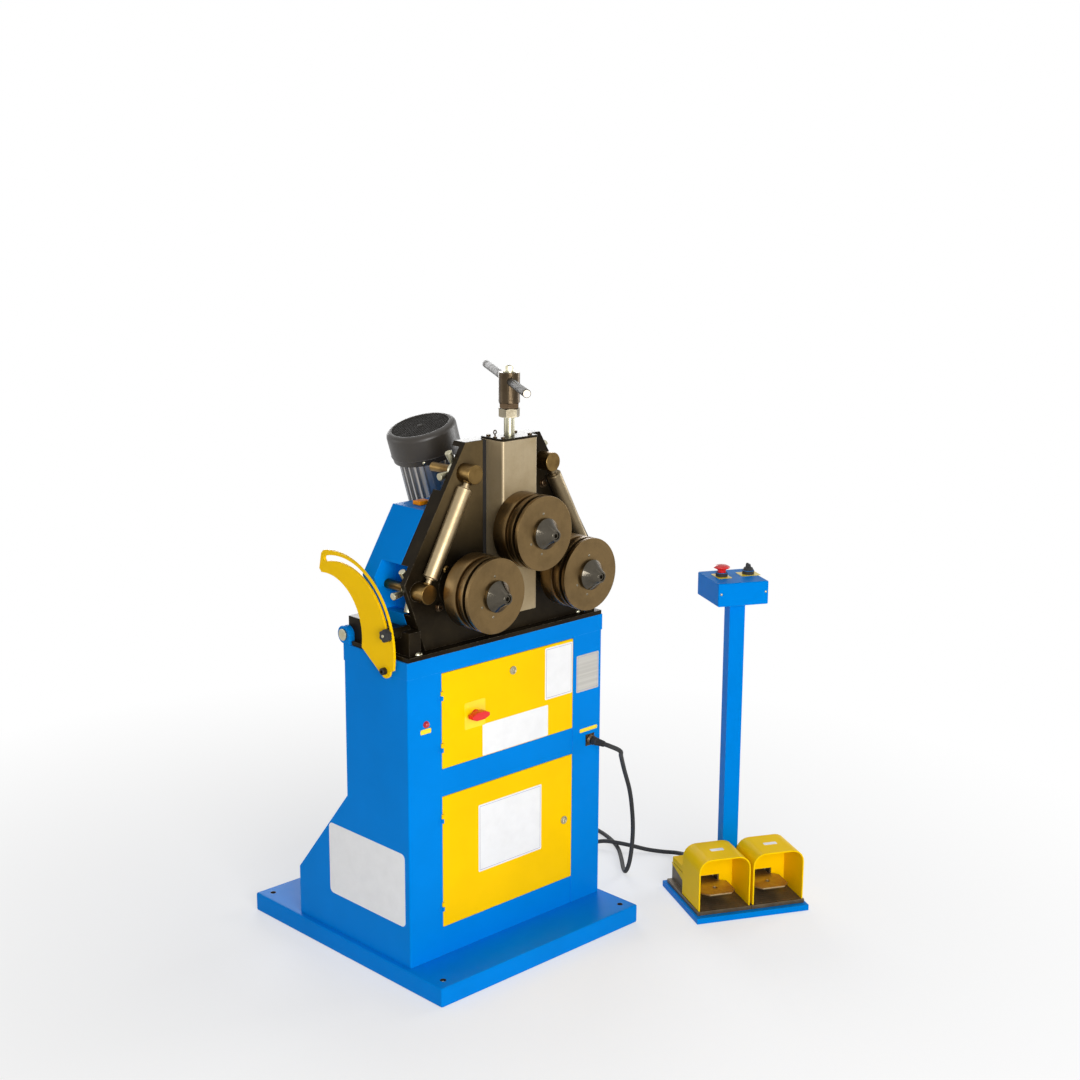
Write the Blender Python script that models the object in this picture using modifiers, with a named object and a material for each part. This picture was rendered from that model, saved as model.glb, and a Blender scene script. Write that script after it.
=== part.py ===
"""Three-roll ring roller on a sheet-metal stand, with a foot-pedal console on a cable.

Metres, +Z up, front towards -Y. The origin is the middle of the base plate's underside.
"""
import bpy
import bmesh
from math import cos, hypot, pi, radians, sin, sqrt
from mathutils import Matrix, Vector

# Clearances and shared settings
GAP = 0.0003
RUNNING_GAP = 0.0005
OVERRUN = 0.005
ROUND_STEPS = 32
FINE_STEPS = 40
SMALL_STEPS = 16
CORNER_STEPS = 4
MERGE = 0.00001
SHARP_ANGLE = radians(35)

# Base plate, a folded steel tray
BASE_SIDE = 0.0145
BASE_DEPTH = 0.690
BASE_HEIGHT = 0.046
BASE_SHEET = 0.005
BASE_EDGE = 0.0045
BASE_RIB_WIDTH = 0.030
ANCHOR_RADIUS = 0.007
ANCHOR_INSET = 0.030

# Cabinet
COLUMN_WIDTH = 0.095
CABINET_FRONT = -0.225
FOOT_HEIGHT = 0.118
SLOPE_HEIGHT = 0.229
CABINET_DEPTH_TOP = 0.216
CABINET_DEPTH_FOOT = 0.404
CABINET_SHEET = 0.003
SHELF_RISE = 0.037
CAP_HEIGHT = 0.038
CAP_PROUD = 0.0025

# Doors, both hinged on their left edge
LOWER_DOOR_RISE = 0.069
LOWER_DOOR_HEIGHT = 0.309
DOOR_GAP = 0.0008
DOOR_THICKNESS = 0.018
UPPER_DOOR_RISE = 0.025
UPPER_DOOR_HEIGHT = 0.219
UPPER_DOOR_DROP = 0.004
HINGE_RADIUS = 0.0032
HINGE_LENGTH = 0.020
HINGE_LEAF_WIDTH = 0.010
HINGE_INSET = 0.040
LOCK_RADIUS = 0.010
LOCK_PROUD = 0.004
LOCK_BARREL_RADIUS = 0.006
CAM_LENGTH = 0.046
CAM_WIDTH = 0.012
CAM_SHEET = 0.003
UPPER_LOCK_X = 0.009
UPPER_LOCK_DROP = 0.036
LOWER_LOCK_INSET = 0.027
LOWER_LOCK_RISE = 0.151
SWITCH_INSET = 0.096
SWITCH_RISE = 0.106
SWITCH_BASE_RADIUS = 0.0115
SWITCH_BASE_HEIGHT = 0.008
SWITCH_GRIP_LENGTH = 0.052
SWITCH_GRIP_WIDTH = 0.014
SWITCH_GRIP_HEIGHT = 0.014
SWITCH_SHAFT_RADIUS = 0.005
SWITCH_PLATE_SHEET = 0.0025

# Electric panel inside the upper compartment
PANEL_INSET = 0.023
PANEL_HEIGHT = 0.170
PANEL_SHEET = 0.003
PANEL_BLOCK_DEPTH = 0.060
PANEL_BLOCK_WIDTH = 0.070
PANEL_BLOCK_HEIGHT = 0.080

# Lamp and cable socket on the front columns
LAMP_INSET = 0.049
LAMP_RISE = 0.114
LAMP_RADIUS = 0.008
LAMP_PROUD = 0.009
LAMP_STEM_RADIUS = 0.005
LAMP_DOME_SHARES = ((0.6, 0.85), (0.85, 0.4), (1.0, 0.35))
SOCKET_INSET = 0.036
SOCKET_DROP = 0.014
SOCKET_FLANGE = 0.028
SOCKET_FLANGE_SHEET = 0.003
SOCKET_RADIUS = 0.011
SOCKET_LENGTH = 0.014
SOCKET_STEM_LENGTH = 0.020
PLUG_RADIUS = 0.0095
PLUG_LENGTH = 0.034
PLUG_TAIL_SHARE = 1.35

# Tilt hinge at the rear top edge of the cabinet
PIN_SHIFT = 0.001
PIN_CLEARANCE = 0.0008
PIN_RADIUS = 0.0135
PIN_SHOWN = 0.004
EAR_RADIUS = 0.020
EAR_WIDTH = 0.015
EAR_PROUD = 0.002

# Tilt quadrant and its bolt and clamp knob
QUADRANT_STANDOFF = 0.0035
QUADRANT_SHEET = 0.006
SLOT_RADIUS = 0.173
SLOT_HALF_WIDTH = 0.0063
REST_ANGLE = radians(12)
TILT_ANGLE = radians(90)
SLOT_SPARE_ANGLE = radians(3)
OUTER_ARC_MARGIN = 0.026
OUTER_ARC_SHIFT_Y = 0.013
OUTER_ARC_SHIFT_Z = -0.010
OUTER_ARC_START = radians(-9)
OUTER_ARC_END = radians(102)
INNER_ARC_MARGIN = 0.050
INNER_ARC_SHIFT_Y = 0.045
INNER_ARC_SHIFT_Z = 0.011
INNER_ARC_START = radians(-10)
INNER_ARC_END = radians(98)
QUADRANT_FOOT_INSET = 0.017
QUADRANT_FOOT_DROP = 0.027
QUADRANT_FOOT_RADIUS = 0.0165
QUADRANT_TIP_RADIUS = 0.008
QUADRANT_BOLT_RADIUS = 0.005
QUADRANT_BOLT_HEAD_RADIUS = 0.008
QUADRANT_BOLT_HEAD = 0.010
QUADRANT_BOLT_REACH = 0.012
KNOB_RADIUS = 0.014
KNOB_LENGTH = 0.015
KNOB_SCREW_RADIUS = 0.005
KNOB_SCREW_REACH = 0.012
KNOB_LOBES = 6
KNOB_LOBE_SHARE = 0.07

# Tilting head: base, frame and cover
FLANGE_SHEET = 0.0097
FLANGE_INSET = 0.001
FLANGE_SETBACK = 0.007
RAIL_SIDE = 0.0215
RAIL_WIDTH = 0.0325
RAIL_SETBACK = 0.010
RAIL_HEIGHT = 0.051
RAIL_END_RADIUS = 0.0192
BOSS_RADIUS = 0.013
FRAME_TOP_SIDE = 0.060
FRAME_WIDEST_RISE = 0.023
FRAME_WIDEST_SIDE = 0.037
FRAME_FOOT_SIDE = 0.0875
FRAME_SETBACK = 0.020
FRAME_PLATE = 0.015
FRAME_DEPTH = 0.038
FRAME_RIM = 0.062
REAR_PLATE_SETBACK = 0.037
REAR_PLATE_SHEET = 0.012
REAR_PLATE_RISE = 0.153
REAR_PLATE_SHARE = 0.78
PILLAR_RADIUS = 0.013
PILLAR_SIDE = 0.028
PILLAR_LOW_RISE = 0.0357
PILLAR_HIGH_DROP = 0.023
COVER_RISE = 0.015
COVER_SPARE = 0.012
COVER_SHEET = 0.003
COVER_SLOPE_SHARE = 1.15
NOTCH_SPARE = 0.0025

# Rolls
ROLL_RADIUS = 0.0825
ROLL_SPREAD = 0.143
GEAR_SPARE = 0.0184708
ROLL_NIP = 0.0185048
ROLL_SETBACK = 0.0007
REAR_DISC_WIDTH = 0.026
EDGE_RING_WIDTH = 0.009
EDGE_RING_RADIUS = 0.0805
THIN_GROOVE_WIDTH = 0.0025
THIN_GROOVE_RADIUS = 0.074
CHAMFER_WIDTH = 0.012
CHAMFER_RADIUS = 0.076
MIDDLE_DISC_WIDTH = 0.010
DEEP_GROOVE_WIDTH = 0.008
DEEP_GROOVE_RADIUS = 0.058
FRONT_DISC_WIDTH = 0.010
SHAFT_RADIUS = 0.0225
THREAD_RADIUS = 0.012
THREAD_LENGTH = 0.020
NUT_RADIUS = 0.0345
NUT_RIM = 0.006
NUT_TIP_RADIUS = 0.0125
NUT_LENGTH = 0.035
NUT_SOCKET_RADIUS = 0.008
NUT_SOCKET_DEPTH = 0.008
BOSS_OUTER_RADIUS = 0.048
BOSS_SHOWN = 0.0155

# Drive gears inside the rear cover
GEAR_TEETH = 54
PINION_TEETH = 18
GEAR_SETBACK = 0.020
GEAR_WIDTH = 0.024
TOOTH_TIP_SHARE = 0.75
TOOTH_ROOT_SHARE = 1.05
TOOTH_THICKNESS_SHARE = 0.40
TOOTH_TAPER_SHARE = 0.55
PINION_SHAFT_RADIUS = 0.012
PINION_SHAFT_REACH = 0.025

# Gearbox and motor behind the cover
GEARBOX_HALF_WIDTH = 0.085
GEARBOX_DEPTH = 0.137
GEARBOX_RISE = 0.0297
GEARBOX_HEIGHT = 0.198
GEARBOX_EDGE = 0.012
MOTOR_FOOT_X = 0.004106
MOTOR_SETBACK = 0.072
MOTOR_STUB_RISE = 0.023132
MOTOR_LEAN = radians(17)
COWL_RADIUS = 0.081
COWL_MOUTH_RADIUS = 0.078
COWL_HEIGHT = 0.070
COWL_SHEET = 0.0025
COWL_EDGE = 0.020
COWL_EDGE_SHARES = (0.35, 0.30)
COWL_SEAT_SHARE = 0.96
MOTOR_CORE_RADIUS = 0.060
MOTOR_FIN_RADIUS = 0.068
MOTOR_FINS = 24
FIN_SHARES = (0.0, 0.55, 0.65, 0.90)
MOTOR_BODY_LENGTH = 0.125
MOTOR_FLANGE_RADIUS = 0.062
MOTOR_FLANGE_HEIGHT = 0.014
TERMINAL_BOX_WIDTH = 0.085
TERMINAL_BOX_DEPTH = 0.034
TERMINAL_BOX_HEIGHT = 0.075
TERMINAL_BOX_TURN = radians(-45)
FAN_RADIUS = 0.066
FAN_HUB_RADIUS = 0.018
FAN_HEIGHT = 0.024
FAN_BLADES = 7
FAN_BLADE_SHEET = 0.003
ROTOR_RADIUS = 0.007
ROTOR_REACH = 0.060

# Slide housing and the top roll's slide block
HOUSING_HALF_WIDTH = 0.052
HOUSING_SHOWN = 0.0005
HOUSING_DEPTH = 0.072
HOUSING_SEAT_RISE = 0.057
HOUSING_RISE = 0.0005
HOUSING_WALL = 0.014
HOUSING_FLOOR_SPARE = 0.022
HOUSING_CORNER = 0.006
SHAFT_SEAT_SHARE = 1.5
SLIDE_SLOT_SPARE = 0.002
SLIDE_BLOCK_HALF_HEIGHT = 0.055
SLIDE_DOWN = 0.030
SLIDE_UP = 0.040
HOUSING_CAP_HEIGHT = 0.005
HOUSING_CAP_LIP = 0.0005

# Press screw and its tee handle
SCREW_RADIUS = 0.012
LOWER_NUT_HEIGHT = 0.020
UPPER_NUT_HEIGHT = 0.012
NUT_ACROSS_FLATS = 0.041
HUB_RADIUS = 0.0235
STOP_SPARE = 0.0104
LOCK_NUT_SHARE = 0.97
HUB_HEIGHT = 0.066
HUB_BORE_DEPTH = 0.020
HUB_BOLT_RADIUS = 0.0075
HUB_BOLT_HEIGHT = 0.010
HUB_WASHER_RADIUS = 0.011
HUB_WASHER_HEIGHT = 0.003
BAR_RADIUS = 0.009
BAR_HALF_LENGTH = 0.2605
BAR_SHIFT = 0.052
BAR_DROP = 0.0194
BAR_HEADING = radians(-123.3)

# Guide rollers on their studs, clamped by five-spoke capstan nuts
STUD_RADIUS = 0.0215
UPPER_STUD_SIDE = 0.065
UPPER_STUD_SPARE = 0.028
UPPER_STUD_DROP = 0.0655
LOWER_STUD_SIDE = 0.107
LOWER_STUD_RISE = 0.004
STUD_SETBACK = 0.001
STUD_NECK_RADIUS = 0.011
STUD_GEAR_SPARE = 0.008
GUIDE_SPARE = 0.004
GUIDE_RADIUS = 0.017
GUIDE_JOURNAL_RADIUS = 0.007
GUIDE_JOURNAL_SHOWN = 0.013
GUIDE_SOCKET_DEPTH = 0.012
CAPSTAN_SETBACK = 0.0007
CAPSTAN_LENGTH = 0.019
CAPSTAN_SPARE = 0.005
CAPSTAN_HUB_RADIUS = 0.019
CAPSTAN_REACH = 0.050
SPOKE_NECK_RADIUS = 0.0045
SPOKE_GRIP_RADIUS = 0.0085
SPOKE_GRIP_SHARE = 0.55
SPOKE_TAPER_SHARE = 0.8
SPOKES = 5
SPOKE_TURN = radians(45)

# Console with control box and two pedals, turned about Z on the floor
CONSOLE_X = 0.5904
CONSOLE_Y = -0.419
CONSOLE_TURN = radians(-27.5)
STAND_WIDTH = 0.294
STAND_DEPTH = 0.236
STAND_SHEET = 0.015
STAND_EDGE = 0.003
POST_A = -0.010
POST_B = 0.031
POST_WIDTH = 0.040
POST_DEPTH = 0.034
POST_WALL = 0.003
POST_TOP = 0.7627
BOX_A = -0.015
BOX_B = 0.036
BOX_WIDTH = 0.129
BOX_DEPTH = 0.133
BOX_HEIGHT = 0.057
BOX_WALL = 0.002
BOX_EDGE = 0.003
ESTOP_A = -0.042
ESTOP_B = 0.043
ESTOP_RADIUS = 0.020
ESTOP_CAP_HEIGHT = 0.010
ESTOP_STEM_RADIUS = 0.010
ESTOP_STEM_HEIGHT = 0.009
ESTOP_TRAVEL = 0.004
ESTOP_DOME_SHARES = ((0.0, 0.0), (0.6, 0.08), (0.92, 0.35), (1.0, 0.6), (0.96, 0.8))
COLLAR_RADIUS = 0.0145
COLLAR_HEIGHT = 0.010
SELECTOR_A = 0.029
SELECTOR_B = 0.047
SELECTOR_RADIUS = 0.013
SELECTOR_BASE_HEIGHT = 0.006
SELECTOR_GRIP_LENGTH = 0.024
SELECTOR_GRIP_WIDTH = 0.007
SELECTOR_GRIP_HEIGHT = 0.010
SELECTOR_STEM_RADIUS = 0.006
SELECTOR_TAPER_SHARE = 0.85

# Pedal units
UNIT_SPREAD = 0.0705
UNIT_WIDTH = 0.140
UNIT_FRONT = -0.104
UNIT_DEPTH = 0.207
UNIT_TRAY = 0.010
BLOCK_FRONT = 0.0085
BLOCK_WIDTH = 0.114
BLOCK_TOP = 0.068
POCKET_HALF = 0.026
POCKET_DEPTH = 0.048
POCKET_FLOOR = 0.030
GUARD_WIDTH = 0.134
GUARD_FRONT = -0.101
GUARD_REAR = 0.008
GUARD_TOP = 0.155
GUARD_RADIUS = 0.032
GUARD_WALL = 0.0035
GUARD_SLOT_HALF = 0.029
GUARD_SLOT_LOW = 0.036
GUARD_SLOT_HIGH = 0.0675
HOOD_TOP = 0.085
PEDAL_SHEET = 0.004
PEDAL_HALF_WIDTH = 0.044
PEDAL_FRONT = -0.078
PEDAL_SHOULDER = -0.010
PEDAL_CORNER = 0.016
PEDAL_ARM_HALF = 0.022
PEDAL_AXIS_B = 0.036
PEDAL_AXIS_Z = 0.052
PEDAL_PIN_RADIUS = 0.004
PEDAL_PIN_HALF = 0.036
PEDAL_HOLE_RADIUS = 0.006
PEDAL_HOLE_B = -0.040
GLAND_RADIUS = 0.009
GLAND_LENGTH = 0.014
GLAND_Z = 0.032

# Control cable
CABLE_RADIUS = 0.0055
CABLE_STRAIGHT = 2 * CABLE_RADIUS
CABLE_POINTS = 76
CABLE_SIDE_RESOLUTION = 2
CABLE_FLOOR_Z = CABLE_RADIUS + GAP
CABLE_OVER_Z = 3 * CABLE_RADIUS + 4 * GAP

# Colours as (red, green, blue), roughness and metallic
FINISHES = {
    "blue_paint": ((0.0, 0.23, 0.78), 0.35, 0.0),
    "yellow_paint": ((0.95, 0.48, 0.01), 0.35, 0.0),
    "black_paint": ((0.02, 0.02, 0.022), 0.45, 0.0),
    "oiled_steel": ((0.32, 0.25, 0.16), 0.35, 0.9),
    "zinc": ((0.62, 0.60, 0.52), 0.3, 1.0),
    "bronze": ((0.40, 0.26, 0.10), 0.35, 1.0),
    "dark_steel": ((0.06, 0.06, 0.06), 0.3, 0.9),
    "black_plastic": ((0.015, 0.015, 0.016), 0.5, 0.0),
    "red_plastic": ((0.75, 0.01, 0.01), 0.3, 0.0),
    "cable_rubber": ((0.02, 0.02, 0.02), 0.6, 0.0),
    "motor_silver": ((0.45, 0.44, 0.42), 0.45, 0.8),
    "yellow_plastic": ((1.0, 0.55, 0.0), 0.4, 0.0),
}

# Sizes worked out from the driving ones: the cabinet from the floor up
LOWER_DOOR_LOW = BASE_HEIGHT + LOWER_DOOR_RISE
LOWER_DOOR_HIGH = LOWER_DOOR_LOW + LOWER_DOOR_HEIGHT
SHELF_Z = LOWER_DOOR_HIGH + SHELF_RISE
UPPER_DOOR_LOW = SHELF_Z + CABINET_SHEET + UPPER_DOOR_RISE
UPPER_DOOR_HIGH = UPPER_DOOR_LOW + UPPER_DOOR_HEIGHT
CABINET_TOP = UPPER_DOOR_HIGH + UPPER_DOOR_DROP + CAP_HEIGHT
CABINET_SLOPE_FOOT = BASE_HEIGHT + FOOT_HEIGHT
CABINET_SLOPE_TOP = CABINET_SLOPE_FOOT + SLOPE_HEIGHT
CABINET_BACK = CABINET_FRONT + CABINET_DEPTH_TOP
CABINET_FOOT = CABINET_FRONT + CABINET_DEPTH_FOOT
UPPER_LOCK_Z = UPPER_DOOR_HIGH - UPPER_LOCK_DROP
LOWER_LOCK_Z = LOWER_DOOR_LOW + LOWER_LOCK_RISE
SWITCH_Z = UPPER_DOOR_LOW + SWITCH_RISE
LAMP_Z = UPPER_DOOR_LOW + LAMP_RISE
SOCKET_Z = SHELF_Z - SOCKET_DROP
PIN_Y = CABINET_BACK + PIN_SHIFT
PIN_Z = CABINET_TOP + RAIL_END_RADIUS + PIN_CLEARANCE
QUADRANT_FOOT_Y = PIN_Y - SLOT_RADIUS + QUADRANT_FOOT_INSET
QUADRANT_FOOT_Z = CABINET_TOP - QUADRANT_FOOT_DROP

# Heights in the head, from the cabinet's top up
FLANGE_LOW = CABINET_TOP + GAP
FLANGE_TOP = FLANGE_LOW + FLANGE_SHEET
RAIL_TOP = FLANGE_TOP + RAIL_HEIGHT
FRAME_FOOT = FLANGE_TOP + GAP
GEAR_MODULE = 2 * ROLL_SPREAD / (GEAR_TEETH + PINION_TEETH)
GEAR_TIP_RADIUS = GEAR_MODULE * (GEAR_TEETH / 2 + TOOTH_TIP_SHARE)
LOWER_ROLL_Z = FRAME_FOOT + COVER_SHEET + GEAR_TIP_RADIUS + GEAR_SPARE
TOP_ROLL_Z = LOWER_ROLL_Z + sqrt((2 * ROLL_RADIUS + ROLL_NIP) ** 2 - ROLL_SPREAD ** 2)
FRAME_WIDEST_Z = LOWER_ROLL_Z + FRAME_WIDEST_RISE
REAR_PLATE_TOP = LOWER_ROLL_Z + REAR_PLATE_RISE
COVER_TOP = REAR_PLATE_TOP + COVER_RISE
PILLAR_LOW_Z = FRAME_FOOT + PILLAR_LOW_RISE
PILLAR_HIGH_Z = REAR_PLATE_TOP - PILLAR_HIGH_DROP
CAPSTAN_ROOM = CAPSTAN_REACH + CAPSTAN_SPARE
LOWER_STUD_Z = LOWER_ROLL_Z + LOWER_STUD_RISE
UPPER_STUD_Z = COVER_TOP + CAPSTAN_REACH + UPPER_STUD_SPARE
FRAME_TOP = UPPER_STUD_Z + UPPER_STUD_DROP
HOUSING_LOW = FRAME_FOOT + HOUSING_SEAT_RISE
HOUSING_HIGH = FRAME_TOP + HOUSING_RISE
HOUSING_FLOOR_Z = TOP_ROLL_Z - SLIDE_DOWN - SLIDE_BLOCK_HALF_HEIGHT - HOUSING_FLOOR_SPARE
SLIDE_TOP = TOP_ROLL_Z + SLIDE_BLOCK_HALF_HEIGHT
CAP_TOP = HOUSING_HIGH + GAP + HOUSING_CAP_HEIGHT
NUTS_LOW = CAP_TOP + SLIDE_DOWN + STOP_SPARE
HUB_LOW = NUTS_LOW + LOWER_NUT_HEIGHT + UPPER_NUT_HEIGHT + GAP
HUB_TOP = HUB_LOW + HUB_HEIGHT
BAR_Z = HUB_TOP - BAR_DROP
GEARBOX_LOW = FRAME_FOOT + GEARBOX_RISE
GEARBOX_HIGH = GEARBOX_LOW + GEARBOX_HEIGHT
MOTOR_LENGTH = COWL_HEIGHT + MOTOR_BODY_LENGTH + MOTOR_FLANGE_HEIGHT
MOTOR_TOP_X = MOTOR_FOOT_X - MOTOR_LENGTH * sin(MOTOR_LEAN)
MOTOR_TOP_Z = GEARBOX_HIGH + MOTOR_STUB_RISE + MOTOR_LENGTH * cos(MOTOR_LEAN)

# Widths, from the rolls outwards
SLIDE_SLOT_HALF = SHAFT_RADIUS + SLIDE_SLOT_SPARE
PILLAR_X = HOUSING_HALF_WIDTH + PILLAR_SIDE
FRAME_TOP_HALF = HOUSING_HALF_WIDTH + FRAME_TOP_SIDE
UPPER_STUD_X = HOUSING_HALF_WIDTH + UPPER_STUD_SIDE
LOWER_STUD_X = ROLL_SPREAD + LOWER_STUD_SIDE
NOTCH_INNER = LOWER_STUD_X - STUD_RADIUS
FRAME_WIDEST_HALF = LOWER_STUD_X + FRAME_WIDEST_SIDE
FRAME_FOOT_HALF = ROLL_SPREAD + FRAME_FOOT_SIDE
RAIL_INNER = FRAME_FOOT_HALF + RAIL_SIDE
RAIL_OUTER = RAIL_INNER + RAIL_WIDTH
EAR_OUTER = RAIL_OUTER + RUNNING_GAP + EAR_WIDTH
PIN_HALF_LENGTH = EAR_OUTER + PIN_SHOWN
CABINET_HALF_WIDTH = EAR_OUTER - EAR_PROUD
FLANGE_HALF_WIDTH = CABINET_HALF_WIDTH - FLANGE_INSET
BASE_WIDTH = 2 * (CABINET_HALF_WIDTH + BASE_SIDE)
DOOR_HALF_WIDTH = CABINET_HALF_WIDTH - COLUMN_WIDTH
HINGE_X = -DOOR_HALF_WIDTH - HINGE_RADIUS / 2
LOWER_LOCK_X = DOOR_HALF_WIDTH - LOWER_LOCK_INSET
SWITCH_X = -DOOR_HALF_WIDTH + SWITCH_INSET
PANEL_HALF_WIDTH = DOOR_HALF_WIDTH - PANEL_INSET
LAMP_X = -CABINET_HALF_WIDTH + LAMP_INSET
SOCKET_X = CABINET_HALF_WIDTH - SOCKET_INSET
QUADRANT_X = -CABINET_HALF_WIDTH - CAP_PROUD - QUADRANT_STANDOFF

# Depths, from the cabinet's front: the frame, then forwards and backwards from it
HINGE_Y = CABINET_FRONT - HINGE_RADIUS - GAP
RAIL_FRONT = CABINET_FRONT + RAIL_SETBACK
FLANGE_REAR = PIN_Y - EAR_RADIUS - FLANGE_SETBACK
FRAME_FRONT = CABINET_FRONT + FRAME_SETBACK
PLATE_REAR = FRAME_FRONT + FRAME_PLATE
FRAME_REAR = FRAME_FRONT + FRAME_DEPTH
GUIDE_AXIS_Y = FRAME_FRONT - GUIDE_SPARE - GUIDE_RADIUS
STUD_FRONT = GUIDE_AXIS_Y - GUIDE_RADIUS
BOSS_FRONT = STUD_FRONT - BOSS_SHOWN
HOUSING_FRONT = BOSS_FRONT - HOUSING_SHOWN
HOUSING_REAR = HOUSING_FRONT + HOUSING_DEPTH
SCREW_Y = (HOUSING_FRONT + HOUSING_REAR) / 2
ROLL_REAR = HOUSING_FRONT - ROLL_SETBACK
ROLL_WIDTH = (REAR_DISC_WIDTH + EDGE_RING_WIDTH + THIN_GROOVE_WIDTH + CHAMFER_WIDTH
              + MIDDLE_DISC_WIDTH + DEEP_GROOVE_WIDTH + FRONT_DISC_WIDTH)
ROLL_FACE = ROLL_REAR - ROLL_WIDTH
STUD_REAR = PLATE_REAR - STUD_SETBACK
CAPSTAN_FRONT = PLATE_REAR + CAPSTAN_SETBACK
REAR_PLATE_FRONT = FRAME_REAR + REAR_PLATE_SETBACK
GEAR_FRONT = REAR_PLATE_FRONT + REAR_PLATE_SHEET + GEAR_SETBACK
STUD_NECK_REAR = GEAR_FRONT - STUD_GEAR_SPARE
NOTCH_REAR = STUD_NECK_REAR + NOTCH_SPARE
COVER_REAR = GEAR_FRONT + GEAR_WIDTH + COVER_SPARE
MOTOR_TOP_Y = COVER_REAR + MOTOR_SETBACK

# The clamp knob, the console and the pedal units
OUTER_ARC_RADIUS = SLOT_RADIUS + OUTER_ARC_MARGIN
INNER_ARC_RADIUS = SLOT_RADIUS - INNER_ARC_MARGIN
KNOB_Y = PIN_Y - SLOT_RADIUS * cos(REST_ANGLE)
KNOB_Z = PIN_Z + SLOT_RADIUS * sin(REST_ANGLE)
BOX_LOW = POST_TOP + GAP
BOX_TOP = BOX_LOW + BOX_HEIGHT
UNIT_REAR = UNIT_FRONT + UNIT_DEPTH
UNIT_LOW = STAND_SHEET + GAP


def remove_everything():
    for obj in list(bpy.data.objects):
        bpy.data.objects.remove(obj, do_unlink=True)


def make_collection(name):
    collection = bpy.data.collections.new(name)
    bpy.context.scene.collection.children.link(collection)
    return collection


def finish(name):
    """A Principled material with one of the finishes above."""
    material = bpy.data.materials.get(name)
    if material:
        return material
    colour, roughness, metallic = FINISHES[name]
    material = bpy.data.materials.new(name)
    material.use_nodes = True
    shader = material.node_tree.nodes["Principled BSDF"]
    shader.inputs["Base Color"].default_value = (*colour, 1.0)
    shader.inputs["Roughness"].default_value = roughness
    shader.inputs["Metallic"].default_value = metallic
    material.diffuse_color = (*colour, 1.0)
    return material


def add_mesh(name, mesh):
    """An object in the part's collection."""
    obj = bpy.data.objects.new(name, mesh)
    PARTS.objects.link(obj)
    return obj


def from_bmesh(name, bm):
    mesh = bpy.data.meshes.new(name)
    bm.to_mesh(mesh)
    bm.free()
    return add_mesh(name, mesh)


def box(name, low, high, edge=0.0):
    """A block between two corners, with its edges rounded if edge is given."""
    bm = bmesh.new()
    size = Vector(high) - Vector(low)
    bmesh.ops.create_cube(bm, size=1.0)
    bmesh.ops.scale(bm, vec=size, verts=bm.verts)
    bmesh.ops.translate(bm, vec=(Vector(high) + Vector(low)) / 2, verts=bm.verts)
    obj = from_bmesh(name, bm)
    if edge:
        bevel = obj.modifiers.new("edges", "BEVEL")
        bevel.width = edge
        bevel.segments = 2
    return obj


def frame_to(start, direction):
    """A matrix that takes +Z to the direction and the origin to the start."""
    turn = Vector((0, 0, 1)).rotation_difference(Vector(direction).normalized())
    return Matrix.Translation(Vector(start)) @ turn.to_matrix().to_4x4()


def rod(name, start, end, radius, end_radius=None, steps=ROUND_STEPS):
    """A round bar or cone from one point to another."""
    start = Vector(start)
    end = Vector(end)
    bm = bmesh.new()
    far = radius if end_radius is None else end_radius
    length = (end - start).length
    bmesh.ops.create_cone(bm, cap_ends=True, segments=steps, radius1=radius,
                          radius2=far, depth=length)
    bmesh.ops.translate(bm, vec=(0, 0, length / 2), verts=bm.verts)
    bmesh.ops.transform(bm, matrix=frame_to(start, end - start), verts=bm.verts)
    return from_bmesh(name, bm)


def turned(name, profile, matrix, steps=ROUND_STEPS):
    """A lathe shape: (radius, height) from top to bottom on its outer side, about +Z."""
    bm = bmesh.new()
    verts = [bm.verts.new((radius, 0, height)) for radius, height in profile]
    for first, second in zip(verts, verts[1:]):
        bm.edges.new((first, second))
    if profile[0][0] > MERGE:
        bm.edges.new((verts[-1], verts[0]))
    obj = from_bmesh(name, bm)
    obj.matrix_basis = matrix
    screw = obj.modifiers.new("lathe", "SCREW")
    screw.steps = steps
    screw.render_steps = steps
    screw.use_merge_vertices = True
    screw.merge_threshold = MERGE
    return obj


def circle_points(centre, radius, steps=SMALL_STEPS, start=0.0):
    turns = [start + 2 * pi * i / steps for i in range(steps)]
    return [(centre[0] + radius * cos(t), centre[1] + radius * sin(t)) for t in turns]


def flat_plate(name, outline, matrix, thickness, holes=()):
    """A flat outline with holes, from the plane up to its thickness along +Z."""
    curve = bpy.data.curves.new(name, "CURVE")
    curve.dimensions = "2D"
    curve.fill_mode = "BOTH"
    curve.extrude = thickness / 2
    for points in (outline, *holes):
        spline = curve.splines.new("POLY")
        spline.points.add(len(points) - 1)
        for point, (u, v) in zip(spline.points, points):
            point.co = (u, v, 0, 1)
        spline.use_cyclic_u = True
    obj = bpy.data.objects.new(name, curve)
    bpy.context.scene.collection.objects.link(obj)
    mesh = solid_mesh(obj)
    mesh.transform(matrix @ Matrix.Translation((0, 0, thickness / 2)))
    if matrix.determinant() < 0:
        mesh.flip_normals()
    bpy.data.objects.remove(obj, do_unlink=True)
    return add_mesh(name, mesh)


def solid_mesh(obj):
    """The evaluated mesh of an object, welded and facing outwards."""
    depsgraph = bpy.context.evaluated_depsgraph_get()
    mesh = bpy.data.meshes.new_from_object(obj.evaluated_get(depsgraph))
    bm = bmesh.new()
    bm.from_mesh(mesh)
    bmesh.ops.remove_doubles(bm, verts=bm.verts[:], dist=MERGE)
    bmesh.ops.recalc_face_normals(bm, faces=bm.faces[:])
    bm.to_mesh(mesh)
    bm.free()
    return mesh


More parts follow.
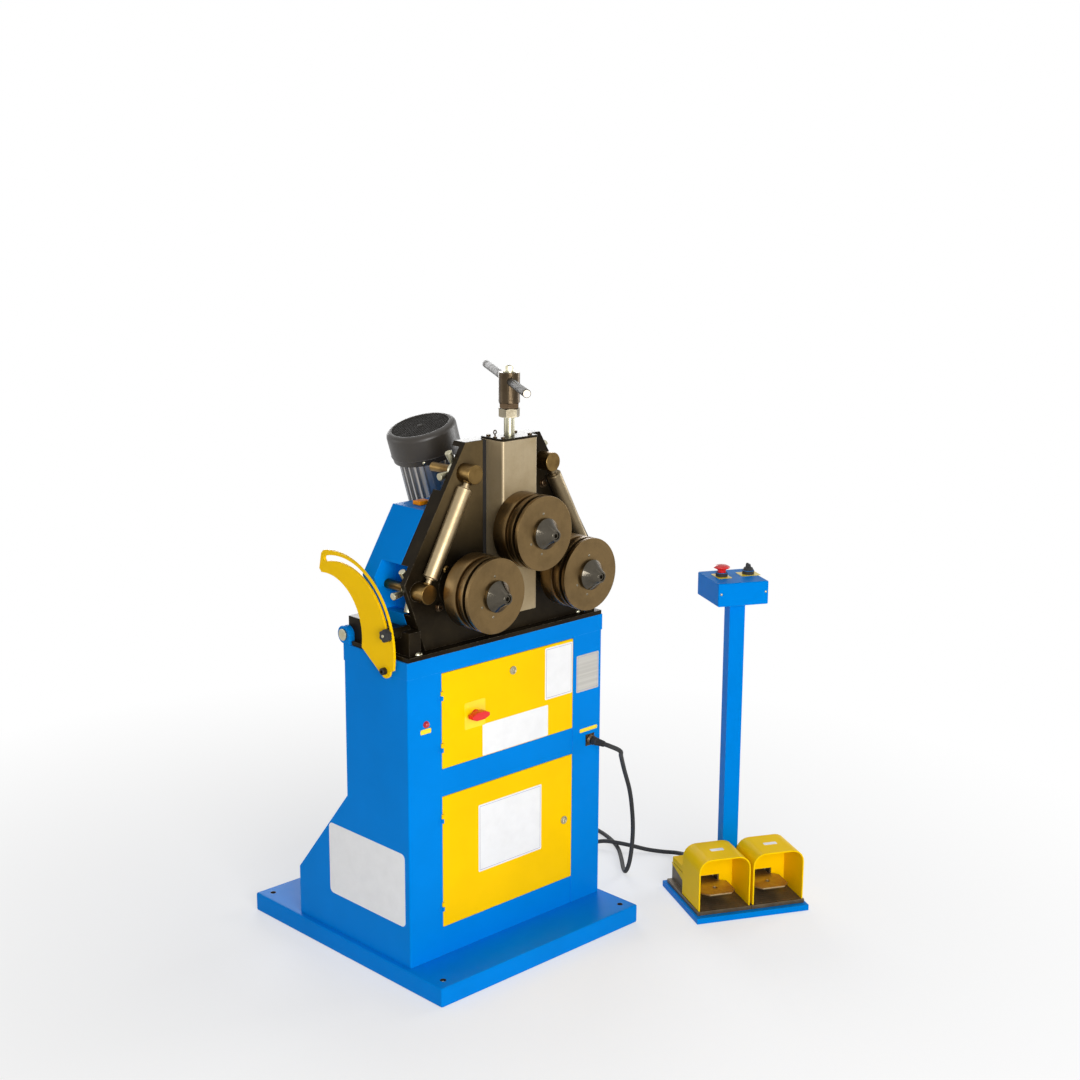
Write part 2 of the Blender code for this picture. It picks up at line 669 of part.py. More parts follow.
def boolean(target, operation, tools):
    """Join or cut a piece with others, which then belong to the cutters."""
    for tool in tools:
        PARTS.objects.unlink(tool)
        CUTTERS.objects.link(tool)
        tool.hide_render = True
        tool.display_type = "WIRE"
        modifier = target.modifiers.new(f"{operation.lower()}_{tool.name}", "BOOLEAN")
        modifier.operation = operation
        modifier.solver = "EXACT"
        modifier.object = tool
    return target


def join(target, *tools):
    return boolean(target, "UNION", tools)


def cut(target, *tools):
    return boolean(target, "DIFFERENCE", tools)


def dress(obj, material, carrier=None):
    """Give a piece its finish, smooth its round faces and hang it on its carrier."""
    obj.data.materials.clear()
    obj.data.materials.append(finish(material))
    obj.data.shade_smooth()
    obj.data.set_sharp_from_angle(angle=SHARP_ANGLE)
    if carrier:
        for piece in (obj, *[m.object for m in obj.modifiers if m.type == "BOOLEAN"]):
            hang(piece, carrier)
    return obj


def hang(obj, carrier):
    """Parent a piece without moving it."""
    if obj.parent is None:
        obj.parent = carrier
        obj.matrix_parent_inverse = LOCAL_FRAMES[carrier.name].inverted()
    for modifier in obj.modifiers:
        if modifier.type == "BOOLEAN" and modifier.object.parent is None:
            hang(modifier.object, carrier)


def pivot(name, position, parent=None, placed=None):
    """An empty on a joint's axis. Pieces under it are drawn in the placed frame."""
    empty = bpy.data.objects.new(name, None)
    PARTS.objects.link(empty)
    world = (placed or Matrix.Identity(4)) @ Matrix.Translation(Vector(position))
    WORLD_FRAMES[name] = world
    LOCAL_FRAMES[name] = Matrix.Translation(Vector(position))
    if parent:
        empty.parent = parent
        empty.matrix_basis = WORLD_FRAMES[parent.name].inverted() @ world
    else:
        empty.matrix_basis = world
    return empty


def along_y(x, y, z):
    """A frame whose +Z runs towards the front, with its origin at the point."""
    return frame_to((x, y, z), (0, -1, 0))


def xz_plate(name, outline, front, thickness, holes=()):
    """A plate parallel to the front, drawn in (x, z), from front back to its thickness."""
    matrix = Matrix(((1, 0, 0, 0), (0, 0, -1, front + thickness), (0, 1, 0, 0), (0, 0, 0, 1)))
    return flat_plate(name, outline, matrix, thickness, holes)


def yz_plate(name, outline, low_x, thickness, holes=()):
    """A plate parallel to the side, drawn in (y, z), from low_x to its thickness."""
    matrix = Matrix(((0, 0, 1, low_x), (1, 0, 0, 0), (0, 1, 0, 0), (0, 0, 0, 1)))
    return flat_plate(name, outline, matrix, thickness, holes)


def base_plate():
    half_w = BASE_WIDTH / 2
    half_d = BASE_DEPTH / 2
    tray = box("base_plate", (-half_w, -half_d, 0), (half_w, half_d, BASE_HEIGHT), BASE_EDGE)
    inner_w = half_w - BASE_SHEET
    inner_d = half_d - BASE_SHEET
    hollow = box("base_hollow", (-inner_w, -inner_d, -OVERRUN),
                 (inner_w, inner_d, BASE_HEIGHT - BASE_SHEET))
    holes = []
    for x in (-half_w + ANCHOR_INSET, half_w - ANCHOR_INSET):
        for y in (-half_d + ANCHOR_INSET, half_d - ANCHOR_INSET):
            holes.append(rod("anchor_hole", (x, y, 0), (x, y, BASE_HEIGHT + OVERRUN),
                             ANCHOR_RADIUS, steps=SMALL_STEPS))
    rib = box("base_rib", (-inner_w - BASE_SHEET / 2, -BASE_RIB_WIDTH / 2, 0),
              (inner_w + BASE_SHEET / 2, BASE_RIB_WIDTH / 2, BASE_HEIGHT - BASE_SHEET / 2))
    cut(tray, hollow, *holes)
    join(tray, rib)
    return dress(tray, "blue_paint")


def cabinet_side(sheet):
    """The side outline in (y, z), drawn in by one sheet thickness."""
    slope = (CABINET_FOOT - CABINET_BACK) / (CABINET_SLOPE_TOP - CABINET_SLOPE_FOOT)
    shift = sheet * (hypot(slope, 1.0) - 1.0) / slope if sheet else 0.0
    foot = BASE_HEIGHT + GAP
    return [(CABINET_FRONT + sheet, foot if not sheet else foot - OVERRUN),
            (CABINET_FOOT - sheet, foot if not sheet else foot - OVERRUN),
            (CABINET_FOOT - sheet, CABINET_SLOPE_FOOT - shift),
            (CABINET_BACK - sheet, CABINET_SLOPE_TOP - shift),
            (CABINET_BACK - sheet, CABINET_TOP - sheet),
            (CABINET_FRONT + sheet, CABINET_TOP - sheet)]


def door_opening(name, low, high):
    reach = DOOR_HALF_WIDTH + DOOR_GAP
    return box(name, (-reach, CABINET_FRONT - CAP_PROUD - OVERRUN, low - DOOR_GAP),
               (reach, CABINET_FRONT + CABINET_SHEET + OVERRUN, high + DOOR_GAP))


def hinge_heights(low, high):
    return (low + HINGE_INSET, high - HINGE_INSET - HINGE_LENGTH)


def hinge_half(name, low_z, outward):
    """One knuckle and its leaf: outward -1 is the cabinet's half, +1 the door's."""
    half = HINGE_LENGTH / 2 - GAP
    start = low_z if outward < 0 else low_z + HINGE_LENGTH / 2 + GAP
    knuckle = rod(name, (HINGE_X, HINGE_Y, start), (HINGE_X, HINGE_Y, start + half),
                  HINGE_RADIUS, steps=SMALL_STEPS)
    edge = HINGE_X + outward * HINGE_LEAF_WIDTH
    buried = CABINET_FRONT + CABINET_SHEET / 2
    leaf = box(f"{name}_leaf", (min(edge, HINGE_X), HINGE_Y + HINGE_RADIUS / 2, start),
               (max(edge, HINGE_X), CABINET_FRONT - GAP, start + half))
    foot_near = HINGE_X + outward * HINGE_RADIUS
    foot = box(f"{name}_foot", (min(edge, foot_near), CABINET_FRONT - GAP * 2, start),
               (max(edge, foot_near), buried, start + half))
    return knuckle, leaf, foot


def cabinet():
    width = 2 * CABINET_HALF_WIDTH
    shell = yz_plate("cabinet", cabinet_side(0.0), -CABINET_HALF_WIDTH, width)
    band = box("cap_band",
               (-CABINET_HALF_WIDTH - CAP_PROUD, CABINET_FRONT - CAP_PROUD / 2,
                CABINET_TOP - CAP_HEIGHT),
               (CABINET_HALF_WIDTH + CAP_PROUD, CABINET_BACK + CAP_PROUD / 2,
                CABINET_TOP - GAP / 3))
    join(shell, band)
    for side in (-1, 1):
        outer = side * EAR_OUTER
        inner = side * (EAR_OUTER - EAR_WIDTH)
        ear = rod("hinge_ear", (inner, PIN_Y, PIN_Z), (outer, PIN_Y, PIN_Z), EAR_RADIUS)
        root_low = (min(inner, outer), PIN_Y - EAR_RADIUS, CABINET_TOP - CAP_HEIGHT / 2)
        root_high = (max(inner, outer), CABINET_BACK + CAP_PROUD / 4, PIN_Z)
        join(shell, ear, box("ear_root", root_low, root_high))
    inside = CABINET_HALF_WIDTH - CABINET_SHEET
    hollow = yz_plate("cabinet_hollow", cabinet_side(CABINET_SHEET), -inside, 2 * inside)
    openings = [door_opening("upper_opening", UPPER_DOOR_LOW, UPPER_DOOR_HIGH),
                door_opening("lower_opening", LOWER_DOOR_LOW, LOWER_DOOR_HIGH)]
    bore = rod("ear_bore", (-PIN_HALF_LENGTH - OVERRUN, PIN_Y, PIN_Z),
               (PIN_HALF_LENGTH + OVERRUN, PIN_Y, PIN_Z), PIN_RADIUS + GAP)
    holes = [rod("lamp_hole", (LAMP_X, CABINET_FRONT - OVERRUN, LAMP_Z),
                 (LAMP_X, CABINET_FRONT + 2 * OVERRUN, LAMP_Z), LAMP_STEM_RADIUS + GAP,
                 steps=SMALL_STEPS),
             rod("socket_hole", (SOCKET_X, CABINET_FRONT - OVERRUN, SOCKET_Z),
                 (SOCKET_X, CABINET_FRONT + 2 * OVERRUN, SOCKET_Z), PLUG_RADIUS + GAP,
                 steps=SMALL_STEPS),
             rod("bolt_hole", (-CABINET_HALF_WIDTH - OVERRUN, QUADRANT_FOOT_Y, QUADRANT_FOOT_Z),
                 (-CABINET_HALF_WIDTH + 2 * OVERRUN, QUADRANT_FOOT_Y, QUADRANT_FOOT_Z),
                 QUADRANT_BOLT_RADIUS + GAP, steps=SMALL_STEPS)]
    cut(shell, hollow, *openings, bore, *holes)
    shelf = box("shelf", (-inside - CABINET_SHEET / 2, CABINET_FRONT + CABINET_SHEET / 2, SHELF_Z),
                (inside + CABINET_SHEET / 2, CABINET_BACK - CABINET_SHEET / 2,
                 SHELF_Z + CABINET_SHEET))
    join(shell, shelf)
    for low, high in ((UPPER_DOOR_LOW, UPPER_DOOR_HIGH), (LOWER_DOOR_LOW, LOWER_DOOR_HIGH)):
        for start in hinge_heights(low, high):
            join(shell, *hinge_half("cabinet_knuckle", start, -1))
    return dress(shell, "blue_paint")


def door(name, low, high, lock_x, lock_z, carrier):
    leaf = box(name, (-DOOR_HALF_WIDTH, CABINET_FRONT, low),
               (DOOR_HALF_WIDTH, CABINET_FRONT + DOOR_THICKNESS, high))
    for start in hinge_heights(low, high):
        join(leaf, *hinge_half("door_knuckle", start, 1))
    bore = rod(f"{name}_lock_bore", (lock_x, CABINET_FRONT - OVERRUN, lock_z),
               (lock_x, CABINET_FRONT + DOOR_THICKNESS + OVERRUN, lock_z),
               LOCK_BARREL_RADIUS + GAP, steps=SMALL_STEPS)
    cut(leaf, bore)
    if low == UPPER_DOOR_LOW:
        cut(leaf, rod("switch_bore", (SWITCH_X, CABINET_FRONT - OVERRUN, SWITCH_Z),
                      (SWITCH_X, CABINET_FRONT + DOOR_THICKNESS + OVERRUN, SWITCH_Z),
                      SWITCH_SHAFT_RADIUS + GAP, steps=SMALL_STEPS))
    return dress(leaf, "yellow_paint", carrier)


def door_lock(name, x, z, cam_direction, carrier):
    """A quarter-turn lock, unlocked: face disc, barrel through the door and rear cam."""
    face = CABINET_FRONT - GAP
    rear = CABINET_FRONT + DOOR_THICKNESS + GAP
    disc = rod(name, (x, face - LOCK_PROUD, z), (x, face, z), LOCK_RADIUS, steps=SMALL_STEPS)
    barrel = rod(f"{name}_barrel", (x, face - LOCK_PROUD / 2, z), (x, rear + CAM_SHEET, z),
                 LOCK_BARREL_RADIUS, steps=SMALL_STEPS)
    reach = Vector((cam_direction[0], 0, cam_direction[1])) * CAM_LENGTH
    side = Vector((cam_direction[1], 0, -cam_direction[0])) * CAM_WIDTH / 2
    start = Vector((x, rear, z))
    corners = [start - side, start + side, start + side + reach, start - side + reach]
    low = Vector((min(c.x for c in corners), rear, min(c.z for c in corners)))
    high = Vector((max(c.x for c in corners), rear + CAM_SHEET, max(c.z for c in corners)))
    join(disc, barrel, box(f"{name}_cam", low, high))
    return dress(disc, "zinc", carrier)


def switch_handle(carrier):
    face = CABINET_FRONT - SWITCH_PLATE_SHEET - GAP
    front = face - SWITCH_BASE_HEIGHT
    base = rod("switch_handle", (SWITCH_X, face, SWITCH_Z), (SWITCH_X, front, SWITCH_Z),
               SWITCH_BASE_RADIUS)
    grip = box("switch_grip",
               (SWITCH_X - SWITCH_GRIP_LENGTH / 2, front - SWITCH_GRIP_HEIGHT,
                SWITCH_Z - SWITCH_GRIP_WIDTH / 2),
               (SWITCH_X + SWITCH_GRIP_LENGTH / 2, face - SWITCH_BASE_HEIGHT / 2,
                SWITCH_Z + SWITCH_GRIP_WIDTH / 2))
    shaft = rod("switch_shaft", (SWITCH_X, front + SWITCH_BASE_HEIGHT / 2, SWITCH_Z),
                (SWITCH_X, CABINET_FRONT + DOOR_THICKNESS, SWITCH_Z),
                SWITCH_SHAFT_RADIUS, steps=SMALL_STEPS)
    join(base, grip, shaft)
    return dress(base, "red_plastic", carrier)


def control_panel():
    rear = CABINET_BACK - CABINET_SHEET - GAP
    low = SHELF_Z + CABINET_SHEET + GAP
    plate = box("control_panel", (-PANEL_HALF_WIDTH, rear - PANEL_SHEET, low),
                (PANEL_HALF_WIDTH, rear, low + PANEL_HEIGHT))
    pitch = (2 * PANEL_HALF_WIDTH - PANEL_BLOCK_WIDTH) / 3
    for index in range(3):
        left = -PANEL_HALF_WIDTH + PANEL_BLOCK_WIDTH / 2 + index * pitch
        bottom = low + (PANEL_HEIGHT - PANEL_BLOCK_HEIGHT) / 2
        join(plate, box("contactor", (left, rear - PANEL_BLOCK_DEPTH, bottom),
                        (left + PANEL_BLOCK_WIDTH, rear - PANEL_SHEET / 2,
                         bottom + PANEL_BLOCK_HEIGHT)))
    return dress(plate, "zinc")


def power_lamp():
    face = CABINET_FRONT - GAP
    lens = turned("power_lamp",
                  [(0, LAMP_PROUD),
                   *[(LAMP_RADIUS * across, LAMP_PROUD * up) for across, up in LAMP_DOME_SHARES],
                   (LAMP_RADIUS, 0), (LAMP_STEM_RADIUS, 0),
                   (LAMP_STEM_RADIUS, -LAMP_PROUD), (0, -LAMP_PROUD)],
                  along_y(LAMP_X, face, LAMP_Z), SMALL_STEPS)
    return dress(lens, "red_plastic")


def cable_socket():
    face = CABINET_FRONT - GAP
    half = SOCKET_FLANGE / 2
    flange = box("cable_socket", (SOCKET_X - half, face - SOCKET_FLANGE_SHEET, SOCKET_Z - half),
                 (SOCKET_X + half, face, SOCKET_Z + half))
    barrel = rod("socket_barrel", (SOCKET_X, face - SOCKET_FLANGE_SHEET / 2, SOCKET_Z),
                 (SOCKET_X, face - SOCKET_LENGTH, SOCKET_Z), SOCKET_RADIUS, steps=SMALL_STEPS)
    stem = rod("socket_stem", (SOCKET_X, face - SOCKET_FLANGE_SHEET / 2, SOCKET_Z),
               (SOCKET_X, face + SOCKET_STEM_LENGTH, SOCKET_Z), PLUG_RADIUS, steps=SMALL_STEPS)
    join(flange, barrel, stem)
    return dress(flange, "zinc")


def plug_start():
    return CABINET_FRONT - GAP - SOCKET_LENGTH - GAP


def cable_plug():
    rear = plug_start()
    tail = rear - PLUG_LENGTH
    body = rod("cable_plug", (SOCKET_X, rear, SOCKET_Z), (SOCKET_X, tail, SOCKET_Z),
               PLUG_RADIUS, CABLE_RADIUS * PLUG_TAIL_SHARE, steps=SMALL_STEPS)
    return dress(body, "black_plastic")


def smooth_through(points, spacing_count):
    """Evenly spaced points on a smooth curve, straight from the first and to the last."""
    fine = []
    for a, b, c, d in zip(points, points[1:], points[2:], points[3:]):
        for i in range(24):
            t = i / 24
            fine.append(0.5 * (2 * b + (c - a) * t + (2 * a - 5 * b + 4 * c - d) * t * t
                               + (3 * b - a - 3 * c + d) * t ** 3))
    fine.append(points[-2])
    lengths = [0.0]
    for first, second in zip(fine, fine[1:]):
        lengths.append(lengths[-1] + (second - first).length)
    result = [points[0]]
    index = 0
    for step in range(spacing_count):
        target = lengths[-1] * step / (spacing_count - 1)
        while index < len(lengths) - 2 and lengths[index + 1] < target:
            index += 1
        share = (target - lengths[index]) / (lengths[index + 1] - lengths[index])
        result.append(fine[index].lerp(fine[index + 1], min(max(share, 0.0), 1.0)))
    return [*result, points[-1]]


def console_frame():
    return (Matrix.Translation((CONSOLE_X, CONSOLE_Y, 0))
            @ Matrix.Rotation(CONSOLE_TURN, 4, "Z"))


def cable_route():
    """Down from the plug, over the floor in one loop, then up to the left pedal unit."""
    floor = CABLE_FLOOR_Z
    exit_y = plug_start() - PLUG_LENGTH - GAP
    inlet = console_frame() @ Vector((-UNIT_SPREAD, UNIT_REAR + GLAND_LENGTH + 2 * GAP,
                                      STAND_SHEET + GLAND_Z))
    near = console_frame() @ Vector((-UNIT_SPREAD, UNIT_REAR + GLAND_LENGTH + CABLE_STRAIGHT,
                                     STAND_SHEET + GLAND_Z))
    points = [(SOCKET_X, exit_y, SOCKET_Z), (SOCKET_X, exit_y - CABLE_STRAIGHT, SOCKET_Z),
              (0.286, -0.303, 0.432), (0.331, -0.266, 0.397), (0.398, -0.215, 0.333),
              (0.466, -0.172, 0.250), (0.494, -0.156, 0.187), (0.502, -0.153, 0.132),
              (0.498, -0.154, 0.082), (0.489, -0.154, 0.040), (0.492, -0.140, 0.013),
              (0.515, -0.110, floor), (0.555, -0.066, floor), (0.598, -0.014, floor),
              (0.628, 0.040, floor), (0.648, 0.104, floor), (0.652, 0.172, floor),
              (0.632, 0.238, floor), (0.582, 0.276, floor), (0.524, 0.268, floor),
              (0.492, 0.222, floor), (0.500, 0.162, floor), (0.536, 0.104, floor),
              (0.566, 0.062, 0.009), (0.588, 0.026, 0.0175), (0.604, -0.006, CABLE_OVER_Z),
              (0.622, -0.038, 0.0145), (0.645, -0.075, 0.008), (0.668, -0.110, floor),
              (0.682, -0.144, 0.009), (0.674, -0.182, 0.018), (0.644, -0.208, 0.032),
              (0.613, -0.233, 0.045)]
    return [Vector(point) for point in points] + [near, inlet]


def control_cable():
    curve = bpy.data.curves.new("control_cable", "CURVE")
    curve.dimensions = "3D"
    curve.bevel_depth = CABLE_RADIUS
    curve.bevel_resolution = CABLE_SIDE_RESOLUTION
    curve.use_fill_caps = True
    points = smooth_through(cable_route(), CABLE_POINTS)
    spline = curve.splines.new("POLY")
    spline.points.add(len(points) - 1)
    for point, place in zip(spline.points, points):
        point.co = (*place, 1)
    obj = bpy.data.objects.new("control_cable", curve)
    PARTS.objects.link(obj)
    curve.materials.append(finish("cable_rubber"))
    return obj


def hinge_pin():
    pin = rod("hinge_pin", (-PIN_HALF_LENGTH, PIN_Y, PIN_Z), (PIN_HALF_LENGTH, PIN_Y, PIN_Z),
              PIN_RADIUS)
    return dress(pin, "zinc")


def arc(centre, radius, start, end, steps):
    """Points on an arc: the angle runs from the front horizontal upwards."""
    turns = [start + (end - start) * i / steps for i in range(steps + 1)]
    return [(centre[0] - radius * cos(t), centre[1] + radius * sin(t)) for t in turns]


def tilt_quadrant():
    outer_centre = (PIN_Y + OUTER_ARC_SHIFT_Y, PIN_Z + OUTER_ARC_SHIFT_Z)
    inner_centre = (PIN_Y + INNER_ARC_SHIFT_Y, PIN_Z + INNER_ARC_SHIFT_Z)
    outer = arc(outer_centre, OUTER_ARC_RADIUS, OUTER_ARC_START, OUTER_ARC_END, 16)
    inner = arc(inner_centre, INNER_ARC_RADIUS, INNER_ARC_END, INNER_ARC_START, 12)
    foot = (QUADRANT_FOOT_Y, QUADRANT_FOOT_Z)
    tip = [(outer[-1][0] + QUADRANT_TIP_RADIUS, outer[-1][1] - QUADRANT_TIP_RADIUS),
           (inner[0][0] + QUADRANT_TIP_RADIUS, inner[0][1] + QUADRANT_TIP_RADIUS)]
    foot_arc = arc(foot, QUADRANT_FOOT_RADIUS, radians(-130), radians(0), 8)
    outline = outer + tip + inner + foot_arc
    low = REST_ANGLE - SLOT_SPARE_ANGLE
    high = REST_ANGLE + TILT_ANGLE + SLOT_SPARE_ANGLE
    pin = (PIN_Y, PIN_Z)
    slot = arc(pin, SLOT_RADIUS + SLOT_HALF_WIDTH, low, high, 16)
    slot += arc((pin[0] - SLOT_RADIUS * cos(high), pin[1] + SLOT_RADIUS * sin(high)),
                SLOT_HALF_WIDTH, high + radians(45), high + radians(135), 2)
    slot += arc(pin, SLOT_RADIUS - SLOT_HALF_WIDTH, high, low, 16)
    slot += arc((pin[0] - SLOT_RADIUS * cos(low), pin[1] + SLOT_RADIUS * sin(low)),
                SLOT_HALF_WIDTH, low + radians(225), low + radians(315), 2)
    hole = circle_points(foot, QUADRANT_BOLT_RADIUS + GAP)
    plate = yz_plate("tilt_quadrant", outline, QUADRANT_X - QUADRANT_SHEET, QUADRANT_SHEET,
                     (slot, hole))
    return dress(plate, "yellow_paint")


def quadrant_bolt():
    """Socket screw with the spacer between the quadrant and the cabinet."""
    outside = QUADRANT_X - QUADRANT_SHEET - GAP
    wall = -CABINET_HALF_WIDTH - CAP_PROUD - GAP
    inside = QUADRANT_X + GAP
    profile = [(0, QUADRANT_BOLT_HEAD), (QUADRANT_BOLT_HEAD_RADIUS, QUADRANT_BOLT_HEAD),
               (QUADRANT_BOLT_HEAD_RADIUS, 0), (QUADRANT_BOLT_RADIUS, 0),
               (QUADRANT_BOLT_RADIUS, outside - inside),
               (QUADRANT_BOLT_HEAD_RADIUS, outside - inside),
               (QUADRANT_BOLT_HEAD_RADIUS, outside - wall),
               (QUADRANT_BOLT_RADIUS, outside - wall),
               (QUADRANT_BOLT_RADIUS, outside - wall - QUADRANT_BOLT_REACH),
               (0, outside - wall - QUADRANT_BOLT_REACH)]
    bolt = turned("quadrant_bolt", profile,
                  frame_to((outside, QUADRANT_FOOT_Y, QUADRANT_FOOT_Z), (-1, 0, 0)),
                  SMALL_STEPS)
    return dress(bolt, "black_plastic")


def tilt_clamp_knob(carrier):
    outside = QUADRANT_X - QUADRANT_SHEET - GAP
    screw_end = QUADRANT_X + KNOB_SCREW_REACH
    lobes = []
    for index in range(KNOB_LOBES * 4):
        turn = 2 * pi * index / (KNOB_LOBES * 4)
        radius = KNOB_RADIUS * (1 - KNOB_LOBE_SHARE * (1 - cos(KNOB_LOBES * turn)))
        lobes.append((KNOB_Y + radius * cos(turn), KNOB_Z + radius * sin(turn)))
    knob = yz_plate("tilt_clamp_knob", lobes, outside - KNOB_LENGTH, KNOB_LENGTH)
    screw = rod("clamp_screw", (outside - KNOB_LENGTH / 2, KNOB_Y, KNOB_Z),
                (screw_end, KNOB_Y, KNOB_Z), KNOB_SCREW_RADIUS, steps=SMALL_STEPS)
    join(knob, screw)
    return dress(knob, "black_plastic", carrier)


def head_base(carrier):
    """Flange on the cabinet top with two rails back to the hinge pin."""
    base = box("head_base", (-FLANGE_HALF_WIDTH, CABINET_FRONT - CAP_PROUD / 2, FLANGE_LOW),
               (FLANGE_HALF_WIDTH, FLANGE_REAR, FLANGE_TOP))
    for side in (-1, 1):
        inner = side * RAIL_INNER
        outer = side * RAIL_OUTER
        rail = box("rail", (min(inner, outer), RAIL_FRONT, FLANGE_TOP - FLANGE_SHEET / 2),
                   (max(inner, outer), PIN_Y, RAIL_TOP))
        knuckle = rod("rail_end", (inner, PIN_Y, PIN_Z), (outer, PIN_Y, PIN_Z),
                      RAIL_END_RADIUS)
        join(base, rail, knuckle)
    boss_end = QUADRANT_X + GAP
    boss = rod("clamp_boss", (-RAIL_INNER - OVERRUN, KNOB_Y, KNOB_Z), (boss_end, KNOB_Y, KNOB_Z),
               BOSS_RADIUS, steps=SMALL_STEPS)
    join(base, boss)
    bore = rod("rail_bore", (-RAIL_OUTER - OVERRUN, PIN_Y, PIN_Z),
               (RAIL_OUTER + OVERRUN, PIN_Y, PIN_Z), PIN_RADIUS + GAP)
    screw_hole = rod("clamp_hole", (boss_end - OVERRUN, KNOB_Y, KNOB_Z),
                     (boss_end + KNOB_SCREW_REACH + OVERRUN, KNOB_Y, KNOB_Z),
                     KNOB_SCREW_RADIUS + GAP, steps=SMALL_STEPS)
    cut(base, bore, screw_hole)
    return dress(base, "black_paint", carrier)


def frame_half_width(z):
    """Half the frame's width at a height."""
    if z > FRAME_WIDEST_Z:
        share = (z - FRAME_WIDEST_Z) / (FRAME_TOP - FRAME_WIDEST_Z)
        return FRAME_WIDEST_HALF + (FRAME_TOP_HALF - FRAME_WIDEST_HALF) * share
    share = (FRAME_WIDEST_Z - z) / (FRAME_WIDEST_Z - FRAME_FOOT)
    return FRAME_WIDEST_HALF + (FRAME_FOOT_HALF - FRAME_WIDEST_HALF) * share


def frame_outline(low, high, inset=0.0, share=1.0):
    """The frame's six-sided outline in (x, z) between two heights."""
    heights = [low, *[z for z in (FRAME_WIDEST_Z,) if low < z < high], high]
    right = [(frame_half_width(z) * share - inset, z) for z in heights]
    return [*right, *[(-x, z) for x, z in reversed(right)]]


def stud_places(side):
    return ((side * UPPER_STUD_X, UPPER_STUD_Z), (side * LOWER_STUD_X, LOWER_STUD_Z))


def front_frame(carrier):
    """Front plate with bearing bosses, the housing's seat and a rim notched for the nuts."""
    frame = xz_plate("front_frame", frame_outline(FRAME_FOOT, FRAME_TOP), FRAME_FRONT,
                     FRAME_DEPTH)
    pocket_high = FRAME_TOP - FRAME_RIM / 2
    pocket_low = FRAME_FOOT + FRAME_RIM / 4
    pocket = xz_plate("frame_pocket", frame_outline(pocket_low, pocket_high, FRAME_RIM),
                      PLATE_REAR, FRAME_DEPTH)
    cut(frame, pocket)
    reach = HOUSING_HALF_WIDTH + GAP
    seat = box("housing_seat", (-reach, FRAME_FRONT - OVERRUN, HOUSING_LOW - GAP),
               (reach, HOUSING_REAR + GAP, FRAME_TOP + OVERRUN))
    cut(frame, seat)
    for side in (-1, 1):
        x = side * ROLL_SPREAD
        boss = rod("bearing_boss", (x, FRAME_FRONT + FRAME_PLATE / 2, LOWER_ROLL_Z),
                   (x, BOSS_FRONT, LOWER_ROLL_Z), BOSS_OUTER_RADIUS)
        join(frame, boss)
    for side in (-1, 1):
        x = side * ROLL_SPREAD
        cut(frame, rod("bearing_bore", (x, FRAME_REAR + OVERRUN, LOWER_ROLL_Z),
                       (x, BOSS_FRONT - OVERRUN, LOWER_ROLL_Z), SHAFT_RADIUS + GAP))
        for place_x, place_z in stud_places(side):
            cut(frame, box("capstan_room",
                           (place_x - CAPSTAN_ROOM, PLATE_REAR, place_z - CAPSTAN_ROOM),
                           (place_x + CAPSTAN_ROOM, FRAME_REAR + OVERRUN,
                            place_z + CAPSTAN_ROOM)))
            cut(frame, rod("stud_bore", (place_x, FRAME_REAR + OVERRUN, place_z),
                           (place_x, FRAME_FRONT - OVERRUN, place_z), STUD_RADIUS + GAP))
    return dress(frame, "black_paint", carrier)


def rear_plate(carrier):
    """Rear bearing plate on four pillars that seat in the front frame."""
    outline = frame_outline(FRAME_FOOT + COVER_SHEET + GAP, REAR_PLATE_TOP,
                            share=REAR_PLATE_SHARE)
    holes = [circle_points((side * ROLL_SPREAD, LOWER_ROLL_Z), SHAFT_RADIUS + GAP, ROUND_STEPS)
             for side in (-1, 1)]
    holes.append(circle_points((0, LOWER_ROLL_Z), PINION_SHAFT_RADIUS + GAP))
    plate = xz_plate("rear_plate", outline, REAR_PLATE_FRONT, REAR_PLATE_SHEET, holes)
    for x in (-PILLAR_X, PILLAR_X):
        for z in (PILLAR_LOW_Z, PILLAR_HIGH_Z):
            join(plate, rod("pillar", (x, REAR_PLATE_FRONT + REAR_PLATE_SHEET / 2, z),
                            (x, PLATE_REAR + GAP, z), PILLAR_RADIUS,
                            steps=SMALL_STEPS))
    return dress(plate, "black_paint", carrier)


def notch(name, side, front, wall):
    """The recess round a lower stud's rear end, grown by a wall."""
    near = side * (NOTCH_INNER - wall)
    far = side * (FRAME_WIDEST_HALF + OVERRUN)
    return box(name, (min(near, far), front, LOWER_STUD_Z - CAPSTAN_ROOM - wall),
               (max(near, far), NOTCH_REAR + wall, LOWER_STUD_Z + CAPSTAN_ROOM + wall))


def rear_cover(carrier):
    """Sheet cover behind the frame: open to the front, notched for the lower studs."""
    front = FRAME_REAR + GAP
    depth = COVER_REAR - front
    cover = xz_plate("rear_cover", frame_outline(FRAME_FOOT, COVER_TOP), front, depth)
    hollow = xz_plate("cover_hollow",
                      frame_outline(FRAME_FOOT + COVER_SHEET, COVER_TOP - COVER_SHEET,
                                    COVER_SLOPE_SHARE * COVER_SHEET),
                      front - OVERRUN, depth + OVERRUN - COVER_SHEET)
    for side in (-1, 1):
        cut(hollow, notch("notch_wall", side, front - 2 * OVERRUN, COVER_SHEET))
    cut(cover, hollow)
    for side in (-1, 1):
        cut(cover, notch("stud_notch", side, front - OVERRUN, 0.0))
    cut(cover, rod("cover_bore", (0, COVER_REAR - 2 * OVERRUN, LOWER_ROLL_Z),
                   (0, COVER_REAR + OVERRUN, LOWER_ROLL_Z), PINION_SHAFT_RADIUS + 3 * GAP))
    return dress(cover, "blue_paint", carrier)


def motor_up():
    return Vector((-sin(MOTOR_LEAN), 0, cos(MOTOR_LEAN)))


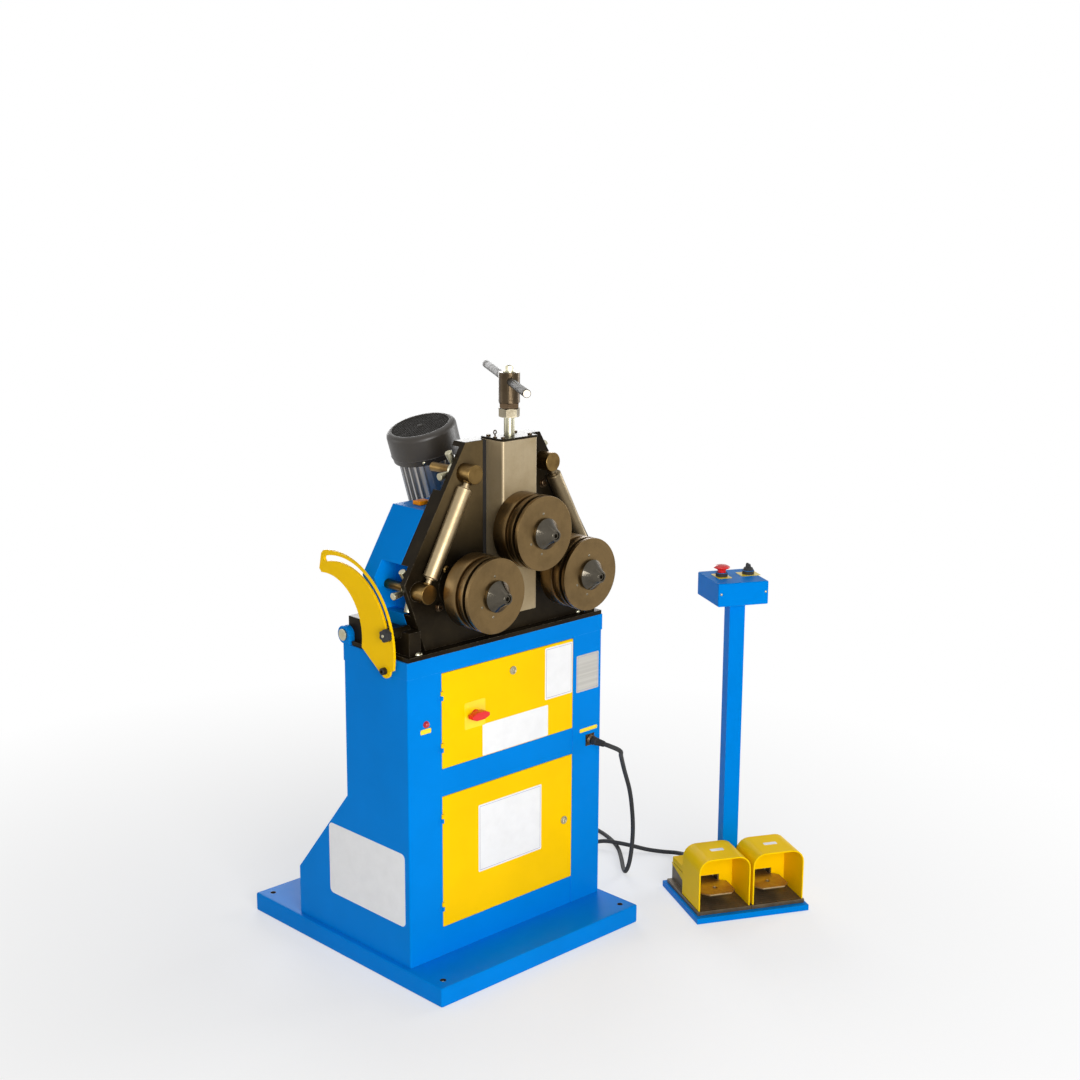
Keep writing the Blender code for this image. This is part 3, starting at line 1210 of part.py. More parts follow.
def motor_point(below_top):
    """A point on the motor's axis, a distance below the cowl's top."""
    return Vector((MOTOR_TOP_X, MOTOR_TOP_Y, MOTOR_TOP_Z)) - motor_up() * below_top


def gearbox(carrier):
    front = COVER_REAR + GAP
    case = box("gearbox", (-GEARBOX_HALF_WIDTH, front, GEARBOX_LOW),
               (GEARBOX_HALF_WIDTH, front + GEARBOX_DEPTH, GEARBOX_HIGH), GEARBOX_EDGE)
    seat = COWL_HEIGHT + MOTOR_BODY_LENGTH + MOTOR_FLANGE_HEIGHT + 2 * GAP
    stub = rod("motor_stub", motor_point(seat + MOTOR_FLANGE_RADIUS), motor_point(seat),
               MOTOR_FLANGE_RADIUS)
    join(case, stub)
    cut(case, rod("input_bore", (0, front - OVERRUN, LOWER_ROLL_Z),
                  (0, front + PINION_SHAFT_REACH + GAP, LOWER_ROLL_Z),
                  PINION_SHAFT_RADIUS + GAP))
    return dress(case, "black_paint", carrier)


def motor_body(carrier):
    """Finned motor with its flange and terminal box."""
    start = COWL_HEIGHT + MOTOR_BODY_LENGTH + GAP
    matrix = frame_to(motor_point(start), motor_up())
    outline = []
    pitch = 2 * pi / MOTOR_FINS
    for index in range(MOTOR_FINS):
        radii = (MOTOR_CORE_RADIUS, MOTOR_CORE_RADIUS, MOTOR_FIN_RADIUS, MOTOR_FIN_RADIUS)
        for radius, share in zip(radii, FIN_SHARES):
            turn = (index + share) * pitch
            outline.append((radius * cos(turn), radius * sin(turn)))
    body = flat_plate("motor_body", outline, matrix, MOTOR_BODY_LENGTH)
    flange = rod("motor_flange", motor_point(start + MOTOR_FLANGE_HEIGHT),
                 motor_point(start - GAP), MOTOR_FLANGE_RADIUS)
    terminal = box("terminal_box", (-TERMINAL_BOX_WIDTH / 2, MOTOR_CORE_RADIUS / 2,
                                    MOTOR_BODY_LENGTH / 4),
                   (TERMINAL_BOX_WIDTH / 2, MOTOR_FIN_RADIUS + TERMINAL_BOX_DEPTH,
                    MOTOR_BODY_LENGTH / 4 + TERMINAL_BOX_HEIGHT))
    terminal.data.transform(matrix @ Matrix.Rotation(TERMINAL_BOX_TURN, 4, "Z"))
    join(body, flange, terminal)
    cut(body, rod("rotor_bore", motor_point(COWL_HEIGHT - OVERRUN),
                  motor_point(COWL_HEIGHT + ROTOR_REACH + GAP), ROTOR_RADIUS + GAP,
                  steps=SMALL_STEPS))
    return dress(body, "motor_silver", carrier)


def motor_cowl(carrier):
    """Fan cowl: a thin cup, open below, with a ring that seats on the motor."""
    top = 0.0
    bottom = -COWL_HEIGHT
    inner = -COWL_SHEET
    seat = MOTOR_FIN_RADIUS * COWL_SEAT_SHARE
    shoulder = COWL_RADIUS - COWL_EDGE * COWL_EDGE_SHARES[0]
    shoulder_low = -COWL_EDGE * COWL_EDGE_SHARES[1]
    profile = [(0, top), (COWL_RADIUS - COWL_EDGE, top),
               (shoulder, shoulder_low),
               (COWL_RADIUS, -COWL_EDGE), (COWL_MOUTH_RADIUS, bottom), (seat, bottom),
               (seat, bottom + COWL_SHEET), (COWL_MOUTH_RADIUS - COWL_SHEET, bottom + COWL_SHEET),
               (COWL_RADIUS - COWL_SHEET, -COWL_EDGE),
               (shoulder - COWL_SHEET, shoulder_low + inner),
               (COWL_RADIUS - COWL_EDGE, inner), (0, inner)]
    cowl = turned("motor_cowl", profile, frame_to(motor_point(0.0), motor_up()), ROUND_STEPS)
    return dress(cowl, "black_plastic", carrier)


def motor_fan(carrier):
    """Rotor shaft end with the fan on it, inside the cowl."""
    low = COWL_HEIGHT - COWL_SHEET - OVERRUN
    hub = rod("motor_fan", motor_point(low), motor_point(low - FAN_HEIGHT), FAN_HUB_RADIUS,
              steps=SMALL_STEPS)
    shaft = rod("rotor_shaft", motor_point(COWL_HEIGHT + ROTOR_REACH),
                motor_point(low - FAN_HEIGHT / 2), ROTOR_RADIUS, steps=SMALL_STEPS)
    join(hub, shaft)
    for index in range(FAN_BLADES):
        blade = box("blade", (FAN_HUB_RADIUS / 2, -FAN_BLADE_SHEET / 2, 0),
                    (FAN_RADIUS, FAN_BLADE_SHEET / 2, FAN_HEIGHT))
        turn = Matrix.Rotation(2 * pi * index / FAN_BLADES, 4, "Z")
        blade.data.transform(frame_to(motor_point(low - GAP), motor_up()) @ turn)
        join(hub, blade)
    return dress(hub, "black_plastic", carrier)


def gear_outline(centre, teeth, tooth_at_zero):
    """A toothed outline with straight flanks and running clearance."""
    pitch_radius = GEAR_MODULE * teeth / 2
    pitch = 2 * pi / teeth
    root = pitch_radius - TOOTH_ROOT_SHARE * GEAR_MODULE
    tip = pitch_radius + TOOTH_TIP_SHARE * GEAR_MODULE
    half = pitch * TOOTH_THICKNESS_SHARE / 2
    start = 0.0 if tooth_at_zero else pitch / 2
    outline = []
    for index in range(teeth):
        middle = start + index * pitch
        for radius, offset in ((root, -half * (2 - TOOTH_TAPER_SHARE)),
                               (tip, -half * TOOTH_TAPER_SHARE),
                               (tip, half * TOOTH_TAPER_SHARE),
                               (root, half * (2 - TOOTH_TAPER_SHARE))):
            turn = middle + offset
            outline.append((centre[0] + radius * cos(turn), centre[1] + radius * sin(turn)))
    return outline


def drive_shaft(name, side, carrier):
    """Lower roll shaft: threaded end, roll seat, two bearings and its gear."""
    rear = GEAR_FRONT + GEAR_WIDTH + OVERRUN
    matrix = along_y(side * ROLL_SPREAD, 0, LOWER_ROLL_Z)
    profile = [(0, -ROLL_FACE + THREAD_LENGTH), (THREAD_RADIUS, -ROLL_FACE + THREAD_LENGTH),
               (THREAD_RADIUS, -ROLL_FACE - GAP), (SHAFT_RADIUS, -ROLL_FACE - GAP),
               (SHAFT_RADIUS, -rear), (0, -rear)]
    shaft = turned(name, profile, matrix, ROUND_STEPS)
    gear = xz_plate(f"{name}_gear",
                    gear_outline((side * ROLL_SPREAD, LOWER_ROLL_Z), GEAR_TEETH, False),
                    GEAR_FRONT, GEAR_WIDTH)
    join(shaft, gear)
    return dress(shaft, "dark_steel", carrier)


def drive_pinion(carrier):
    low = REAR_PLATE_FRONT
    end = COVER_REAR + PINION_SHAFT_REACH
    shaft = rod("drive_pinion", (0, low, LOWER_ROLL_Z), (0, end, LOWER_ROLL_Z),
                PINION_SHAFT_RADIUS)
    gear = xz_plate("pinion_gear", gear_outline((0, LOWER_ROLL_Z), PINION_TEETH, True),
                    GEAR_FRONT, GEAR_WIDTH)
    join(shaft, gear)
    return dress(shaft, "dark_steel", carrier)


def roll(name, x, z, carrier):
    """A grooved roll, turned from its discs, from the front face to the rear."""
    steps = [(ROLL_RADIUS, FRONT_DISC_WIDTH, ROLL_RADIUS),
             (DEEP_GROOVE_RADIUS, DEEP_GROOVE_WIDTH, DEEP_GROOVE_RADIUS),
             (ROLL_RADIUS, MIDDLE_DISC_WIDTH, ROLL_RADIUS),
             (ROLL_RADIUS, CHAMFER_WIDTH, CHAMFER_RADIUS),
             (THIN_GROOVE_RADIUS, THIN_GROOVE_WIDTH, THIN_GROOVE_RADIUS),
             (EDGE_RING_RADIUS, EDGE_RING_WIDTH, ROLL_RADIUS),
             (ROLL_RADIUS, REAR_DISC_WIDTH, ROLL_RADIUS)]
    bore = SHAFT_RADIUS + GAP
    profile = [(bore, -ROLL_FACE)]
    depth = -ROLL_FACE
    for first, width, second in steps:
        for point in ((first, depth), (second, depth - width)):
            if point != profile[-1]:
                profile.append(point)
        depth -= width
    profile.append((bore, depth))
    body = turned(name, profile, along_y(x, 0, z), FINE_STEPS)
    return dress(body, "oiled_steel", carrier)


def roll_nut(name, x, z, carrier):
    """Conical nut with a blind thread behind and a socket in its nose."""
    rear = -ROLL_FACE + GAP
    nose = rear + NUT_LENGTH
    thread = THREAD_RADIUS + GAP
    profile = [(0, nose - NUT_SOCKET_DEPTH), (NUT_SOCKET_RADIUS, nose - NUT_SOCKET_DEPTH),
               (NUT_SOCKET_RADIUS, nose), (NUT_TIP_RADIUS, nose),
               (NUT_RADIUS, rear + NUT_RIM), (NUT_RADIUS, rear), (thread, rear),
               (thread, -ROLL_FACE + THREAD_LENGTH + GAP),
               (0, -ROLL_FACE + THREAD_LENGTH + GAP)]
    nut = turned(name, profile, along_y(x, 0, z), ROUND_STEPS)
    return dress(nut, "dark_steel", carrier)


def rounded_outline(half_width, half_depth, radius):
    """A rectangle with round corners, about its middle."""
    corners = ((1, 1, 0.0), (-1, 1, pi / 2), (-1, -1, pi), (1, -1, 1.5 * pi))
    outline = []
    for side, end, start in corners:
        for index in range(CORNER_STEPS + 1):
            turn = start + pi / 2 * index / CORNER_STEPS
            outline.append((side * (half_width - radius) + radius * cos(turn),
                            end * (half_depth - radius) + radius * sin(turn)))
    return outline


def slide_housing(carrier):
    """Square tube with round corners: a blind cavity and a slot for the top roll's shaft."""
    outline = rounded_outline(HOUSING_HALF_WIDTH, HOUSING_DEPTH / 2, HOUSING_CORNER)
    body = flat_plate("slide_housing", outline, Matrix.Translation((0, SCREW_Y, HOUSING_LOW)),
                      HOUSING_HIGH - HOUSING_LOW)
    inner = HOUSING_HALF_WIDTH - HOUSING_WALL
    cavity = box("housing_cavity", (-inner, HOUSING_FRONT + HOUSING_WALL, HOUSING_FLOOR_Z),
                 (inner, HOUSING_REAR - HOUSING_WALL, HOUSING_HIGH + OVERRUN))
    slot = box("housing_slot",
               (-SLIDE_SLOT_HALF, HOUSING_FRONT - OVERRUN,
                TOP_ROLL_Z - SLIDE_DOWN - SLIDE_SLOT_HALF),
               (SLIDE_SLOT_HALF, HOUSING_FRONT + HOUSING_WALL + OVERRUN,
                TOP_ROLL_Z + SLIDE_UP + SLIDE_SLOT_HALF))
    cut(body, cavity, slot)
    return dress(body, "oiled_steel", carrier)


def housing_cap(carrier):
    low = HOUSING_HIGH + GAP
    lid = box("housing_cap",
              (-HOUSING_HALF_WIDTH - HOUSING_CAP_LIP, HOUSING_FRONT - HOUSING_CAP_LIP, low),
              (HOUSING_HALF_WIDTH + HOUSING_CAP_LIP, HOUSING_REAR + HOUSING_CAP_LIP, CAP_TOP))
    cut(lid, rod("screw_bore", (0, SCREW_Y, low - OVERRUN), (0, SCREW_Y, CAP_TOP + OVERRUN),
                 SCREW_RADIUS + GAP))
    return dress(lid, "black_paint", carrier)


def slide_block(carrier):
    """Block that carries the top roll's shaft up and down inside the housing."""
    inner = HOUSING_HALF_WIDTH - HOUSING_WALL - RUNNING_GAP
    block = box("slide_block",
                (-inner, HOUSING_FRONT + HOUSING_WALL + RUNNING_GAP,
                 TOP_ROLL_Z - SLIDE_BLOCK_HALF_HEIGHT),
                (inner, HOUSING_REAR - HOUSING_WALL - RUNNING_GAP, SLIDE_TOP))
    cut(block, rod("shaft_bore", (0, HOUSING_FRONT, TOP_ROLL_Z),
                   (0, HOUSING_REAR - SHAFT_SEAT_SHARE * HOUSING_WALL, TOP_ROLL_Z), SHAFT_RADIUS + GAP))
    return dress(block, "dark_steel", carrier)


def top_shaft(carrier):
    rear = HOUSING_REAR - SHAFT_SEAT_SHARE * HOUSING_WALL - GAP
    profile = [(0, -ROLL_FACE + THREAD_LENGTH), (THREAD_RADIUS, -ROLL_FACE + THREAD_LENGTH),
               (THREAD_RADIUS, -ROLL_FACE - GAP), (SHAFT_RADIUS, -ROLL_FACE - GAP),
               (SHAFT_RADIUS, -rear), (0, -rear)]
    shaft = turned("top_shaft", profile, along_y(0, 0, TOP_ROLL_Z), ROUND_STEPS)
    return dress(shaft, "dark_steel", carrier)


def press_screw(carrier):
    """Screw that pushes the slide block, with its two stop nuts under the hub."""
    low = SLIDE_TOP + GAP
    screw = rod("press_screw", (0, SCREW_Y, low), (0, SCREW_Y, HUB_LOW + HUB_BORE_DEPTH - GAP),
                SCREW_RADIUS)
    corner = NUT_ACROSS_FLATS / sqrt(3)
    nut_low = rod("stop_nut", (0, SCREW_Y, NUTS_LOW), (0, SCREW_Y, NUTS_LOW + LOWER_NUT_HEIGHT),
                  corner, steps=6)
    nut_high = rod("lock_nut", (0, SCREW_Y, NUTS_LOW + LOWER_NUT_HEIGHT - GAP),
                   (0, SCREW_Y, HUB_LOW - GAP), corner * LOCK_NUT_SHARE, steps=6)
    nut_high.data.transform(Matrix.Translation((0, SCREW_Y, 0))
                            @ Matrix.Rotation(radians(14), 4, "Z")
                            @ Matrix.Translation((0, -SCREW_Y, 0)))
    join(screw, nut_low, nut_high)
    return dress(screw, "zinc", carrier)


def bar_direction():
    return Vector((cos(BAR_HEADING), sin(BAR_HEADING), 0))


def handle_hub(carrier):
    """Round hub on the screw, with a washer and bolt on top and a cross bore for the bar."""
    profile = [(0, HUB_TOP + HUB_WASHER_HEIGHT + HUB_BOLT_HEIGHT),
               (HUB_BOLT_RADIUS, HUB_TOP + HUB_WASHER_HEIGHT + HUB_BOLT_HEIGHT),
               (HUB_BOLT_RADIUS, HUB_TOP + HUB_WASHER_HEIGHT),
               (HUB_WASHER_RADIUS, HUB_TOP + HUB_WASHER_HEIGHT), (HUB_WASHER_RADIUS, HUB_TOP),
               (HUB_RADIUS, HUB_TOP), (HUB_RADIUS, HUB_LOW), (SCREW_RADIUS + GAP, HUB_LOW),
               (SCREW_RADIUS + GAP, HUB_LOW + HUB_BORE_DEPTH), (0, HUB_LOW + HUB_BORE_DEPTH)]
    hub = turned("handle_hub", profile, Matrix.Translation((0, SCREW_Y, 0)), ROUND_STEPS)
    centre = Vector((0, SCREW_Y, BAR_Z))
    reach = bar_direction() * (HUB_RADIUS + OVERRUN)
    cut(hub, rod("bar_bore", centre - reach, centre + reach, BAR_RADIUS + GAP))
    return dress(hub, "bronze", carrier)


def tee_bar(carrier):
    centre = Vector((0, SCREW_Y, BAR_Z)) - bar_direction() * BAR_SHIFT
    reach = bar_direction() * BAR_HALF_LENGTH
    bar = rod("tee_bar", centre - reach, centre + reach, BAR_RADIUS, steps=SMALL_STEPS)
    return dress(bar, "zinc", carrier)


def guide_ends(side):
    upper, lower = stud_places(side)
    return (Vector((upper[0], GUIDE_AXIS_Y, upper[1])), Vector((lower[0], GUIDE_AXIS_Y, lower[1])))


def guide_stud(name, x, z, partner, carrier):
    """Stud through the frame, with a socket for the guide roller's journal."""
    profile = [(0, -STUD_FRONT), (STUD_RADIUS, -STUD_FRONT), (STUD_RADIUS, -STUD_REAR),
               (STUD_NECK_RADIUS, -STUD_REAR), (STUD_NECK_RADIUS, -STUD_NECK_REAR),
               (0, -STUD_NECK_REAR)]
    stud = turned(name, profile, along_y(x, 0, z), ROUND_STEPS)
    centre = Vector((x, GUIDE_AXIS_Y, z))
    away = (partner - centre).normalized()
    cut(stud, rod(f"{name}_socket", centre + away * (STUD_RADIUS - GUIDE_SOCKET_DEPTH),
                  centre + away * (STUD_RADIUS + OVERRUN), GUIDE_JOURNAL_RADIUS + GAP,
                  steps=SMALL_STEPS))
    return dress(stud, "bronze", carrier)


def guide_roller(name, side, carrier):
    upper, lower = guide_ends(side)
    length = (upper - lower).length
    end = STUD_RADIUS - GUIDE_SOCKET_DEPTH + GAP
    drum = STUD_RADIUS + GUIDE_JOURNAL_SHOWN
    profile = [(0, length - end), (GUIDE_JOURNAL_RADIUS, length - end),
               (GUIDE_JOURNAL_RADIUS, length - drum), (GUIDE_RADIUS, length - drum),
               (GUIDE_RADIUS, drum), (GUIDE_JOURNAL_RADIUS, drum),
               (GUIDE_JOURNAL_RADIUS, end), (0, end)]
    roller = turned(name, profile, frame_to(lower, upper - lower), SMALL_STEPS)
    return dress(roller, "oiled_steel", carrier)


def capstan(name, x, z, carrier):
    """Spoked nut on a guide stud, behind the frame's plate."""
    inner = STUD_NECK_RADIUS + GAP
    profile = [(inner, -CAPSTAN_FRONT), (CAPSTAN_HUB_RADIUS, -CAPSTAN_FRONT),
               (CAPSTAN_HUB_RADIUS, -CAPSTAN_FRONT - CAPSTAN_LENGTH),
               (inner, -CAPSTAN_FRONT - CAPSTAN_LENGTH)]
    hub = turned(name, profile, along_y(x, 0, z), SMALL_STEPS)
    middle = CAPSTAN_FRONT + CAPSTAN_LENGTH / 2
    neck = (inner + CAPSTAN_HUB_RADIUS) / 2
    grip = CAPSTAN_REACH * SPOKE_GRIP_SHARE
    for index in range(SPOKES):
        turn = SPOKE_TURN + 2 * pi * index / SPOKES
        away = Vector((cos(turn), 0, sin(turn)))
        centre = Vector((x, middle, z))
        join(hub, rod("spoke_neck", centre + away * neck, centre + away * (grip + OVERRUN / 2),
                      SPOKE_NECK_RADIUS, steps=8),
             rod("spoke_grip", centre + away * grip, centre + away * CAPSTAN_REACH,
                 SPOKE_GRIP_RADIUS * SPOKE_TAPER_SHARE, SPOKE_GRIP_RADIUS, steps=12))
    return dress(hub, "zinc", carrier)


def console_stand(carrier):
    """Floor plate with the square tube post welded on."""
    plate = box("console_stand", (-STAND_WIDTH / 2, -STAND_DEPTH / 2, 0),
                (STAND_WIDTH / 2, STAND_DEPTH / 2, STAND_SHEET))
    half_w = POST_WIDTH / 2
    half_d = POST_DEPTH / 2
    post = box("post", (POST_A - half_w, POST_B - half_d, STAND_SHEET / 2),
               (POST_A + half_w, POST_B + half_d, POST_TOP))
    bore = box("post_bore", (POST_A - half_w + POST_WALL, POST_B - half_d + POST_WALL, STAND_SHEET),
               (POST_A + half_w - POST_WALL, POST_B + half_d - POST_WALL, POST_TOP + OVERRUN))
    join(plate, post)
    cut(plate, bore)
    return dress(plate, "blue_paint", carrier)


def console_box(carrier):
    low = (BOX_A - BOX_WIDTH / 2, BOX_B - BOX_DEPTH / 2, BOX_LOW)
    high = (BOX_A + BOX_WIDTH / 2, BOX_B + BOX_DEPTH / 2, BOX_TOP)
    case = box("console_box", low, high, BOX_EDGE)
    wall = Vector((BOX_WALL, BOX_WALL, BOX_WALL))
    cut(case, box("box_hollow", Vector(low) + wall, Vector(high) - wall))
    inside_w = POST_WIDTH / 2 - POST_WALL
    inside_d = POST_DEPTH / 2 - POST_WALL
    cut(case, box("wire_hole", (POST_A - inside_w, POST_B - inside_d, BOX_LOW - OVERRUN),
                  (POST_A + inside_w, POST_B + inside_d, BOX_LOW + OVERRUN)))
    for a, b, stem in ((ESTOP_A, ESTOP_B, ESTOP_STEM_RADIUS),
                       (SELECTOR_A, SELECTOR_B, SELECTOR_STEM_RADIUS)):
        collar = rod("collar", (a, b, BOX_TOP - BOX_WALL / 2), (a, b, BOX_TOP + COLLAR_HEIGHT),
                     COLLAR_RADIUS, steps=SMALL_STEPS)
        join(case, collar)
        cut(case, rod("collar_bore", (a, b, BOX_TOP - 2 * OVERRUN),
                      (a, b, BOX_TOP + COLLAR_HEIGHT + OVERRUN), stem + GAP,
                      steps=SMALL_STEPS))
    return dress(case, "blue_paint", carrier)


def estop_button(carrier):
    low = BOX_TOP + COLLAR_HEIGHT + ESTOP_TRAVEL + GAP
    top = low + ESTOP_STEM_HEIGHT / 2 + ESTOP_CAP_HEIGHT
    profile = [*[(ESTOP_RADIUS * across, top - ESTOP_CAP_HEIGHT * down)
                 for across, down in ESTOP_DOME_SHARES],
               (ESTOP_STEM_RADIUS, low), (ESTOP_STEM_RADIUS, BOX_TOP - OVERRUN),
               (0, BOX_TOP - OVERRUN)]
    button = turned("estop_button", profile, Matrix.Translation((ESTOP_A, ESTOP_B, 0)),
                    SMALL_STEPS)
    return dress(button, "red_plastic", carrier)


def selector_knob(carrier):
    low = BOX_TOP + COLLAR_HEIGHT + GAP
    top = low + SELECTOR_BASE_HEIGHT
    base = rod("selector_knob", (SELECTOR_A, SELECTOR_B, low), (SELECTOR_A, SELECTOR_B, top),
               SELECTOR_RADIUS, SELECTOR_RADIUS * SELECTOR_TAPER_SHARE, steps=SMALL_STEPS)
    grip = box("selector_grip",
               (SELECTOR_A - SELECTOR_GRIP_WIDTH / 2, SELECTOR_B - SELECTOR_GRIP_LENGTH / 2,
                low + SELECTOR_BASE_HEIGHT / 2),
               (SELECTOR_A + SELECTOR_GRIP_WIDTH / 2, SELECTOR_B + SELECTOR_GRIP_LENGTH / 2,
                top + SELECTOR_GRIP_HEIGHT))
    stem = rod("selector_stem", (SELECTOR_A, SELECTOR_B, low + SELECTOR_BASE_HEIGHT / 2),
               (SELECTOR_A, SELECTOR_B, BOX_TOP - OVERRUN), SELECTOR_STEM_RADIUS,
               steps=SMALL_STEPS)
    join(base, grip, stem)
    return dress(base, "black_plastic", carrier)


def post_notch():
    """The room that both pedal units leave round the post."""
    reach_a = POST_WIDTH / 2 + 2 * RUNNING_GAP
    reach_b = POST_DEPTH / 2 + 2 * RUNNING_GAP
    return box("post_notch", (POST_A - reach_a, POST_B - reach_b, 0),
               (POST_A + reach_a, POST_B + reach_b, GUARD_TOP))


def pedal_base(name, side, carrier):
    """Cast base of a pedal unit: tray, rear block with a pocket, and the cable gland."""
    a = side * UNIT_SPREAD
    half = UNIT_WIDTH / 2
    tray = box(name, (a - half, UNIT_FRONT, UNIT_LOW), (a + half, UNIT_REAR, UNIT_LOW + UNIT_TRAY))
    block = box("rear_block", (a - BLOCK_WIDTH / 2, BLOCK_FRONT, UNIT_LOW + UNIT_TRAY / 2),
                (a + BLOCK_WIDTH / 2, UNIT_REAR, BLOCK_TOP))
    join(tray, block)
    if side < 0:
        join(tray, rod("gland", (a, UNIT_REAR - OVERRUN, STAND_SHEET + GLAND_Z),
                       (a, UNIT_REAR + GLAND_LENGTH, STAND_SHEET + GLAND_Z), GLAND_RADIUS,
                       steps=SMALL_STEPS))
    pocket = box("pocket", (a - POCKET_HALF, BLOCK_FRONT - OVERRUN, POCKET_FLOOR),
                 (a + POCKET_HALF, BLOCK_FRONT + POCKET_DEPTH, BLOCK_TOP + OVERRUN))
    pin = rod("pin_bore", (a - PEDAL_PIN_HALF - GAP, PEDAL_AXIS_B, PEDAL_AXIS_Z),
              (a + PEDAL_PIN_HALF + GAP, PEDAL_AXIS_B, PEDAL_AXIS_Z),
              PEDAL_PIN_RADIUS + GAP, steps=SMALL_STEPS)
    cut(tray, pocket, pin, post_notch())
    return dress(tray, "black_paint", carrier)


def guard_outline(half_width, low, high, radius):
    """An arch in (a, z): straight legs and rounded shoulders."""
    left = arc((-half_width + radius, high - radius), radius, 0, pi / 2, 5)
    right = arc((half_width - radius, high - radius), radius, pi / 2, pi, 5)
    return [(-half_width, low), *left, *right, (half_width, low)]


def pedal_guard(name, side, carrier):
    """Arched guard over a pedal, closed behind, with a hood over the rear block."""
    a = side * UNIT_SPREAD
    low = UNIT_LOW + UNIT_TRAY + GAP
    depth = GUARD_REAR - GUARD_FRONT
    outline = guard_outline(GUARD_WIDTH / 2, low, GUARD_TOP, GUARD_RADIUS)
    shell = xz_plate(name, outline, GUARD_FRONT, depth)
    inner = guard_outline(GUARD_WIDTH / 2 - GUARD_WALL, low - OVERRUN, GUARD_TOP - GUARD_WALL,
                          GUARD_RADIUS - GUARD_WALL)
    hollow = xz_plate("guard_hollow", inner, GUARD_FRONT - OVERRUN, depth + OVERRUN - GUARD_WALL)
    hood = box("guard_hood", (-BLOCK_WIDTH / 2, GUARD_REAR - GUARD_WALL / 2, BLOCK_TOP + GAP),
               (BLOCK_WIDTH / 2, UNIT_REAR, HOOD_TOP), STAND_EDGE)
    slot = box("guard_slot", (-GUARD_SLOT_HALF, GUARD_REAR - 2 * GUARD_WALL, GUARD_SLOT_LOW),
               (GUARD_SLOT_HALF, GUARD_REAR + OVERRUN, GUARD_SLOT_HIGH))
    for piece in (shell, hollow, hood, slot):
        piece.data.transform(Matrix.Translation((a, 0, 0)))
    cut(shell, hollow)
    join(shell, hood)
    cut(shell, slot, post_notch())
    return dress(shell, "yellow_plastic", carrier)


def pedal(name, side, carrier):
    """Treadle plate with chamfered toes, an arm through the guard and its pin."""
    a = side * UNIT_SPREAD
    outline = [(-PEDAL_ARM_HALF, PEDAL_AXIS_B), (-PEDAL_ARM_HALF, PEDAL_SHOULDER + PEDAL_CORNER),
               (-PEDAL_HALF_WIDTH, PEDAL_SHOULDER), (-PEDAL_HALF_WIDTH, PEDAL_FRONT + PEDAL_CORNER),
               (-PEDAL_HALF_WIDTH + PEDAL_CORNER, PEDAL_FRONT),
               (PEDAL_HALF_WIDTH - PEDAL_CORNER, PEDAL_FRONT),
               (PEDAL_HALF_WIDTH, PEDAL_FRONT + PEDAL_CORNER), (PEDAL_HALF_WIDTH, PEDAL_SHOULDER),
               (PEDAL_ARM_HALF, PEDAL_SHOULDER + PEDAL_CORNER), (PEDAL_ARM_HALF, PEDAL_AXIS_B)]
    hole = circle_points((0, PEDAL_HOLE_B), PEDAL_HOLE_RADIUS)
    matrix = Matrix.Translation((a, 0, PEDAL_AXIS_Z - PEDAL_SHEET / 2))
    plate = flat_plate(name, outline, matrix, PEDAL_SHEET, (hole,))
    pin = rod("pedal_pin", (a - PEDAL_PIN_HALF, PEDAL_AXIS_B, PEDAL_AXIS_Z),
              (a + PEDAL_PIN_HALF, PEDAL_AXIS_B, PEDAL_AXIS_Z), PEDAL_PIN_RADIUS,
              steps=SMALL_STEPS)
    join(plate, pin)
    return dress(plate, "oiled_steel", carrier)


def build_stand():
    base_plate()
    cabinet()
    control_panel()
    power_lamp()
    cable_socket()
    cable_plug()
    control_cable()
    hinge_pin()
    tilt_quadrant()
    quadrant_bolt()
    upper = pivot("upper_door_axis", (HINGE_X, HINGE_Y, UPPER_DOOR_LOW))
    door("upper_door", UPPER_DOOR_LOW, UPPER_DOOR_HIGH, UPPER_LOCK_X, UPPER_LOCK_Z, upper)
    upper_turn = pivot("upper_lock_axis", (UPPER_LOCK_X, CABINET_FRONT, UPPER_LOCK_Z), upper)
    door_lock("upper_lock", UPPER_LOCK_X, UPPER_LOCK_Z, (-1, 0), upper_turn)
    switch_turn = pivot("switch_axis", (SWITCH_X, CABINET_FRONT, SWITCH_Z), upper)
    switch_handle(switch_turn)
    lower = pivot("lower_door_axis", (HINGE_X, HINGE_Y, LOWER_DOOR_LOW))
    door("lower_door", LOWER_DOOR_LOW, LOWER_DOOR_HIGH, LOWER_LOCK_X, LOWER_LOCK_Z, lower)
    lower_turn = pivot("lower_lock_axis", (LOWER_LOCK_X, CABINET_FRONT, LOWER_LOCK_Z), lower)
    door_lock("lower_lock", LOWER_LOCK_X, LOWER_LOCK_Z, (0, -1), lower_turn)


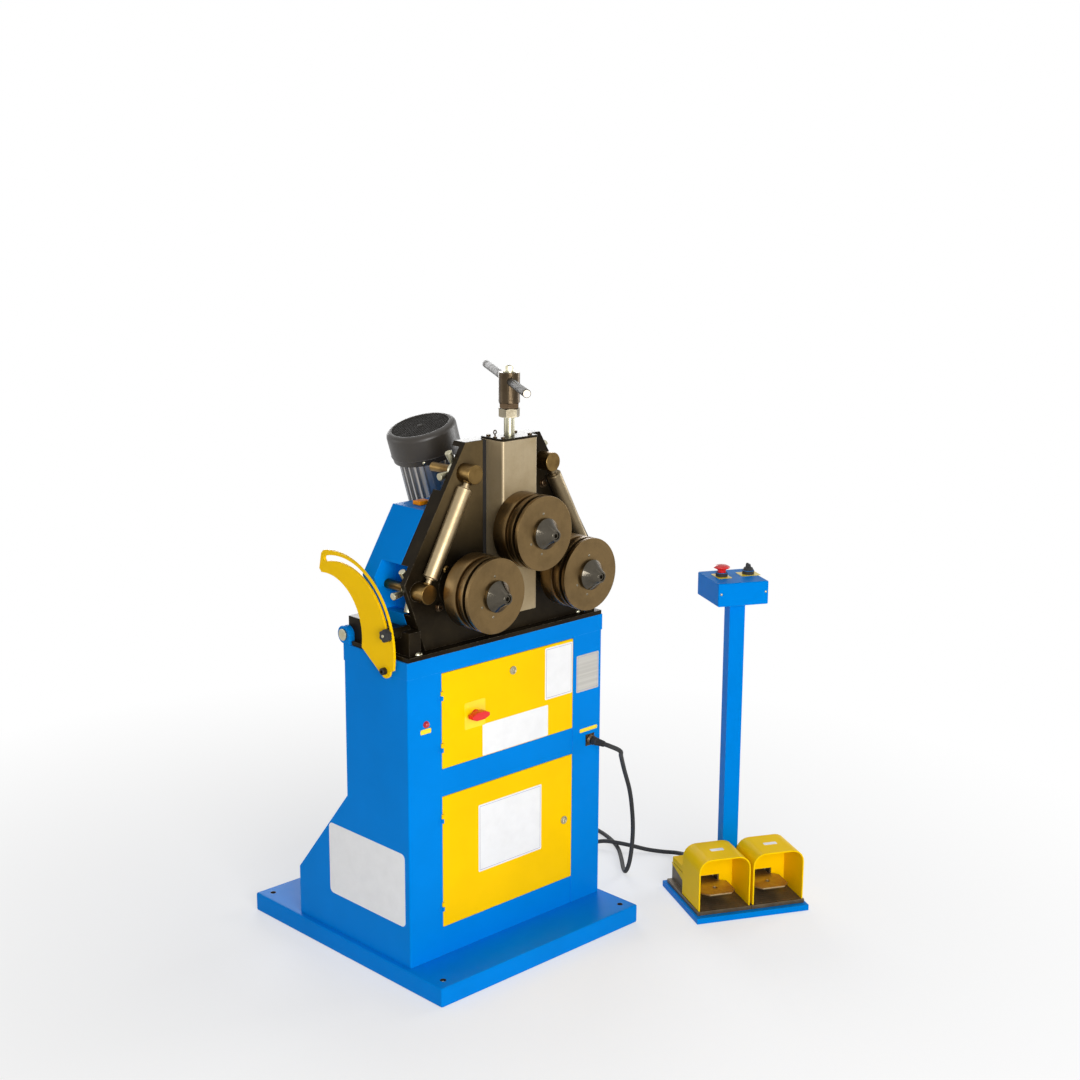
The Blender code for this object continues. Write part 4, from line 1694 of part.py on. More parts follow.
def build_head():
    head = pivot("tilt_axis", (0, PIN_Y, PIN_Z))
    head_base(head)
    front_frame(head)
    rear_plate(head)
    rear_cover(head)
    gearbox(head)
    motor_body(head)
    motor_cowl(head)
    slide_housing(head)
    housing_cap(head)
    motor_fan(pivot("motor_axis", motor_point(0.0), head))
    drive_pinion(pivot("pinion_axis", (0, GEAR_FRONT, LOWER_ROLL_Z), head))
    tilt_clamp_knob(pivot("clamp_axis", (QUADRANT_X, KNOB_Y, KNOB_Z), head))
    for label, side in (("left", -1), ("right", 1)):
        x = side * ROLL_SPREAD
        spin = pivot(f"{label}_roll_axis", (x, ROLL_REAR, LOWER_ROLL_Z), head)
        drive_shaft(f"{label}_drive_shaft", side, spin)
        roll(f"{label}_roll", x, LOWER_ROLL_Z, spin)
        roll_nut(f"{label}_roll_nut", x, LOWER_ROLL_Z, spin)
        upper, lower = guide_ends(side)
        guide = pivot(f"{label}_guide_slide", upper, head)
        for row, place, partner in (("upper", upper, lower), ("lower", lower, upper)):
            guide_stud(f"{label}_{row}_stud", place.x, place.z, partner, guide)
            turn = pivot(f"{label}_{row}_capstan_axis", (place.x, CAPSTAN_FRONT, place.z), head)
            capstan(f"{label}_{row}_capstan", place.x, place.z, turn)
        guide_roller(f"{label}_guide_roller", side,
                     pivot(f"{label}_guide_axis", (upper + lower) / 2, guide))
    carriage = pivot("carriage_slide", (0, SCREW_Y, TOP_ROLL_Z), head)
    slide_block(carriage)
    spin = pivot("top_roll_axis", (0, ROLL_REAR, TOP_ROLL_Z), carriage)
    top_shaft(spin)
    roll("top_roll", 0, TOP_ROLL_Z, spin)
    roll_nut("top_roll_nut", 0, TOP_ROLL_Z, spin)
    turn = pivot("screw_axis", (0, SCREW_Y, SLIDE_TOP), carriage)
    press_screw(turn)
    handle_hub(turn)
    tee_bar(turn)


def build_console():
    placed = console_frame()
    console = pivot("console_place", (0, 0, 0), None, placed)
    console_stand(console)
    console_box(console)
    estop_button(pivot("estop_slide", (ESTOP_A, ESTOP_B, BOX_TOP), console, placed))
    selector_knob(pivot("selector_axis", (SELECTOR_A, SELECTOR_B, BOX_TOP), console, placed))
    for label, side in (("left", -1), ("right", 1)):
        pedal_base(f"{label}_pedal_base", side, console)
        pedal_guard(f"{label}_pedal_guard", side, console)
        pedal(f"{label}_pedal", side,
              pivot(f"{label}_pedal_axis", (side * UNIT_SPREAD, PEDAL_AXIS_B, PEDAL_AXIS_Z),
                    console, placed))


remove_everything()
WORLD_FRAMES = {}
LOCAL_FRAMES = {}
PARTS = make_collection("ring_roller")
CUTTERS = make_collection("cutters")
build_stand()
build_head()
build_console()
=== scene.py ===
"""Fine surfaces and finishes of a three-roll ring roller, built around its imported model.

Metres, +Z up, front towards -Y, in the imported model's frame. The file is laid out as an
add-on and is run as a script: it makes every piece and the stage, one operator at a time.
"""
from math import ceil, cos, pi, radians, sin, sqrt, tan

import bmesh
import bpy
from mathutils import Matrix, Vector


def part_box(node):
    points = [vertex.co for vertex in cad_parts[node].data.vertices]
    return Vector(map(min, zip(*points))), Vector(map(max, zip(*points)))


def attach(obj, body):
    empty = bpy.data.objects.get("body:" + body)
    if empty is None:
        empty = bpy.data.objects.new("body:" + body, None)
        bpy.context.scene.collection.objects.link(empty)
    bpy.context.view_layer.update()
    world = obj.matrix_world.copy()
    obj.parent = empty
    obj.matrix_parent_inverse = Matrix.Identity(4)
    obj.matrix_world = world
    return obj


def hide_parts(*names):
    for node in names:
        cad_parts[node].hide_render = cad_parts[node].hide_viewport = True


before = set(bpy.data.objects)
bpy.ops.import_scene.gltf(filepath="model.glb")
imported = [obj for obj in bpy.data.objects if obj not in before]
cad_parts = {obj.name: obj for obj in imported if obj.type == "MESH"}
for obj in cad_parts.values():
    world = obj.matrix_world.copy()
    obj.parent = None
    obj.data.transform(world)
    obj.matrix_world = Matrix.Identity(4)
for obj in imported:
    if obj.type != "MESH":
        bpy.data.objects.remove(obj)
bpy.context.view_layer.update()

bl_info = {
    "name": "Ring Roller Finish",
    "version": (1, 0, 0),
    "blender": (4, 5, 0),
    "location": "View3D > Sidebar > Ring Roller",
    "description": "Fine surfaces and finishes of a three-roll ring roller",
    "category": "Object",
}

# Camera, solved from the photograph's straight edges
CAMERA_PLACE = (-2.542, -2.922, 1.808)
CAMERA_YAW = radians(44.346)
CAMERA_PITCH = radians(12.673)
CAMERA_ROLL = radians(0.324)
CAMERA_LENS = 57.11
CAMERA_SENSOR = 36.0

# Shared shape settings
WELD = 0.00001
FLAT_ANGLE = radians(0.5)
SHARP_ANGLE = radians(32)
ROUND_STEPS = 96
SMALL_STEPS = 40
TINY_STEPS = 24
FINE_EDGE = 0.0006
SOFT_EDGE = 0.0012
HEX_STEPS = 48
HEX_CHAMFER = radians(28)
SCREW_CROWN = 0.88
SCREW_SHOULDER = 0.12

# Cabinet, doors and what is on them
CABINET_HALF = 0.298
CABINET_FRONT = -0.225
CABINET_REAR = -0.009
CABINET_FOOT_REAR = 0.179
CABINET_SLOPE_TOP = 0.393
CABINET_SLOPE_FOOT = 0.164
CABINET_FLOOR = 0.0465
BAND_LOW = 0.712
SIDE_SHEET = 0.0012
SIDE_FOLD = 0.004
COLUMN_INNER = 0.2042
DOOR_HALF = 0.203
DOOR_PROUD = 0.0018
DOOR_DEPTH = 0.018
DOOR_EDGE = 0.0018
LABEL_SHEET = 0.0006
LABEL_CORNER = 0.003
SIDE_LABEL = (-0.074, 0.224)
SIDE_LABEL_HALF = (0.135, 0.086)
LOCK_PROUD = 0.004
SWITCH_PLACE = (-0.107, 0.595)
SWITCH_PLATE_HALF = 0.031
ANCHOR_INSET = 0.030
LAMP_PLACE = (-0.249, 0.603)
LAMP_FACE = -0.2253

# Door hinges: their heights from the door's two ends, and the barrels' place
LOWER_HINGE = 0.040
UPPER_HINGE = 0.060
HINGE_BARREL = (-0.2046, -0.2285)

# Hinge rod of the head, tilt quadrant and its knob
HINGE_PIN = (-0.008, 0.770)
HINGE_HALF = 0.304
HINGE_RADIUS = 0.0135
QUADRANT_X = -0.304
QUADRANT_SHEET = 0.006
QUADRANT_OUTSIDE = QUADRANT_X - QUADRANT_SHEET - 0.0003
QUADRANT_OUTER = 0.199
QUADRANT_INNER = 0.123
QUADRANT_SLOT = 0.173
QUADRANT_SLOT_HALF = 0.0063
QUADRANT_TIP = 0.008
QUADRANT_FOOT = (-0.164, 0.723)
KNOB_LENGTH = 0.0150

# Head
FRAME_FRONT = -0.205
HEAD_FLANGE_TOP = 0.760
FLANGE_BOLTS = ((-0.258, -0.211), (0.248, -0.194))
FRAME_SCREWS = ((-0.192, 0.8515), (0.1206, 1.085))
STOP_BOLT = (-0.180, 0.9356)
COVER_REAR = -0.062
COVER_SCREWS = ((0.20, 0.80), (0.15, 1.03), (0.225, 0.90))
COVER_CLIP = (-0.158, -0.112, 1.065)

# Slide housing and the top roll's screw
HOUSING_HALF = 0.052
HOUSING_FRONT = -0.259
HOUSING_REAR = -0.187
HOUSING_LOW = 0.8173
HOUSING_HIGH = 1.204
HOUSING_WALL = 0.014
HOUSING_CORNER = 0.006
HOUSING_SLOT_HALF = 0.0245
HOUSING_SLOT_LOW = 0.9525
HOUSING_SLOT_HIGH = 1.0715
HOUSING_SHADOW_STRIP = (0.0524, 0.0620)
EYE_PLACE = (-0.046, -0.227)
SCREW_Y = -0.223
SCREW_RADIUS = 0.0118
THREAD_TOP = 1.2030
NUT_STACK = 1.2497
HUB_TOP = 1.348
GRUB_Z = 1.2915
BAR_HALF = 0.2605
BAR_SHIFT = 0.052
BAR_Z = 1.3286
BAR_HEADING = radians(-123.3)

# Rolls
ROLL_SPREAD = 0.143
LOWER_ROLL_Z = 0.892
TOP_ROLL_Z = 1.007
ROLL_RADIUS = 0.0825
ROLL_FACE = -0.3372
ROLL_CHAMFER = 0.0013
SHAFT_RADIUS = 0.0225
PIN_CIRCLE = 0.045
PIN_RADIUS = 0.0030
PIN_TURNS = (97, 203, 257)

# Motor and gearbox
MOTOR_TOP = (-0.057, 0.010, 1.211)
MOTOR_LEAN = radians(17)
GEARBOX_DEPTH = 0.137
GEARBOX_RIBS = 5
GEARBOX_RIB_HALF = 0.068
GEARBOX_RIB_LOW = 0.825
GEARBOX_RIB_PITCH = 0.032
GEARBOX_BOLT_HALF = 0.072
GEARBOX_BOLT_HEIGHTS = (0.805, 0.972)
GEARBOX_PLUG = (0.085, 0.005, 0.830)
COWL_RADIUS = 0.081
COWL_MOUTH = 0.078
COWL_HEIGHT = 0.070
GRILLE_RADIUS = 0.0665
MOTOR_CORE = 0.060
MOTOR_FIN = 0.068
MOTOR_LENGTH = 0.125
TERMINAL_TURN = radians(-45)
TERMINAL_HALF = 0.0425
TERMINAL_LOW = 0.031
TERMINAL_HEIGHT = 0.075
TERMINAL_LID = 0.0015

# Guides
STUD_RADIUS = 0.0215
STUD_FRONT = -0.243
STUD_REAR = -0.191
STUD_NECK_RADIUS = 0.011
STUD_NECK_REAR = -0.104
UPPER_STUD = (0.117, 1.138)
LOWER_STUD = (0.250, 0.896)
GUIDE_Y = -0.226
GUIDE_RADIUS = 0.017
CAPSTAN_FRONT = -0.1893
CAPSTAN_LENGTH = 0.019
CAPSTAN_HUB = 0.019
CAPSTAN_REACH = 0.050
SPOKES = 5
SPOKE_TURN = radians(45)

# Console, turned on the floor
CONSOLE_PLACE = (0.5904, -0.419, 0.0)
CONSOLE_TURN = radians(-27.5)
BOX_A = -0.015
BOX_B = 0.036
BOX_HALF_A = 0.0645
BOX_HALF_B = 0.0665
BOX_LOW = 0.763
BOX_TOP = 0.820
ESTOP = (-0.042, 0.043)
SELECTOR = (0.029, 0.047)
UNIT_SPREAD = 0.0705
STAND_TOP = 0.015
PEDAL_AXIS = 0.052
GUARD_HALF = 0.0572
GUARD_SHEET = 0.0012
TRAY_RIBS = 9
TRAY_RIB_START = -0.094
TRAY_RIB_PITCH = 0.0105

# Control cable, its route repeated from the part's source
CABLE_RADIUS = 0.0055
CABLE_STRAIGHT = 2 * CABLE_RADIUS
CABLE_FLOOR = 0.0058
CABLE_OVER = 0.0177
CABLE_POINTS = 300
SOCKET = (0.262, 0.447)
SOCKET_FACE = -0.2253
SOCKET_LENGTH = 0.014
PLUG_START = -0.2396
PLUG_LENGTH = 0.034
CABLE_START = -0.2739
GLAND_Z = 0.047
GLAND_END = 0.117


class FinishColours(bpy.types.PropertyGroup):
    """The colours that a user would change."""
    blue: bpy.props.FloatVectorProperty(
        name="Cabinet blue", description="Enamel of the cabinet, base, cover and console",
        subtype="COLOR", size=3, min=0, max=1, default=(0.0, 0.22, 0.71))
    yellow: bpy.props.FloatVectorProperty(
        name="Door yellow", description="Enamel of the doors and the tilt quadrant",
        subtype="COLOR", size=3, min=0, max=1, default=(1.0, 0.60, 0.0))
    guard: bpy.props.FloatVectorProperty(
        name="Guard yellow", description="Painted pedal guards",
        subtype="COLOR", size=3, min=0, max=1, default=(1.0, 0.63, 0.001))
    black: bpy.props.FloatVectorProperty(
        name="Head black", description="Enamel of the head's castings",
        subtype="COLOR", size=3, min=0, max=1, default=(0.008, 0.0055, 0.003))
    roll: bpy.props.FloatVectorProperty(
        name="Roll steel", description="Oiled, turned steel of the rolls",
        subtype="COLOR", size=3, min=0, max=1, default=(0.20, 0.130, 0.055))
    housing: bpy.props.FloatVectorProperty(
        name="Housing steel", description="Ground steel of the slide housing",
        subtype="COLOR", size=3, min=0, max=1, default=(0.40, 0.315, 0.19))
    guide: bpy.props.FloatVectorProperty(
        name="Guide steel", description="Turned steel of the guide rollers",
        subtype="COLOR", size=3, min=0, max=1, default=(0.42, 0.325, 0.19))
    bronze: bpy.props.FloatVectorProperty(
        name="Stud bronze", description="Oil-browned guide studs",
        subtype="COLOR", size=3, min=0, max=1, default=(0.20, 0.125, 0.042))
    zinc: bpy.props.FloatVectorProperty(
        name="Zinc", description="Plated screws, spoked nuts, locks and the hinge rod",
        subtype="COLOR", size=3, min=0, max=1, default=(0.46, 0.44, 0.33))
    dark_steel: bpy.props.FloatVectorProperty(
        name="Dark steel", description="Blackened tee bar, quadrant screw and anchor hole rims",
        subtype="COLOR", size=3, min=0, max=1, default=(0.020, 0.016, 0.011))
    motor: bpy.props.FloatVectorProperty(
        name="Motor silver", description="Cast aluminium of the motor",
        subtype="COLOR", size=3, min=0, max=1, default=(0.70, 0.64, 0.55))
    red: bpy.props.FloatVectorProperty(
        name="Signal red", description="Main switch and stop button",
        subtype="COLOR", size=3, min=0, max=1, default=(0.85, 0.008, 0.006))
    label: bpy.props.FloatVectorProperty(
        name="Label white", description="Blank labels",
        subtype="COLOR", size=3, min=0, max=1, default=(0.86, 0.86, 0.86))


class FinishSizes(bpy.types.PropertyGroup):
    """The sizes and counts that a user would change."""
    # Scales the worn edges, which also carry a painted highlight
    wear: bpy.props.FloatProperty(
        name="Edge wear", description="How far the paint is worn on its edges",
        subtype="FACTOR", min=0, max=1, default=0.5)
    fins: bpy.props.IntProperty(
        name="Motor fins", description="Cooling fins round the motor", min=8, max=60,
        default=24)
    grille_pitch: bpy.props.FloatProperty(
        name="Grille pitch", description="Distance between the cowl's grille wires",
        unit="LENGTH", min=0.002, max=0.02, default=0.0042)
    light_level: bpy.props.FloatProperty(
        name="Light level", description="Strength of all the lamps together",
        subtype="FACTOR", min=0, max=2, default=1.0)


def colours():
    return bpy.context.scene.ring_roller_colours


def sizes():
    return bpy.context.scene.ring_roller_sizes


# Shapes: most functions return a bmesh, which moved() places and piece() joins

def block(low, high, edge=0.0, segments=3, along=None):
    """A box between two corners; its edges are rounded, or only those along one axis."""
    low = Vector(low)
    high = Vector(high)
    bm = bmesh.new()
    bmesh.ops.create_cube(bm, size=1.0)
    bmesh.ops.scale(bm, vec=high - low, verts=bm.verts)
    bmesh.ops.translate(bm, vec=(low + high) / 2, verts=bm.verts)
    if edge:
        edges = bm.edges[:]
        if along is not None:
            edges = [e for e in edges
                     if abs((e.verts[1].co - e.verts[0].co).normalized()[along]) > 0.9]
        round_edges(bm, edges, edge, segments)
    return bm


def round_edges(bm, edges, width, segments=2):
    bmesh.ops.bevel(bm, geom=edges, offset=width, offset_type="OFFSET", segments=segments,
                    profile=0.5, affect="EDGES", clamp_overlap=True, material=-1)


def soften(bm, width, segments=2, shortest=0.0):
    """Round every edge that is sharper than the sharp angle and long enough."""
    edges = [e for e in bm.edges if e.is_manifold and e.calc_face_angle() > SHARP_ANGLE
             and e.calc_length() > shortest]
    round_edges(bm, edges, width, segments)
    return bm


def turned(profile, edge=0.0, steps=ROUND_STEPS, segments=2):
    """A lathe shape about +Z from (radius, height) points, top to bottom."""
    bm = bmesh.new()
    verts = [bm.verts.new((radius, 0, height)) for radius, height in profile]
    edges = [bm.edges.new(pair) for pair in zip(verts, verts[1:])]
    if profile[0][0] > WELD and profile[-1][0] > WELD:
        edges.append(bm.edges.new((verts[-1], verts[0])))
    bmesh.ops.spin(bm, geom=verts + edges, cent=(0, 0, 0), axis=(0, 0, 1), dvec=(0, 0, 0),
                   angle=2 * pi, steps=steps, use_merge=True)
    bmesh.ops.remove_doubles(bm, verts=bm.verts[:], dist=WELD)
    bmesh.ops.recalc_face_normals(bm, faces=bm.faces[:])
    if edge:
        soften(bm, edge, segments)
    return bm


def rod(radius, length, edge=0.0, steps=TINY_STEPS, start=0.0):
    """A plain cylinder about +Z, from its start upwards."""
    return turned([(0.0, start + length), (radius, start + length), (radius, start),
                   (0.0, start)], edge, steps)


def circle(radius, steps=SMALL_STEPS, centre=(0.0, 0.0)):
    turns = [2 * pi * i / steps for i in range(steps)]
    return [(centre[0] + radius * cos(t), centre[1] + radius * sin(t)) for t in turns]


def arc(centre, radius, start, end, steps):
    """Points on an arc; angle zero is towards the front and turns upwards."""
    turns = [start + (end - start) * i / steps for i in range(steps + 1)]
    return [(centre[0] - radius * cos(t), centre[1] + radius * sin(t)) for t in turns]


def signed_area(points):
    return sum(a[0] * b[1] - b[0] * a[1] for a, b in zip(points, [*points[1:], points[0]])) / 2


def plate(outline, thickness, edge=0.0, holes=()):
    """A flat outline with real holes and rounded rims, from z 0 up to its thickness."""
    curve = bpy.data.curves.new("plate", "CURVE")
    curve.dimensions = "2D"
    curve.fill_mode = "BOTH"
    curve.extrude = thickness / 2 - edge
    curve.bevel_depth = edge
    curve.bevel_resolution = 1
    curve.offset = -edge
    for index, points in enumerate((outline, *holes)):
        wanted = -1 if index == 0 else 1
        if signed_area(points) * wanted < 0:
            points = points[::-1]
        spline = curve.splines.new("POLY")
        spline.points.add(len(points) - 1)
        for point, (u, v) in zip(spline.points, points):
            point.co = (u, v, 0, 1)
        spline.use_cyclic_u = True
    obj = bpy.data.objects.new("plate", curve)
    bpy.context.scene.collection.objects.link(obj)
    mesh = bpy.data.meshes.new_from_object(
        obj.evaluated_get(bpy.context.evaluated_depsgraph_get()))
    bpy.data.objects.remove(obj, do_unlink=True)
    bm = bmesh.new()
    bm.from_mesh(mesh)
    bpy.data.meshes.remove(mesh)
    bmesh.ops.remove_doubles(bm, verts=bm.verts[:], dist=WELD)
    bmesh.ops.recalc_face_normals(bm, faces=bm.faces[:])
    bmesh.ops.translate(bm, vec=(0, 0, thickness / 2), verts=bm.verts)
    return bm


def socket_screw(radius, height, socket, depth):
    """A cap screw's head with a six-sided socket, standing on z 0."""
    bm = bmesh.new()
    rim = bmesh.ops.create_circle(bm, segments=TINY_STEPS, radius=radius * SCREW_CROWN)["verts"]
    bmesh.ops.translate(bm, vec=(0, 0, height), verts=rim)
    rim_edges = list({e for v in rim for e in v.link_edges})
    inner = bmesh.ops.create_circle(bm, segments=6, radius=socket)["verts"]
    bmesh.ops.translate(bm, vec=(0, 0, height), verts=inner)
    inner_edges = list({e for v in inner for e in v.link_edges})
    bmesh.ops.bridge_loops(bm, edges=rim_edges + inner_edges)
    for edges, drop, grow in ((inner_edges, depth, 1.0),
                              (rim_edges, height * SCREW_SHOULDER, 1 / SCREW_CROWN)):
        made = bmesh.ops.extrude_edge_only(bm, edges=edges)["geom"]
        verts = [g for g in made if isinstance(g, bmesh.types.BMVert)]
        bmesh.ops.translate(bm, vec=(0, 0, -drop), verts=verts)
        bmesh.ops.scale(bm, vec=(grow, grow, 1), verts=verts)
        if edges is inner_edges:
            bmesh.ops.contextual_create(bm, geom=verts)
        else:
            lower = [g for g in made if isinstance(g, bmesh.types.BMEdge)
                     and all(v in verts for v in g.verts)]
            down = bmesh.ops.extrude_edge_only(bm, edges=lower)["geom"]
            foot = [g for g in down if isinstance(g, bmesh.types.BMVert)]
            bmesh.ops.translate(bm, vec=(0, 0, drop - height), verts=foot)
            bmesh.ops.contextual_create(bm, geom=foot)
    bmesh.ops.recalc_face_normals(bm, faces=bm.faces[:])
    return bm


def hexagon(across_flats, height, chamfer=0.0012):
    """A hexagon nut or head on z 0 whose corners are turned down at both ends."""
    bm = bmesh.new()
    bmesh.ops.create_cone(bm, cap_ends=True, segments=HEX_STEPS, radius1=1.0, radius2=1.0,
                          depth=height)
    bmesh.ops.translate(bm, vec=(0, 0, height / 2), verts=bm.verts)
    flat = across_flats / 2
    for vert in bm.verts:
        turn = round((Vector((vert.co.x, vert.co.y)).angle_signed(Vector((1, 0)))
                      if vert.co.xy.length else 0.0) / (2 * pi) * HEX_STEPS)
        turn *= 2 * pi / HEX_STEPS
        spread = (turn + pi / 6) % (pi / 3) - pi / 6
        reach = flat / cos(spread)
        drop = (reach - flat) * tan(HEX_CHAMFER) + chamfer * 0.1
        vert.co.x = reach * cos(-turn)
        vert.co.y = reach * sin(-turn)
        vert.co.z += -drop if vert.co.z > height / 2 else drop
    for face in [f for f in bm.faces if len(f.verts) > 4]:
        level = height if face.normal.z > 0 else 0.0
        bmesh.ops.inset_individual(bm, faces=[face], thickness=chamfer)
        for vert in face.verts:
            vert.co.z = level
    bmesh.ops.recalc_face_normals(bm, faces=bm.faces[:])
    return bm


def dome(radius, height, steps=TINY_STEPS):
    """A low domed screw head on z 0."""
    rings = [(radius * sin(pi / 2 * i / 6), height * cos(pi / 2 * i / 6)) for i in range(7)]
    rings[0] = (0.0, height)
    return turned([*rings, (0.0, 0.0)], steps=steps)


def cad_copy(node, edge=0.0, segments=2, shortest=0.006):
    """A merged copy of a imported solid, its long sharp edges rounded."""
    bm = bmesh.new()
    bm.from_mesh(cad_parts[node].data)
    bmesh.ops.remove_doubles(bm, verts=bm.verts[:], dist=WELD)
    bmesh.ops.dissolve_limit(bm, angle_limit=FLAT_ANGLE, verts=bm.verts[:], edges=bm.edges[:])
    if edge:
        soften(bm, edge, segments, shortest)
    return bm


def moved(bm, matrix):
    bmesh.ops.transform(bm, matrix=matrix, verts=bm.verts)
    if matrix.determinant() < 0:
        bmesh.ops.reverse_faces(bm, faces=bm.faces[:])
    return bm


def at(x, y, z):
    return Matrix.Translation((x, y, z))


def towards(place, direction, turn=0.0):
    """A frame at a place whose +Z runs in the direction."""
    aim = Vector((0, 0, 1)).rotation_difference(Vector(direction).normalized())
    return at(*place) @ aim.to_matrix().to_4x4() @ Matrix.Rotation(turn, 4, "Z")


def front(x, z, y=0.0, turn=0.0):
    """A frame whose +Z comes out towards the front, with X to the right and Y up."""
    upright = Matrix(((1, 0, 0, x), (0, 0, -1, y), (0, 1, 0, z), (0, 0, 0, 1)))
    return upright @ Matrix.Rotation(turn, 4, "Z")


def left_side(y, z, x):
    """A frame whose +Z comes out towards -X, drawn in (y, z) seen from the right."""
    return Matrix(((0, 0, -1, x), (1, 0, 0, y), (0, 1, 0, z), (0, 0, 0, 1)))


def console():
    return at(*CONSOLE_PLACE) @ Matrix.Rotation(CONSOLE_TURN, 4, "Z")


def motor_up():
    return Vector((-sin(MOTOR_LEAN), 0, cos(MOTOR_LEAN)))


def motor_frame(below_top):
    place = Vector(MOTOR_TOP) - motor_up() * below_top
    return towards(place, motor_up())


def piece(name, shapes, finish, body, stands_for=()):
    """Join the shapes into one object at the origin and hang it on its CAD body.

    The finish is a name that finish_named knows, or a material of the piece's own.
    """
    bm = bmesh.new()
    for shape in shapes:
        mesh = bpy.data.meshes.new("shape")
        shape.to_mesh(mesh)
        shape.free()
        bm.from_mesh(mesh)
        bpy.data.meshes.remove(mesh)
    mesh = bpy.data.meshes.new(name)
    bm.to_mesh(mesh)
    bm.free()
    mesh.shade_smooth()
    mesh.set_sharp_from_angle(angle=SHARP_ANGLE)
    obj = bpy.data.objects.new(name, mesh)
    bpy.context.scene.collection.objects.link(obj)
    mesh.materials.append(finish_named(finish) if isinstance(finish, str) else finish)
    weighted = obj.modifiers.new("flat faces stay flat", "WEIGHTED_NORMAL")
    weighted.keep_sharp = True
    if stands_for:
        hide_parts(*stands_for)
    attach(obj, body)
    return obj


def carry(node, finish):
    """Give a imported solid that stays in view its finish."""
    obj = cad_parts[node]
    obj.data.materials.clear()
    obj.data.materials.append(finish_named(finish))


# Shader groups: effects that several finishes share

def new_group(name, inputs, outputs):
    """A new group's tree with its input and output nodes; a tuple makes a vector input."""
    tree = bpy.data.node_groups.new(name, "ShaderNodeTree")
    for label, value in inputs.items():
        kind = "NodeSocketVector" if isinstance(value, tuple) else "NodeSocketFloat"
        socket = tree.interface.new_socket(name=label, in_out="INPUT", socket_type=kind)
        socket.default_value = value
    for label in outputs:
        tree.interface.new_socket(name=label, in_out="OUTPUT", socket_type="NodeSocketFloat")
    return tree, tree.nodes.new("NodeGroupInput"), tree.nodes.new("NodeGroupOutput")


def add_math(tree, operation, first, second=None, third=None, clamp=False):
    made = tree.nodes.new("ShaderNodeMath")
    made.operation = operation
    made.use_clamp = clamp
    for socket, value in zip(made.inputs, (first, second, third)):
        if value is None:
            continue
        if isinstance(value, (int, float)):
            socket.default_value = value
        else:
            tree.links.new(value, socket)
    return made.outputs[0]


def add_range(tree, value, low, high, to_low=0.0, to_high=1.0):
    made = tree.nodes.new("ShaderNodeMapRange")
    tree.links.new(value, made.inputs["Value"])
    for label, number in (("From Min", low), ("From Max", high), ("To Min", to_low),
                          ("To Max", to_high)):
        made.inputs[label].default_value = number
    return made.outputs["Result"]


def add_noise(tree, scale, detail=2.0, roughness=0.5, vector=None):
    made = tree.nodes.new("ShaderNodeTexNoise")
    made.inputs["Detail"].default_value = detail
    made.inputs["Roughness"].default_value = roughness
    if isinstance(scale, (int, float)):
        made.inputs["Scale"].default_value = scale
    else:
        tree.links.new(scale, made.inputs["Scale"])
    if vector is None:
        vector = tree.nodes.new("ShaderNodeTexCoord").outputs["Object"]
    tree.links.new(vector, made.inputs["Vector"])
    return made.outputs["Fac"]


def edge_wear_and_highlight_group():
    """A mask along convex and concave edges, broken up by noise, for worn paint and a painted
    edge highlight.
    """
    tree, entry, end = new_group(
        "Edge wear", {"Radius": 0.0015, "Breakup": 120.0, "Amount": 0.5}, ["Mask"])
    rounded = tree.nodes.new("ShaderNodeBevel")
    rounded.samples = 4
    tree.links.new(entry.outputs["Radius"], rounded.inputs["Radius"])
    geometry = tree.nodes.new("ShaderNodeNewGeometry")
    dot = tree.nodes.new("ShaderNodeVectorMath")
    dot.operation = "DOT_PRODUCT"
    tree.links.new(rounded.outputs["Normal"], dot.inputs[0])
    tree.links.new(geometry.outputs["Normal"], dot.inputs[1])
    edge = add_range(tree, dot.outputs["Value"], 0.995, 0.90)
    breakup = add_range(tree, add_noise(tree, entry.outputs["Breakup"], 4.0, 0.65), 0.40, 0.62)
    worn = add_math(tree, "MULTIPLY", edge, breakup)
    tree.links.new(add_math(tree, "MULTIPLY", worn, entry.outputs["Amount"], clamp=True),
                   end.inputs["Mask"])
    return tree


def paint_film_group():
    """Orange peel, and the slow drift in shade and gloss of sprayed enamel."""
    tree, entry, end = new_group("Paint film", {"Peel": 420.0, "Drift": 5.0},
                                 ["Height", "Shade", "Gloss"])
    tree.links.new(add_noise(tree, entry.outputs["Peel"], 2.0), end.inputs["Height"])
    drift = add_noise(tree, entry.outputs["Drift"], 4.0, 0.6)
    tree.links.new(add_range(tree, drift, 0.35, 0.70), end.inputs["Shade"])
    tree.links.new(add_noise(tree, 38.0, 5.0, 0.7), end.inputs["Gloss"])
    return tree


def turning_group():
    """Fine rings about the Z axis of the vector, on faces and round rims alike."""
    tree, entry, end = new_group("Turning marks", {"Vector": (0, 0, 0), "Pitch": 0.0006},
                                 ["Height", "Shade"])
    split = tree.nodes.new("ShaderNodeSeparateXYZ")
    tree.links.new(entry.outputs["Vector"], split.inputs[0])
    across = add_math(tree, "POWER", split.outputs["X"], 2)
    upward = add_math(tree, "POWER", split.outputs["Y"], 2)
    radius = add_math(tree, "SQRT", add_math(tree, "ADD", across, upward))
    joined = tree.nodes.new("ShaderNodeCombineXYZ")
    tree.links.new(add_math(tree, "DIVIDE", radius, entry.outputs["Pitch"]), joined.inputs["X"])
    tree.links.new(add_math(tree, "DIVIDE", split.outputs["Z"], entry.outputs["Pitch"]),
                   joined.inputs["Y"])
    tree.links.new(add_noise(tree, 1.0, 1.0, vector=joined.outputs[0]), end.inputs["Height"])
    wide = add_noise(tree, 0.12, 3.0, vector=joined.outputs[0])
    tree.links.new(add_range(tree, wide, 0.35, 0.65), end.inputs["Shade"])
    return tree


